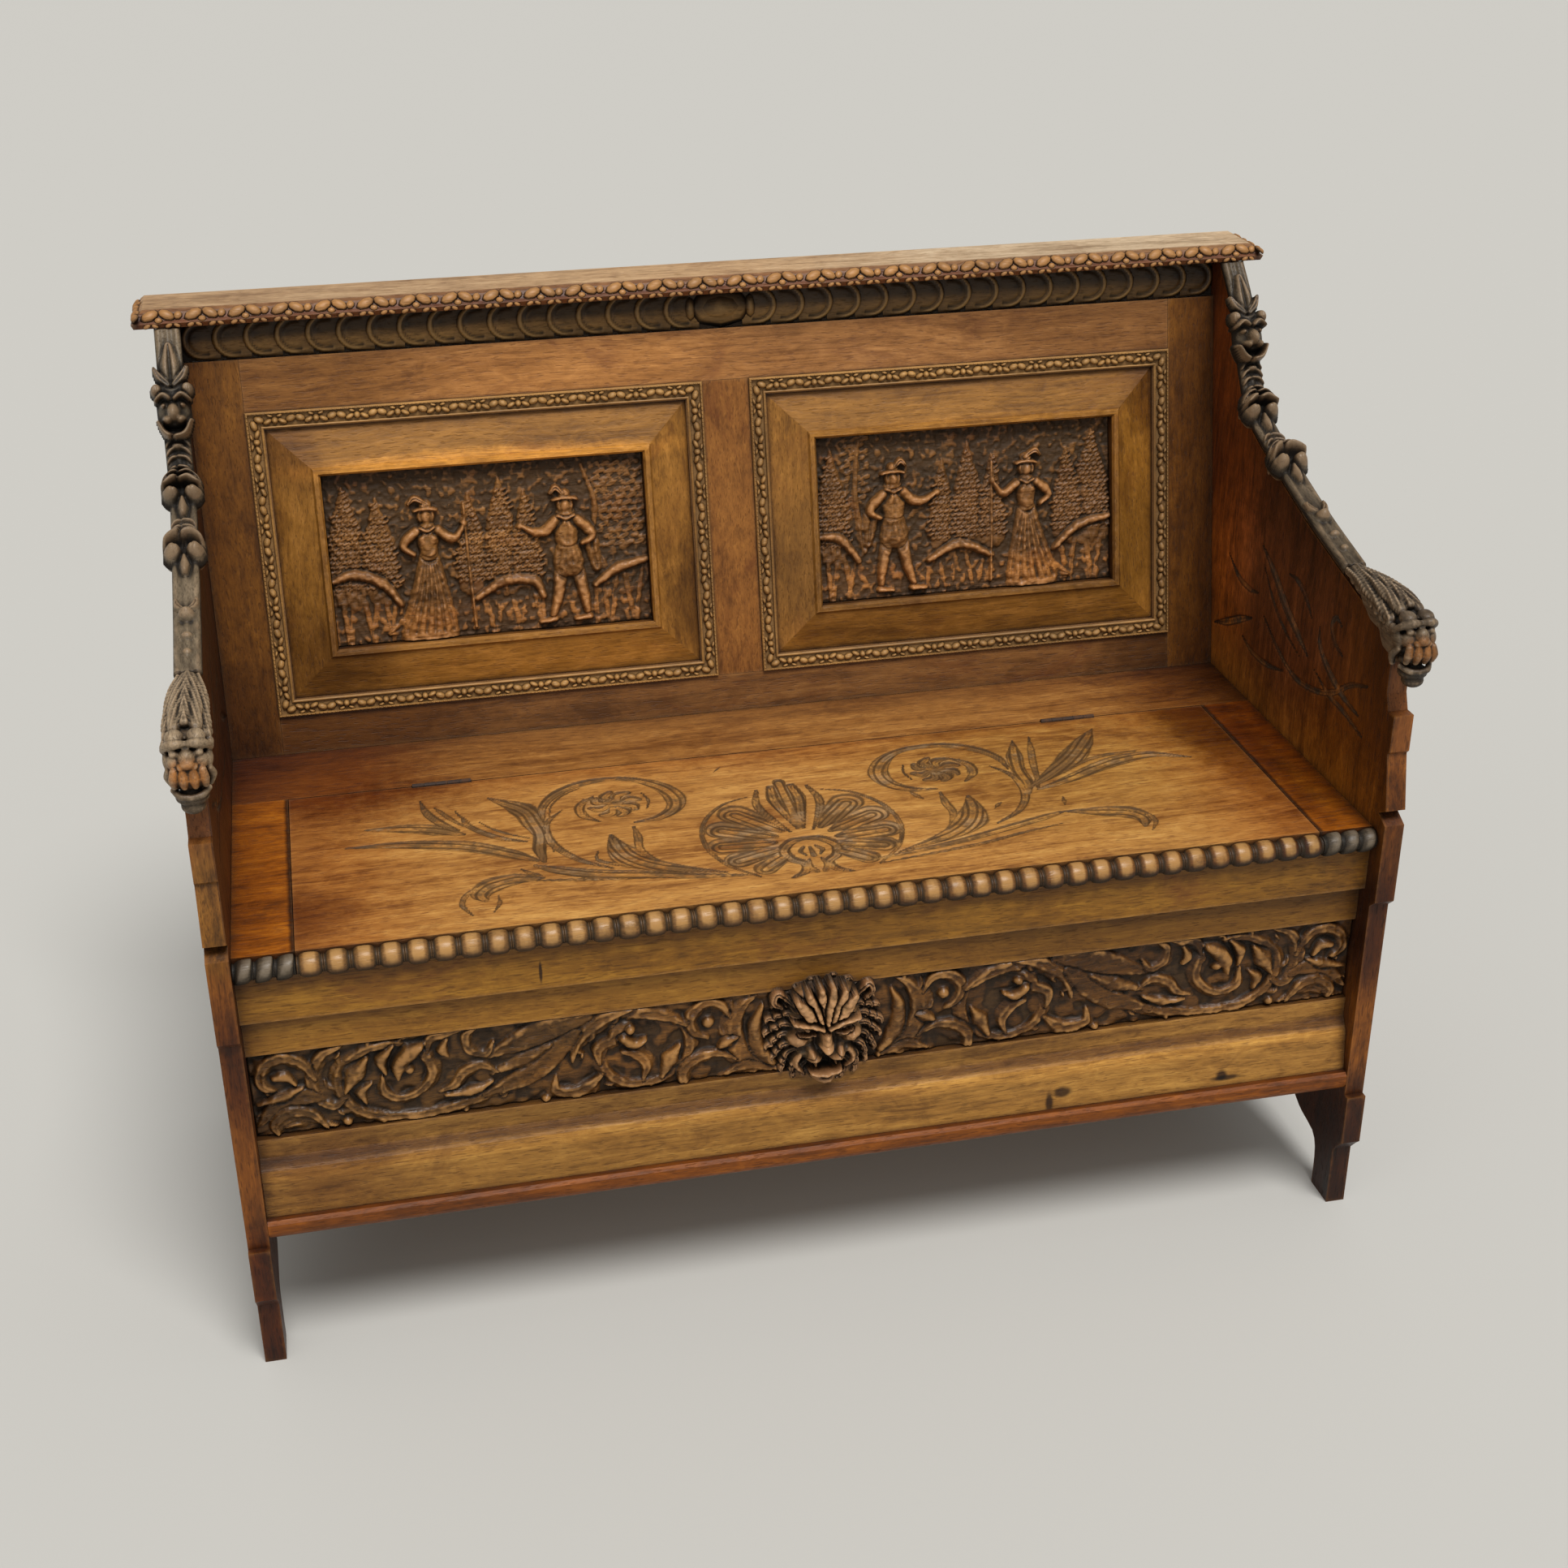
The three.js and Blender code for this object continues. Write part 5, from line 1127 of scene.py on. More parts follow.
class Bench:
    """Short calls to lay out a node tree."""

    def __init__(self, nodes, links):
        self.nodes, self.links = nodes, links

    def feed(self, node, inputs):
        """Each input's value, or the link that brings it."""
        for key, value in inputs.items():
            if isinstance(value, bpy.types.NodeSocket):
                self.links.new(value, node.inputs[key])
            else:
                node.inputs[key].default_value = value
        return node

    def add(self, kind, inputs=None, **settings):
        node = self.nodes.new(kind)
        for key, value in settings.items():
            setattr(node, key, value)
        return self.feed(node, inputs or {})

    def math(self, kind, a, b=0.0, clamp=False):
        return self.add("ShaderNodeMath", {0: a, 1: b}, operation=kind, use_clamp=clamp).outputs[0]

    def plus(self, a, b):
        return self.math("ADD", a, b)

    def minus(self, a, b, clamp=False):
        return self.math("SUBTRACT", a, b, clamp)

    def times(self, a, b, clamp=False):
        return self.math("MULTIPLY", a, b, clamp)

    def vector(self, kind, a, b=(0, 0, 0)):
        return self.add("ShaderNodeVectorMath", {0: a, 1: b}, operation=kind).outputs

    def noise(self, vector, stretch, detail=4.0, rough=0.6, distortion=0.0):
        """Noise with so many grains to a metre along each axis."""
        place = self.add("ShaderNodeMapping", {"Vector": vector, "Scale": stretch})
        return self.add("ShaderNodeTexNoise", {"Vector": place.outputs[0], "Scale": 1.0, "Detail": detail,
            "Roughness": rough, "Distortion": distortion}).outputs["Fac"]

    def ramp(self, value, low, high, out_low=0.0, out_high=1.0):
        return self.add("ShaderNodeMapRange", {"Value": value, "From Min": low, "From Max": high,
            "To Min": out_low, "To Max": out_high}, interpolation_type="SMOOTHSTEP").outputs[0]

    def mix(self, factor, a, b, blend="MIX"):
        inputs = {0: factor, 6: a, 7: b}
        return self.add("ShaderNodeMix", inputs, data_type="RGBA", blend_type=blend).outputs[2]


# Rows of carved units.
def row_tree():
    """Adds a straight row of copies of one carved unit to a piece."""
    made = bpy.data.node_groups.new("row of carved units", "GeometryNodeTree")
    kinds = {"Carrier": "Geometry", "Unit": "Object", "Count": "Int", "Start": "Vector", "Step": "Vector",
        "Turn": "Vector", "Scale": "Vector", "Finish": "Material"}
    sockets = {label: made.interface.new_socket(label, in_out="INPUT", socket_type="NodeSocket" + kind)
        for label, kind in kinds.items()}
    made.interface.new_socket("Piece", in_out="OUTPUT", socket_type="NodeSocketGeometry")
    b = Bench(made.nodes, made.links)
    given = b.add("NodeGroupInput").outputs
    line = b.add("GeometryNodeMeshLine",
        {"Count": given["Count"], "Start Location": given["Start"], "Offset": given["Step"]})
    unit = b.add("GeometryNodeObjectInfo", {"Object": given["Unit"]})
    copies = b.add("GeometryNodeInstanceOnPoints", {"Points": line.outputs["Mesh"],
        "Instance": unit.outputs["Geometry"], "Rotation": given["Turn"], "Scale": given["Scale"]})
    both = b.add("GeometryNodeJoinGeometry", {0: given["Carrier"]})
    b.feed(both, {0: copies.outputs["Instances"]})
    real = b.add("GeometryNodeRealizeInstances", {0: both.outputs[0]})
    finish = b.add("GeometryNodeSetMaterial", {"Geometry": real.outputs[0], "Material": given["Finish"]})
    b.add("NodeGroupOutput", {0: finish.outputs[0]})
    return made, {label: socket.identifier for label, socket in sockets.items()}


ROW_TREE, ROW_SOCKETS = row_tree()


def turned(along, up):
    """The turn that lays a unit's x along a row and its z outwards."""
    along, up = Vector(along).normalized(), Vector(up).normalized()
    across = up.cross(along)
    return Matrix((along, across, up)).transposed().to_euler()


def with_rows(name, carrier, rows, finish):
    """The carrier with every row of units made part of its mesh."""
    for unit, count, start, step, turn, scale in rows:
        row = carrier.modifiers.new("row", "NODES")
        row.node_group = ROW_TREE
        values = {"Unit": unit, "Count": count, "Start": tuple(metres(start)),
            "Step": tuple(np.array(step) / 1000), "Turn": tuple(turn), "Scale": scale, "Finish": finish}
        for label, value in values.items():
            row[ROW_SOCKETS[label]] = value
    mesh = evaluated(carrier)
    carrier.modifiers.clear()
    mesh.name = name
    carrier.data = mesh
    carrier.name = name
    mesh.materials.clear()
    mesh.materials.append(finish)
    return carrier


def unit_of(name, points, quads, triangles=(), values=None):
    """A carved unit about the origin, kept out of the scene."""
    points = np.asarray(points, float) + (0, DEPTH_MIDDLE, 0)
    unit = mesh_piece(name, points, quads, triangles, values)
    bpy.context.scene.collection.objects.unlink(unit)
    return unit


# A bead along its axis, in shares of pitch and radius, with the dirt and the wear there.
BEAD_SHAPE = [(-0.5, 0.66, 0.6, 0), (-0.465, 0.74, 0.35, 0.2), (-0.43, 0.64, 0.85, 0),
    (-0.385, 0.78, 0.6, 0), (-0.31, 0.92, 0.2, 0.2), (-0.18, 0.985, 0, 0.8), (0, 1.0, 0, 1),
    (0.18, 0.985, 0, 0.8), (0.31, 0.92, 0.2, 0.2), (0.385, 0.78, 0.6, 0), (0.43, 0.64, 0.85, 0),
    (0.465, 0.74, 0.35, 0.2), (0.5, 0.66, 0.6, 0)]


def turned_bead(pitch, radius, flat_back, lean=0.0):
    """A barrel bead with a collar either side, about the x axis, flat behind; lean twists it like a rope."""
    sides = 22
    angles = 2 * math.pi * (np.arange(sides) + 0.5) / sides
    points = [(a * pitch + lean * (1 - 4 * a * a) * math.sin(t) * r * radius, r * radius * math.cos(t),
        r * radius * math.sin(t)) for a, r, dirty, rubbed in BEAD_SHAPE for t in angles]
    n = len(points)
    quads, caps = ring_faces(np.arange(n).reshape(-1, sides), n, n + 1)
    points = np.array(points + [(-0.5 * pitch, 0, 0), (0.5 * pitch, 0, 0)])
    points[:, 1] = np.minimum(points[:, 1], flat_back)
    shade, light = (np.append(np.repeat([row[i] for row in BEAD_SHAPE], sides), [1, 1]) for i in (2, 3))
    # Painted shade on each bead's underside: more dirt colour there and no wear, so the top reads as lit.
    below = np.append(np.tile(np.clip(0.25 - np.sin(angles), 0, 1), len(BEAD_SHAPE)), [1, 1])
    shade, light = np.maximum(shade, 0.6 * below), light * (1 - 0.9 * below)
    return unit_of("turned bead", points, quads, caps, {"hollow": shade, "worn": light})


BEAD_RADIUS = 12.0
BEAD_Y = 8.2


def bead_row(name, node, x0, x1, count, finish, lean=0.0):
    pitch = (x1 - x0) / count
    bead = turned_bead(pitch, BEAD_RADIUS - 0.05, 5.5, lean)
    start = (x0 + pitch / 2, BEAD_Y, SEAT - BEAD_RADIUS)
    row = (bead, count, start, (pitch, 0, 0), (0, 0, 0), (1, 1, 1))
    piece = with_rows(name, placed(name, bpy.data.meshes.new(name)), [row], finish)
    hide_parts(node)
    return piece


# Moulding round each panel, in the backrest's plane.
PANEL_HALF_WIDTH = 242.0
PANEL_HALF_HEIGHT = 163.6
MOULDING = 17.7
LEAF_PITCH = 42.0


def framed(w, h, profile):
    """Corners and faces of a closed section carried round a rectangle, corners mitred."""
    signs = ((-1, -1), (1, -1), (1, 1), (-1, 1))
    points = [(sx * (w - d), sy * (h - d), z) for d, z in profile for sx, sy in signs]
    k = np.arange(len(points)).reshape(-1, 4)
    quads = []
    for i in range(len(profile)):
        a, b = k[i], k[(i + 1) % len(profile)]
        quads += [(a[j], a[(j + 1) % 4], b[(j + 1) % 4], b[j]) for j in range(4)]
    return np.array(points), quads


def dome_unit(domes, name):
    """Low domes side by side: each (x, y, length, width, height, turn)."""
    points, quads, hollow, worn, n = [], [], [], [], 0
    rings, sides = (1.0, 0.72, 0.36), 8
    triangles = []
    for x, y, length, width, height, turn in domes:
        c, s = math.cos(turn), math.sin(turn)
        for r in rings:
            for i in range(sides):
                a = 2 * math.pi * i / sides
                u, v = r * length / 2 * math.cos(a), r * width / 2 * math.sin(a)
                points.append((x + u * c - v * s, y + u * s + v * c, height * math.sqrt(max(0, 1 - r * r))))
                hollow.append(1.0 if r == 1 else 0.2)
                worn.append(0.0 if r == 1 else 1.0 - r)
        points.append((x, y, height))
        hollow.append(0)
        worn.append(1)
        k = n + np.arange(len(rings) * sides).reshape(-1, sides)
        nxt = np.roll(k, -1, axis=1)
        quads += np.stack([k[:-1], nxt[:-1], nxt[1:], k[1:]], -1).reshape(-1, 4).tolist()
        top = n + len(rings) * sides
        triangles += [(k[-1][i], nxt[-1][i], top) for i in range(sides)]
        triangles += [(k[0][0], k[0][i + 1], k[0][i]) for i in range(1, sides - 1)]
        n = top + 1
    values = {"hollow": np.array(hollow), "worn": np.array(worn)}
    return unit_of(name, points, quads, triangles, values)


def leaf_moulding(word, side, finish):
    centre = np.array([side * PANEL_X, SEAT_DEPTH, SEAT]) + PANEL_S * UP_BACK
    place = on_face(centre, X_AXIS, UP_BACK)
    profile = [(0, -2.7), (0, 3.2), (0.9, 4.2), (2.2, 4.2), (3.0, 1.2), (14.6, 0.8), (15.4, 3.2),
        (16.4, 3.6), (MOULDING, 2.4), (MOULDING, -2.7)]
    flat, quads = framed(PANEL_HALF_WIDTH, PANEL_HALF_HEIGHT, profile)
    hollow = np.repeat([1, 0.2, 0, 0, 0.8, 0.8, 0.3, 0, 0.4, 1], 4)
    worn = np.repeat([0, 0.2, 0.4, 0.3, 0, 0, 0.2, 0.3, 0, 0], 4)
    carrier = mesh_piece(word + "_panel_moulding", place(*flat.T), quads, (),
        {"hollow": hollow, "worn": worn}, smooth=False)
    flower = dome_unit([(0, -0.6, 8, 8.6, 6.4, 0), (-7.6, -1.6, 12, 6.2, 5.6, 0.45),
        (7.6, -1.6, 12, 6.2, 5.6, -0.45), (-16.2, 0.8, 13, 8.6, 5.2, -0.35),
        (16.2, 0.8, 13, 8.6, 5.2, 0.35), (-5, 4.4, 8, 3.8, 4.2, -0.3), (5, 4.4, 8, 3.8, 4.2, 0.3)],
        "leaf and bud")
    notch = dome_unit([(0, 0, 2.8, 2.0, 1.6, 0)], "milled notch")
    rows = []
    for way_u, way_v in ((0, 1), (0, -1), (1, 0), (-1, 0)):
        outward = way_u * X_AXIS + way_v * UP_BACK
        forward = np.cross(outward, OUT_BACK)
        half = PANEL_HALF_WIDTH if way_v else PANEL_HALF_HEIGHT
        reach = PANEL_HALF_HEIGHT if way_v else PANEL_HALF_WIDTH
        turn = turned(forward, OUT_BACK)
        for unit, inset, pitch, room, lift in ((flower, 8.8, LEAF_PITCH, 9, 0.6), (notch, 1.6, 4.3, 2, 3.4)):
            count = int((2 * half - 2 * room) / pitch)
            step = (2 * half - 2 * room) / count
            start = centre + outward * (reach - inset) - forward * (half - room - step / 2)
            start = start + OUT_BACK * lift
            rows.append((unit, count, start, forward * step, turn, (step / pitch, 1, 1)))
    piece = with_rows(word + "_panel_moulding", carrier, rows, finish)
    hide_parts(word + "_leaf_moulding")
    return piece


# The band of scales under the top board.
BAND_LOW = 425.0
BAND_HIGH = 468.0
BAND_GROUND = 7.0
SCALES_A_SIDE = 17
CARTOUCHE = 60.0


def scale_unit():
    """One overlapping scale, its round tip towards minus x."""
    half = (BAND_HIGH - BAND_LOW) / 2 - 0.4
    unit = Carving(-20, 20, -half, half, 2.0)
    from_tip = np.clip((4 - unit.U) / 23, 0, 1)
    inward = half * (1 - np.hypot(from_tip, np.abs(unit.V) / half))
    rise = np.clip(6.6 - 0.16 * (unit.U + 19), 1.0, 6.6)
    moat = np.exp(-((inward - 6.4) / 1.9) ** 2) * (unit.U < 9)
    unit.height = np.where(inward > 0, rise * np.clip(inward / 3.4, 0, 1) ** 0.5 - 2.4 * moat, 0)
    unit.height = np.clip(unit.height, 0, 6.6)
    cells = grid_quads(*unit.height.shape)
    raised = (unit.height.ravel()[cells] > 0.05).any(1)
    used, faces = np.unique(cells[raised], return_inverse=True)
    values = {key: v[used] for key, v in unit.patina(4, 1.6).items()}
    points = np.stack([unit.U.ravel(), unit.V.ravel(), unit.height.ravel()], 1)[used]
    return unit_of("scale", points, faces.reshape(-1, 4), values=values)


def scale_band(finish):
    origin = np.array([0, SEAT_DEPTH, SEAT])
    place = on_face(origin, X_AXIS, UP_BACK)
    half, middle = HALF - JOINT, (BAND_LOW + BAND_HIGH) / 2
    depths, lows = (-22, -BAND_GROUND), (BAND_LOW + JOINT, BAND_HIGH)
    box = [(u, v, h) for h in depths for v in lows for u in (-half, half)]
    faces = [(0, 2, 3, 1), (4, 5, 7, 6), (0, 1, 5, 4), (2, 6, 7, 3), (0, 4, 6, 2), (1, 3, 7, 5)]
    carrier = mesh_piece("scale_band", place(*np.array(box).T), faces, (),
        {"hollow": np.ones(8), "worn": np.zeros(8)}, smooth=False)
    unit = scale_unit()
    pitch = (half - CARTOUCHE / 2) / SCALES_A_SIDE
    rows = []
    for way in (-1, 1):
        start = origin + way * X_AXIS * (half - pitch / 2 - 2) + middle * UP_BACK
        start = start - (BAND_GROUND - 0.1) * OUT_BACK
        turn = turned(-way * X_AXIS, OUT_BACK)
        rows.append((unit, SCALES_A_SIDE, start, -way * pitch * X_AXIS, turn, (1, 1, 1)))
    oval = dome_unit([(0, 0, 76, 44, 5.6, 0), (0, 0, 54, 32, 6.9, 0), (-33, 0, 13, 30, 6.2, 0),
        (33, 0, 13, 30, 6.2, 0)], "oval boss")
    start = origin + middle * UP_BACK - BAND_GROUND * OUT_BACK
    rows.append((oval, 1, start, (1, 0, 0), turned(X_AXIS, OUT_BACK), (1, 1, 1)))
    piece = with_rows("scale_band", carrier, rows, finish)
    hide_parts("back_frieze")
    return piece


# Leaf-and-wave carving on the moulded edge of the top board.
EDGE_PITCH = 42.0


def edge_carving(finish):
    wave = dome_unit([(-10, 0, 21, 10.5, 4.4, 0.33), (6, 0.4, 19, 10, 4.6, -0.36),
        (17, -0.4, 10, 8, 3.6, 0.3), (-2, -4.4, 9, 6, 3.2, 0)], "edge leaf")
    tip = dome_unit([(-3, 0, 9, 5, 2.0, 0.4), (5, 0, 8, 4.4, 1.8, -0.4)], "edge leaf tip")
    rows = []
    count = int(2 * (TOP_TIP_X - 8) / EDGE_PITCH)
    step = 2 * (TOP_TIP_X - 8) / count
    slope = np.array([0, -6.0, 5.4])
    outward = slope / np.linalg.norm(slope)
    start = (-TOP_TIP_X + 8 + step / 2, TOP_FRONT_Y + 6.4, TOP_UNDER + 11.4)
    rows.append((wave, count, start, (step, 0, 0), turned(X_AXIS, outward), (step / EDGE_PITCH, 1.25, 0.9)))
    start = (-TOP_TIP_X + 8 + step / 4, TOP_FRONT_Y + 0.1, TOP_UNDER + 2.8)
    rows.append((tip, 2 * count, start, (step / 2, 0, 0), turned(X_AXIS, -Y_AXIS), (1, 1, 1)))
    depth = 84.0
    for way in (-1, 1):
        out = np.array([way * 6.0, 0, 5.4])
        start = (way * (TOP_TIP_X - 5.2), TOP_FRONT_Y + 14, TOP_UNDER + 10.2)
        rows.append((wave, 2, start, (0, depth / 2.2, 0), turned((0, -way * 1.0, 0), out), (1, 1, 1)))
    carrier = placed("top_edge_leaves", bpy.data.meshes.new("top_edge_leaves"))
    return with_rows("top_edge_leaves", carrier, rows, finish)


# Finishes.
def tint(r, g, b):
    """A colour as it looks on screen, 0 to 255, as linear light."""
    light = [c / 3294.6 if c <= 10.31 else ((c / 255 + 0.055) / 1.055) ** 2.4 for c in (r, g, b)]
    return (*light, 1.0)


def shader_group(name, build, inputs, outputs):
    """A node group whose sockets are given as names by kind."""
    made = bpy.data.node_groups.new(name, "ShaderNodeTree")
    for way, kinds in (("INPUT", inputs), ("OUTPUT", outputs)):
        for kind, labels in kinds:
            for label in labels:
                made.interface.new_socket(label, in_out=way, socket_type="NodeSocket" + kind)
    b = Bench(made.nodes, made.links)
    given = b.add("NodeGroupInput").outputs
    b.add("NodeGroupOutput", build(b, given))
    return made


def build_grain(b, given):
    """Oak seen along the board: growth lines, fibres, pores and old stains."""
    v = given["Vector"]
    sway = b.noise(v, (2.4, 7, 7), 2)
    bend = b.add("ShaderNodeCombineXYZ", {1: b.times(sway, 0.06), 2: b.times(sway, 0.05)}).outputs[0]
    bent = b.vector("ADD", v, bend)[0]
    streak = b.noise(bent, (3.4, 42, 42), 5, 0.68)
    lines = b.noise(bent, (11, 250, 250), 4, 0.68)
    fibre = b.noise(v, (55, 900, 900), 3, 0.6)
    pores = b.noise(v, (75, 620, 620), 1, 0.4)
    mottle = b.noise(v, (34, 62, 62), 4, 0.7, 0.8)
    patch = b.noise(v, (5, 10, 10), 3, 0.6, 0.4)
    stain = b.noise(v, (6, 12, 12), 5, 0.72, 1.2)
    value = b.plus(b.plus(b.times(streak, 0.42), b.times(lines, 0.3)), b.times(mottle, 0.28))
    tick = b.ramp(pores, 0.60, 0.69)
    colour = b.mix(b.ramp(value, 0.38, 0.52), given["Dark"], given["Middle"])
    for share, laid in (
        (b.ramp(value, 0.49, 0.63), "Light"),
        (b.times(b.ramp(patch, 0.42, 0.68), 0.3), "Light"),
        (b.times(tick, 0.55), "Dark"),
        (b.times(b.ramp(fibre, 0.45, 0.66), 0.34), "Dark"),
        (b.times(b.ramp(stain, 0.52, 0.68), given["Stained"]), "Stain"),
    ):
        colour = b.mix(share, colour, given[laid])
    height = b.plus(b.minus(b.times(lines, 0.6), b.times(tick, 0.5)), b.times(mottle, 1.2))
    shine = b.plus(b.times(mottle, 0.2), b.times(tick, 0.2))
    return {"Color": colour, "Height": height, "Dullness": shine}


# Spacing in mm of the fine lines that the gouge leaves.
FURROW = 6.2


def build_patina(b, given):
    """Old dirt in the hollows, and rubbed wood on the ridges."""

    def value_of(name):
        return b.add("ShaderNodeAttribute", attribute_name=name).outputs["Fac"]

    speck = b.noise(given["Vector"], (180, 180, 180), 3, 0.7)
    blotch = b.noise(given["Vector"], (46, 46, 46), 4, 0.65)
    chalk = b.noise(given["Vector"], (14, 24, 24), 4, 0.7)
    hollow = b.ramp(b.plus(value_of("hollow"), b.times(speck, 0.3)), 0.16, 0.95)
    hollow = b.times(hollow, given["Dirt"], True)
    worn = b.ramp(b.times(value_of("worn"), b.plus(b.times(blotch, 1.7), 0.05)), 0.25, 0.9)
    worn = b.times(worn, given["Wear"], True)
    cut_here = value_of("cut")
    cut = b.ramp(b.plus(cut_here, b.times(b.minus(speck, 0.5), 0.5)), 0.06, 0.7)
    cut = b.times(cut, given["Cut depth"], True)
    furrow = b.plus(b.times(value_of("across"), 2 * math.pi / FURROW), b.times(blotch, 3.0))
    furrow = b.ramp(b.math("COSINE", furrow), -0.5, 0.6)
    rim_line = b.minus(b.ramp(cut_here, 0.04, 0.3), b.ramp(cut_here, 0.55, 1.0))
    dark = b.math("MAXIMUM", b.times(furrow, 0.8), b.times(rim_line, 0.9))
    groove = b.mix(b.ramp(blotch, 0.42, 0.6), given["Cut colour"], given["Color"])
    groove = b.mix(b.times(b.ramp(chalk, 0.52, 0.64), 0.4), groove, given["Worn colour"])
    colour = b.mix(cut, given["Color"], b.mix(dark, groove, given["Dirt colour"]))
    colour = b.mix(worn, colour, given["Worn colour"])
    colour = b.mix(hollow, colour, given["Dirt colour"])
    return {"Color": colour, "Dirty": hollow, "Worn": worn}


def build_place_mask(b, given):
    """1 inside a soft, ragged oval of the bench, 0 outside it; a far reach makes it a band."""
    place = b.vector("SUBTRACT", given["Vector"], given["Middle"])[0]
    place = b.vector("DIVIDE", place, given["Reach"])[0]
    away = b.vector("LENGTH", place)["Value"]
    wobble = b.minus(b.noise(given["Vector"], (60, 60, 60), 5, 0.7), 0.5)
    away = b.plus(away, b.times(wobble, given["Ragged"]))
    return {"Mask": b.ramp(away, b.plus(1.0, given["Soft"]), b.minus(1.0, given["Soft"]))}


GRAIN = shader_group("oak grain", build_grain,
    (("Vector", ["Vector"]), ("Color", ["Light", "Middle", "Dark", "Stain"]), ("Float", ["Stained"])),
    (("Color", ["Color"]), ("Float", ["Height", "Dullness"])))
PATINA = shader_group("old polish and dirt", build_patina,
    (("Vector", ["Vector"]), ("Color", ["Color", "Dirt colour", "Worn colour", "Cut colour"]),
        ("Float", ["Dirt", "Wear", "Cut depth"])),
    (("Color", ["Color"]), ("Float", ["Dirty", "Worn"])))
PLACE_MASK = shader_group("stain and painted light place", build_place_mask,
    (("Vector", ["Vector", "Middle", "Reach"]), ("Float", ["Soft", "Ragged"])), (("Float", ["Mask"]),))
GRAIN_TURNS = {"x": (0, 0, 0), "y": (0, 0, math.pi / 2), "z": (0, math.pi / 2, 0)}
FAR = 9.0


def blank(name):
    """A new material, with its bench, its shader and the places on the piece."""
    made = bpy.data.materials.new(name)
    made.use_nodes = True
    b = Bench(made.node_tree.nodes, made.node_tree.links)
    return made, b, b.nodes["Principled BSDF"], b.add("ShaderNodeTexCoord").outputs["Object"]


def on_mitres(b, where, laid):
    """Grain that follows the four members of a bevel: upright in the two beside the scene."""
    upright = b.add("ShaderNodeMapping", {"Vector": where, "Rotation": GRAIN_TURNS["z"]}).outputs[0]
    place = b.add("ShaderNodeSeparateXYZ", {0: where}).outputs
    aside = b.math("ABSOLUTE", b.minus(b.math("ABSOLUTE", place[0]), PANEL_X / 1000))
    aside = b.minus(aside, (SCENE_HALF_WIDTH - SCENE_HALF_HEIGHT) / 1000)
    above = b.times(b.math("ABSOLUTE", b.minus(place[2], (SEAT + PANEL_S / SLOPE) / 1000)), SLOPE)
    return b.mix(b.math("GREATER_THAN", aside, above), laid, upright)


def stains_and_painted_light(b, where, colour, places):
    """A colour with stains and spots of painted light and shade on it: tint, share, softness, middle and
    reach.
    """
    for spot_tint, share, soft, middle, reach in places:
        inputs = {"Vector": where, "Soft": soft, "Ragged": 1.6 * soft, "Middle": middle, "Reach": reach}
        spot = b.add("ShaderNodeGroup", inputs, node_tree=PLACE_MASK)
        colour = b.mix(b.times(spot.outputs[0], share), colour, tint(*spot_tint), "MULTIPLY")
    return colour


def aged_and_shaded(b, where, colour, dirt, worn, grime_and_shade, edge):
    """Rubbed edges, a painted shade where pieces stand close, and painted shade with dirt in the crevices.
    """

    def open_to(reach, inside=False):
        inputs = {"Distance": reach}
        return b.add("ShaderNodeAmbientOcclusion", inputs, samples=6, inside=inside).outputs["AO"]

    speck = b.noise(where, (120, 120, 120), 4, 0.7)
    edges = b.ramp(b.plus(open_to(0.006, True), b.times(speck, 0.9)), 1.22, 0.75)
    colour = b.mix(b.times(edges, edge), colour, tint(*worn))
    # Painted shade, multiplied in wherever other surfaces stand within about 11 cm.
    broad = b.ramp(open_to(0.11), 0.95, 0.3)
    colour = b.mix(b.times(broad, grime_and_shade), colour, tint(128, 92, 62), "MULTIPLY")
    # Painted shade and dirt in the crevices, within about 14 mm, in the dirt colour.
    crevice = b.ramp(b.plus(open_to(0.014), b.times(speck, 0.35)), 1.02, 0.5)
    return b.mix(b.times(crevice, grime_and_shade), colour, tint(*dirt))


def oak(name, light, middle, dark, stain=(96, 48, 20), stained=0.45, along="x", shift=(0, 0, 0),
        dirt=(34, 22, 12), worn=(190, 150, 105), cut=(104, 82, 58), dirt_share=0.9, wear_share=0.6,
        cut_share=0.85, gloss=0.36, grime_and_shade=0.8, edge=0.1, places=(), mitred=False):
    """An old oak finish, its grain along an axis, with its own stains and spots of painted light and shade,
    and painted shade in its corners and crevices.
    """
    made, b, shader, where = blank(name)
    turn = {"Vector": where, "Rotation": GRAIN_TURNS[along], "Location": shift}
    laid = b.add("ShaderNodeMapping", turn).outputs[0]
    if mitred:
        laid = on_mitres(b, where, laid)
    grain = b.add("ShaderNodeGroup", {"Vector": laid, "Light": tint(*light), "Middle": tint(*middle),
        "Dark": tint(*dark), "Stain": tint(*stain), "Stained": stained}, node_tree=GRAIN).outputs
    patina = b.add("ShaderNodeGroup", {"Vector": where,
        "Color": stains_and_painted_light(b, where, grain["Color"], places), "Dirt colour": tint(*dirt),
        "Worn colour": tint(*worn), "Cut colour": tint(*cut), "Dirt": dirt_share, "Wear": wear_share,
        "Cut depth": cut_share}, node_tree=PATINA).outputs
    rough = b.plus(b.plus(grain["Dullness"], gloss), b.times(patina["Dirty"], 0.25))
    bump = b.add("ShaderNodeBump", {"Strength": 0.5, "Distance": 0.0008, "Height": grain["Height"]})
    b.feed(shader, {"Base Color": aged_and_shaded(b, where, patina["Color"], dirt, worn, grime_and_shade, edge),
        "Roughness": b.minus(rough, b.times(patina["Worn"], 0.12), True), "Normal": bump.outputs[0],
        "Specular IOR Level": 0.27})
    return made


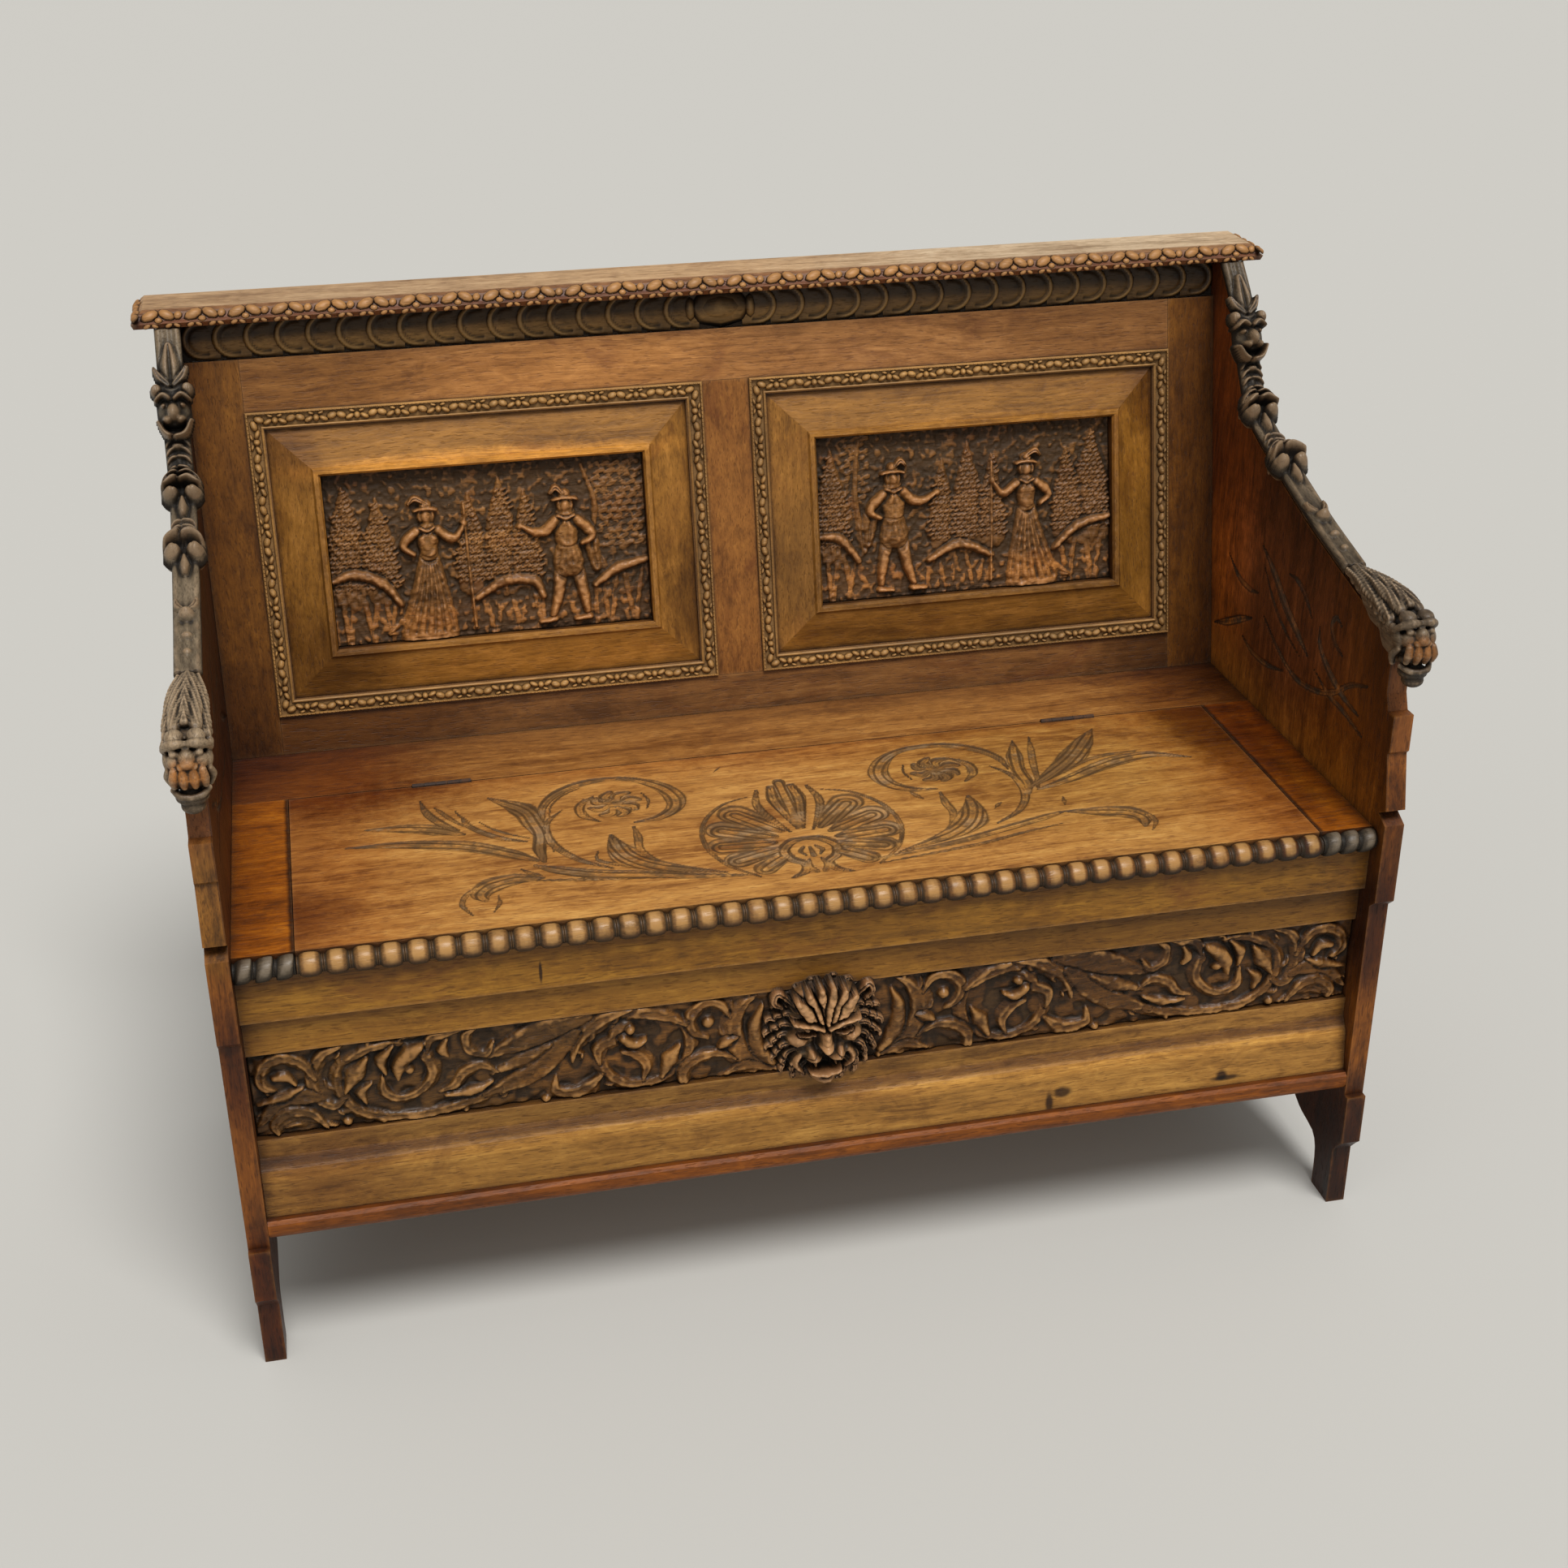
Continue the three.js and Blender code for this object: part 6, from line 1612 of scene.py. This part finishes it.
def iron(name):
    """Old iron, dull and browned."""
    made, b, shader, where = blank(name)
    rust = b.noise(where, (90, 90, 90), 5, 0.65)
    fine = b.noise(where, (700, 700, 700), 3, 0.6)
    bump = b.add("ShaderNodeBump", {"Strength": 0.3, "Distance": 0.0003, "Height": fine})
    b.feed(shader, {"Base Color": b.mix(b.ramp(rust, 0.4, 0.62), tint(48, 31, 19), tint(78, 50, 29)),
        "Roughness": b.ramp(rust, 0.3, 0.7, 0.7, 0.9), "Normal": bump.outputs[0], "Metallic": 0.1})
    return made


# Stains, and spots of painted light and shade, in metres: a tint, its share, how soft its edge is, its
# middle and its reach.
LID_PLACES = [((206, 160, 104), 0.6, 0.85, (side * 0.5, 0.0, 0.47), (0.09, FAR, FAR)) for side in (-1, 1)]
LID_PLACES += [((214, 184, 156), 0.8, 0.6, (0, 0.12, 0.47), (FAR, 0.09, FAR)),
    ((236, 240, 226), 0.8, 0.5, (0.33, 0.0, 0.47), (0.2, 0.2, FAR)),
    ((150, 112, 76), 0.7, 0.6, (-0.52, -0.2, 0.47), (0.06, 0.05, FAR)),
    ((176, 164, 104), 0.9, 0.5, (0.485, 0.03, 0.47), (0.05, 0.11, FAR)),
    ((120, 84, 56), 0.8, 0.5, (0, 0.162, 0.47), (FAR, 0.006, FAR)),
    ((150, 110, 70), 0.85, 0.6, (-0.45, 0.1, 0.47), (0.15, 0.1, FAR)),
    ((200, 176, 136), 0.8, 0.6, (0.49, 0.0, 0.47), (0.03, 0.24, FAR))]
JOINT_LINES = [((58, 38, 24), 0.9, 0.5, (side * 0.507, 0.0, 0.47), (0.0045, FAR, FAR)) for side in (-1, 1)]
JOINT_LINES += [((150, 118, 76), 0.85, 0.6, (0.521, 0.02, 0.47), (0.019, 0.26, FAR)),
    ((226, 200, 140), 0.85, 0.5, (0.553, 0.06, 0.47), (0.017, 0.22, FAR)),
    ((176, 146, 112), 0.8, 0.5, (-0.54, 0.13, 0.47), (0.05, 0.08, FAR)),
    ((290, 304, 270), 0.6, 0.6, (0.54, -0.16, 0.47), (0.04, 0.09, FAR))]
BEAD_PLACES = [((196, 172, 140), 0.85, 0.8, (0.44, 0, 0.46), (0.4, FAR, FAR)),
    # Painted shade on the beads' undersides, stronger along the right half.
    ((132, 98, 64), 0.6, 0.5, (0, 0, 0.446), (FAR, FAR, 0.009)),
    ((120, 84, 52), 0.8, 0.5, (0.35, 0, 0.446), (0.4, FAR, 0.011)),
    ((150, 118, 80), 0.9, 0.5, (0.505, 0, 0.46), (0.05, FAR, FAR))]
FRONT_PLACES = [((222, 212, 164), 0.9, 0.08, (0, 0, 0.38), (FAR, FAR, 0.034)),
    ((196, 190, 174), 0.85, 0.5, (0.4, 0, 0.37), (0.26, FAR, 0.06)),
    # Painted shadow on the band just under the frieze.
    ((190, 186, 178), 0.8, 0.5, (-0.15, 0, 0.25), (0.42, FAR, 0.011)),
    ((228, 226, 220), 0.8, 0.5, (-0.3, 0, 0.205), (0.36, FAR, 0.03)),
    # Painted highlight along the crest of the wave moulding.
    ((284, 284, 284), 0.9, 0.6, (0.1, 0, 0.2215), (FAR, FAR, 0.0065)),
    ((120, 92, 66), 0.7, 0.7, (0, 0, 0.2335), (FAR, FAR, 0.005)),
    ((150, 118, 92), 0.6, 0.7, (-0.5, 0, 0.22), (0.06, FAR, 0.05))]
DENTS = ((0.234, 0.186, 0.004, 0.012), (0.248, 0.196, 0.009, 0.0055), (0.43, 0.187, 0.016, 0.003),
    (0.425, 0.19, 0.006, 0.006))
FRONT_PLACES += [((62, 44, 32), 0.9, 0.45, (x, 0, z), (rx, FAR, rz)) for x, z, rx, rz in DENTS]
RAIL_PLACES = [((60, 40, 26), 0.9, 0.4, (-0.2835, 0, 0.417), (0.0016, FAR, 0.011)),
    # Painted shadow along the rail's top, just under the beads.
    ((150, 116, 84), 0.3, 0.6, (0, 0, 0.443), (FAR, FAR, 0.008)),
    ((222, 218, 206), 0.5, 0.5, (0.5, 0, 0.41), (0.1, FAR, 0.03))]
BOARD_PLACES = [((128, 104, 74), 0.9, 0.2, (side * 0.5655, 0, 0.76), (0.0012, FAR, 0.3))
    for side in (-1, 1)]
BOARD_PLACES += [((255, 248, 176), 0.9, 0.3, (0, -0.29, 0.25), (FAR, 0.04, 0.32)),
    ((150, 128, 108), 0.85, 0.3, (0, 0, 0.06), (FAR, FAR, 0.11)),
    ((150, 122, 92), 0.8, 0.5, (0.5755, -0.28, 0.36), (FAR, 0.05, 0.07)),
    # Painted light on the right board's inner face, strongest towards the back and top, with a painted shade
    # near its front edge.
    ((400, 430, 380), 0.9, 0.5, (0.5645, -0.03, 0.55), (0.004, 0.28, 0.13)),
    ((470, 460, 430), 0.9, 0.5, (0.5645, 0.2, 0.72), (0.004, 0.11, 0.22)),
    ((250, 252, 380), 0.9, 0.5, (0.5645, -0.02, 0.63), (0.004, 0.14, 0.11)),
    ((160, 140, 120), 0.8, 0.5, (0.5645, -0.26, 0.62), (0.004, 0.06, 0.1)),
    ((270, 270, 250), 0.7, 0.5, (0.5645, -0.04, 0.484), (0.004, 0.27, 0.03)),
    ((255, 250, 190), 0.7, 0.5, (0.5645, -0.19, 0.52), (0.004, 0.12, 0.06)),
    ((168, 150, 96), 0.9, 0.4, (0.5755, -0.28, 0.06), (0.03, FAR, 0.08)),
    ((224, 196, 120), 0.8, 0.4, (-0.5755, -0.28, 0.08), (0.03, FAR, 0.1)),
    ((196, 186, 176), 0.9, 0.3, (0.5755, -0.28, 0.4), (0.02, 0.04, 0.13)),
    ((266, 300, 306), 0.9, 0.4, (-0.5755, -0.285, 0.54), (0.02, 0.03, 0.07))]
TOP_PLACES = [((206, 170, 128), 0.95, 0.3, (0, 0, 0.932), (FAR, FAR, 0.0115)),
    ((268, 290, 322), 0.9, 0.5, (0.4, 0, 0.953), (0.28, FAR, 0.012)),
    ((230, 230, 232), 0.8, 0.5, (-0.42, 0, 0.953), (0.25, FAR, 0.012)),
    ((160, 124, 80), 0.9, 0.25, (0, 0.2235, 0), (FAR, 0.012, FAR)),
    ((160, 124, 80), 0.9, 0.25, (0.61, 0, 0), (0.0085, FAR, FAR)),
    ((160, 124, 80), 0.9, 0.25, (-0.61, 0, 0), (0.0085, FAR, FAR))]
# Painted light on the top members, brightest, and on the bottom ones; painted shade on the upright members.
# The right frame is a little darker as a whole.
BEVEL_PLACES = [((212, 212, 214), 0.95, 0.2, (0.268, 0.2, 0.62), (0.26, FAR, 0.11)),
    ((158, 146, 126), 0.8, 0.6, (-0.445, 0.2, 0.568), (0.06, FAR, 0.055)),
    ((252, 248, 224), 0.9, 0.5, (0.466, 0.2, 0.66), (0.034, FAR, 0.14)),
    ((290, 286, 286), 0.75, 0.5, (-0.21, 0.2, 0.55), (0.17, FAR, 0.022)),
    ((284, 280, 276), 0.75, 0.5, (0.24, 0.2, 0.553), (0.2, FAR, 0.022)),
    ((160, 150, 130), 0.7, 0.6, (-0.052, 0.2, 0.60), (0.025, FAR, 0.06)),
    ((160, 140, 120), 0.7, 0.6, (0.49, 0.2, 0.79), (0.03, FAR, 0.05)),
    ((166, 146, 124), 0.6, 0.6, (-0.47, 0.2, 0.79), (0.03, FAR, 0.03)),
    ((400, 400, 400), 0.85, 0.5, (-0.268, 0.2, 0.769), (0.17, FAR, 0.012)),
    ((310, 310, 310), 0.8, 0.5, (0.268, 0.2, 0.768), (0.17, FAR, 0.01))]
MOULDING_PLACES = [((156, 142, 114), 0.9, 0.4, (0.503, 0.2, 0.68), (0.018, FAR, 0.17)),
    ((196, 184, 158), 0.85, 0.4, (0.033, 0.2, 0.68), (0.018, FAR, 0.15)),
    ((190, 178, 152), 0.85, 0.4, (-0.033, 0.2, 0.68), (0.018, FAR, 0.15))]
BACK_PLACES = [((208, 200, 166), 0.85, 0.6, (-0.48, 0.2, 0.85), (0.15, FAR, 0.06)),
    ((204, 198, 184), 0.85, 0.6, (0.46, 0.2, 0.87), (0.18, FAR, 0.05)),
    ((284, 280, 262), 0.75, 0.6, (-0.17, 0.2, 0.845), (0.17, FAR, 0.05))]
STILE_PLACES = [((206, 196, 156), 0.9, 0.5, (0.545, 0.2, 0.7), (0.03, FAR, 0.28)),
    ((196, 186, 170), 0.8, 0.5, (-0.545, 0.2, 0.52), (0.04, FAR, 0.06))]
LOW_RAIL_PLACES = [((176, 166, 150), 0.9, 0.5, (0.5, 0.2, 0.5), (0.07, FAR, 0.05)),
    ((190, 168, 112), 0.9, 0.5, (-0.46, 0.2, 0.5), (0.16, FAR, 0.05))]
STRIP_PLACES = [((180, 156, 120), 0.9, 0.6, (0.52, 0.15, 0.47), (0.09, FAR, FAR)),
    ((168, 124, 78), 0.9, 0.6, (-0.5, 0.15, 0.47), (0.14, FAR, FAR))]
SCALE_PLACES = [((190, 186, 178), 0.85, 0.5, (0.36, 0.2, 0.9), (0.26, FAR, 0.03)),
    # Painted shadow across the top of the band, under the top board's overhang.
    ((56, 46, 36), 0.95, 0.5, (0, 0.2, 0.917), (FAR, FAR, 0.011))]
SCENE_PLACES = [((350, 338, 316), 0.85, 0.5, (0, 0.2, 0.589), (FAR, FAR, 0.028)),
    ((300, 300, 280), 0.8, 0.6, (-0.268, 0.2, 0.7), (0.18, FAR, 0.05)),
    ((290, 290, 272), 0.8, 0.6, (0.16, 0.2, 0.71), (0.08, FAR, 0.05)),
    ((280, 280, 262), 0.8, 0.6, (0.4, 0.2, 0.73), (0.07, FAR, 0.03))]
# Painted highlight on the middle of the face.
LION_PLACES = [((350, 346, 336), 0.9, 0.4, (-0.006, -0.26, 0.328), (0.034, FAR, 0.03))]
FRIEZE_PLACES = [((196, 200, 192), 0.9, 0.3, (-0.4, 0, 0.307), (0.19, FAR, FAR)),
    ((200, 194, 180), 0.85, 0.4, (0.34, 0, 0.307), (0.26, FAR, FAR)),
    ((300, 288, 260), 0.8, 0.5, (-0.25, 0, 0.288), (0.06, FAR, 0.03)),
    ((200, 196, 186), 0.8, 0.4, (0.3, 0, 0.345), (0.28, FAR, 0.02))]
ARM_PLACES = [((204, 202, 200), 0.95, 0.1, (0.5755, 0, 0.76), (0.06, FAR, FAR)),
    ((196, 200, 204), 0.9, 0.3, (-0.5755, 0.2, 0.84), (0.06, FAR, 0.07))]
HEAD_PLACES = [((300, 222, 120), 0.85, 0.4, (side * 0.5755, -0.292, 0.674), (0.017, 0.022, 0.016))
    for side in (-1, 1)]
# Painted shade on both heads' lower jaws, under the muzzle.
HEAD_PLACES += [((110, 104, 96), 0.85, 0.4, (0, -0.285, 0.643), (FAR, 0.03, 0.013)),
    # Painted light on the left head and painted shade on the right one.
    ((294, 304, 318), 0.85, 0.1, (-0.5755, 0, 0.69), (0.06, FAR, FAR)),
    ((214, 222, 236), 0.85, 0.1, (0.5755, 0, 0.69), (0.06, FAR, FAR))]

LID_OAK = oak("golden lid oak", (204, 152, 82), (176, 122, 60), (120, 74, 33), stain=(112, 64, 26),
    cut=(108, 79, 47), dirt=(50, 36, 23), worn=(176, 148, 112), dirt_share=0.66, wear_share=0.5,
    gloss=0.32, cut_share=0.9, places=LID_PLACES)
RAIL_OAK = oak("rail oak", (158, 110, 35), (128, 84, 23), (84, 52, 13), shift=(0.3, 0, 0.1), edge=0.2,
    grime_and_shade=0.5, places=RAIL_PLACES)
BAND_OAK = oak("front board oak", (180, 132, 62), (150, 104, 44), (102, 66, 25), stain=(98, 60, 26),
    shift=(0.7, 0.2, 0), worn=(206, 158, 110), edge=0.2, places=FRONT_PLACES)
BACK_OAK = oak("backrest oak", (182, 128, 74), (152, 102, 54), (104, 64, 29), stain=(110, 66, 38),
    stained=0.5, edge=0.15, places=BACK_PLACES)
LOW_RAIL_OAK = oak("lower rail oak", (150, 104, 54), (125, 82, 40), (84, 52, 23), shift=(0.2, 0, 0.5),
    edge=0.15, places=LOW_RAIL_PLACES)
STILE_OAK = oak("stile oak", (148, 96, 31), (120, 74, 21), (78, 45, 12), along="z", stain=(70, 38, 14),
    edge=0.15, places=STILE_PLACES)
MUNTIN_OAK = oak("muntin oak", (160, 106, 46), (135, 85, 35), (92, 54, 19), along="z", edge=0.15)
BEVEL_OAK = oak("bevel oak", (168, 116, 50), (140, 94, 34), (98, 62, 20), stain=(112, 68, 24),
    shift=(0.1, 0.4, 0.2), worn=(214, 164, 112), edge=0.5, mitred=True, places=BEVEL_PLACES)
END_PIECE_OAK = oak("seat end oak", (188, 112, 24), (152, 82, 13), (100, 50, 8), stain=(84, 44, 12),
    stained=0.5, places=JOINT_LINES)
BACK_STRIP_OAK = oak("seat back oak", (174, 122, 62), (144, 94, 43), (96, 57, 24), stain=(96, 54, 20),
    stained=0.5, places=STRIP_PLACES)
FOOT_MOULD_OAK = oak("bottom moulding oak", (146, 80, 12), (114, 58, 5), (72, 34, 2), stain=(76, 36, 4),
    stained=0.4, worn=(176, 104, 34), edge=0.3)
DARK_OAK = oak("end board oak", (142, 85, 37), (110, 62, 24), (66, 35, 14), along="z", stain=(56, 30, 8),
    stained=0.55, cut=(74, 68, 58), worn=(170, 112, 52), places=BOARD_PLACES, edge=0.25, cut_share=0.9,
    grime_and_shade=0.45)
CARVED_OAK = oak("carved oak", (140, 94, 42), (106, 68, 26), (62, 39, 14), dirt=(30, 21, 11),
    worn=(190, 138, 78), dirt_share=0.92, wear_share=0.48, stained=0.5, stain=(50, 31, 14), gloss=0.3,
    places=FRIEZE_PLACES)
LION_OAK = oak("mask oak", (134, 100, 62), (98, 74, 46), (56, 44, 29), dirt=(26, 21, 14),
    worn=(200, 150, 102), dirt_share=0.62, wear_share=0.6, stained=0.35, stain=(104, 68, 32),
    places=LION_PLACES)
SCENE_OAK = oak("scene oak", (140, 96, 52), (112, 75, 38), (72, 47, 23), dirt=(42, 33, 20),
    worn=(190, 134, 82), dirt_share=0.8, wear_share=0.6, stained=0.3, grime_and_shade=0.6, places=SCENE_PLACES)
ARM_OAK = oak("arm oak", (138, 120, 96), (106, 92, 72), (64, 53, 39), along="y", dirt=(24, 19, 13),
    worn=(162, 132, 100), wear_share=0.42, stained=0.4, stain=(64, 48, 30), places=ARM_PLACES)
HEAD_OAK = oak("arm head oak", (150, 126, 96), (116, 95, 70), (70, 56, 40), along="y", dirt=(26, 21, 14),
    worn=(188, 160, 128), wear_share=0.5, stained=0.4, stain=(70, 50, 32),
    places=HEAD_PLACES)
BEAD_OAK = oak("bead oak", (156, 112, 62), (126, 88, 46), (84, 57, 28), dirt=(50, 40, 26),
    worn=(190, 144, 86), wear_share=0.6, stained=0.55, stain=(84, 54, 26), edge=0, gloss=0.3,
    places=BEAD_PLACES)
GREY_BEAD_OAK = oak("shaded bead oak", (98, 84, 64), (74, 62, 47), (46, 38, 28), dirt=(26, 22, 16),
    worn=(128, 114, 96), stained=0.3, stain=(38, 28, 20), edge=0)
MOULDING_OAK = oak("moulding oak", (184, 136, 72), (154, 110, 54), (108, 75, 36), dirt=(92, 66, 34),
    worn=(206, 164, 108), dirt_share=0.62, wear_share=0.36, stained=0.4, stain=(84, 62, 34), grime_and_shade=0.3,
    edge=0.15, places=MOULDING_PLACES)
SCALE_OAK = oak("scale oak", (160, 120, 64), (124, 90, 45), (72, 52, 25), dirt=(22, 17, 10),
    worn=(180, 142, 84), dirt_share=0.85, wear_share=0.5, stained=0.3, stain=(54, 36, 18), grime_and_shade=0.7,
    places=SCALE_PLACES)
TOP_OAK = oak("top board oak", (210, 174, 130), (182, 144, 102), (126, 92, 56), stained=0.4,
    stain=(124, 84, 50), shift=(0, 0.5, 0.3), worn=(214, 178, 138), places=TOP_PLACES, edge=0.2)
EDGE_OAK = oak("edge carving oak", (174, 120, 62), (140, 94, 48), (88, 58, 30), dirt=(60, 42, 25),
    worn=(188, 138, 84), stained=0.6, stain=(76, 58, 42), grime_and_shade=0.7, wear_share=0.35, edge=0.35)
PLAIN_OAK = oak("plain inner oak", (176, 138, 94), (150, 112, 72), (112, 80, 48), stained=0.3, edge=0.2)
BACKBOARD_OAK = oak("plain upright oak", (150, 116, 76), (126, 94, 58), (90, 64, 38), stained=0.35,
    edge=0.2)
IRON = iron("old hinge iron")

FINISH_OF = {
    "top_board": TOP_OAK, "back_left_stile": STILE_OAK, "back_right_stile": STILE_OAK,
    "back_muntin": MUNTIN_OAK, "back_bottom_rail": LOW_RAIL_OAK, "back_top_rail": BACK_OAK,
    "left_bevel_frame": BEVEL_OAK, "right_bevel_frame": BEVEL_OAK, "seat_back_strip": BACK_STRIP_OAK,
    "seat_left_end_piece": END_PIECE_OAK, "seat_right_end_piece": END_PIECE_OAK, "front_top_rail": RAIL_OAK,
    "front_board": BAND_OAK, "front_bottom_moulding": FOOT_MOULD_OAK, "box_back_board": BACKBOARD_OAK,
}
for name, node in NODES.items():
    finish = FINISH_OF.get(name, IRON if "hinge" in name else PLAIN_OAK)
    node.data.materials.clear()
    node.data.materials.append(finish)


# Put together.
def finished(piece, finish, body="frame"):
    piece.data.materials.clear()
    piece.data.materials.append(finish)
    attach(piece, body)
    return piece


lid = carve_lid()
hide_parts("seat_lid")
finished(lid, LID_OAK, "lid")
for word, side in SIDES:
    finished(carve_frieze(word, side), CARVED_OAK)
    finished(carve_scene(word, side), SCENE_OAK)
    finished(carve_end_board(word, side), DARK_OAK)
    finished(carve_arm(word, side), ARM_OAK)
    finished(carve_arm_head(word, side), HEAD_OAK)
    finished(leaf_moulding(word, side, MOULDING_OAK), MOULDING_OAK)
    ends = sorted((side * (LID_HALF + 0.7), side * (HALF - JOINT)))
    beads = bead_row(word + "_short_beads", word + "_bead_return", *ends, 3, GREY_BEAD_OAK, 0.45)
    finished(beads, GREY_BEAD_OAK)
finished(carve_lion(), LION_OAK)
finished(bead_row("lid_beads", "lid_bead_moulding", -LID_HALF, LID_HALF, 41, BEAD_OAK), BEAD_OAK, "lid")
finished(scale_band(SCALE_OAK), SCALE_OAK)
finished(edge_carving(EDGE_OAK), EDGE_OAK)

# Floor, light and camera.
FLOOR_HALF = 40.0
floor_mesh = bpy.data.meshes.new("floor")
floor_corners = [(a * FLOOR_HALF, b * FLOOR_HALF, 0) for a, b in ((-1, -1), (1, -1), (1, 1), (-1, 1))]
floor_mesh.from_pydata(floor_corners, [], [(0, 1, 2, 3)])
floor = placed("floor", floor_mesh)
pale, b, shader, _ = blank("pale floor")
b.feed(shader, {"Base Color": tint(188, 186, 180), "Roughness": 0.8})
floor_mesh.materials.append(pale)

world = bpy.data.worlds.new("studio")
world.use_nodes = True
b = Bench(world.node_tree.nodes, world.node_tree.links)
lit = b.feed(b.nodes["Background"], {"Color": (1, 0.99, 0.97, 1), "Strength": 0.36})
far = b.add("ShaderNodeBackground", {"Color": tint(212, 208, 199)})
camera_ray = b.add("ShaderNodeLightPath").outputs["Is Camera Ray"]
seen = b.add("ShaderNodeMixShader", {0: camera_ray, 1: lit.outputs[0], 2: far.outputs[0]})
b.feed(b.nodes["World Output"], {"Surface": seen.outputs[0]})
bpy.context.scene.world = world
LAMPS = (("key", 2.9, 24, (-0.12, 0.5, -1.0)), ("fill", 0.45, 70, (0.5, 0.8, -0.5)))
for name, strength, degrees, direction in LAMPS:
    lamp = bpy.data.lights.new(name, "SUN")
    lamp.energy = strength
    lamp.angle = math.radians(degrees)
    placed(name, lamp).rotation_euler = Vector(direction).to_track_quat("-Z", "Y").to_euler()

CAMERA_PLACE = (-0.43184, -2.03426, 1.50813)
CAMERA_RIGHT = (0.976294, -0.216325, -0.00735)
CAMERA_DOWN = (-0.10405, -0.439274, -0.892307)
CAMERA_AHEAD = (0.189799, 0.871919, -0.451369)
camera = bpy.data.cameras.new("camera")
camera.lens = 50
camera.sensor_width = 36
camera.sensor_fit = "HORIZONTAL"
eye = placed("camera", camera)
axes = Matrix((CAMERA_RIGHT, [-a for a in CAMERA_DOWN], [-a for a in CAMERA_AHEAD])).transposed()
eye.matrix_world = Matrix.Translation(CAMERA_PLACE) @ axes.to_4x4()
bpy.context.scene.camera = eye
bpy.context.scene.view_settings.view_transform = "Standard"
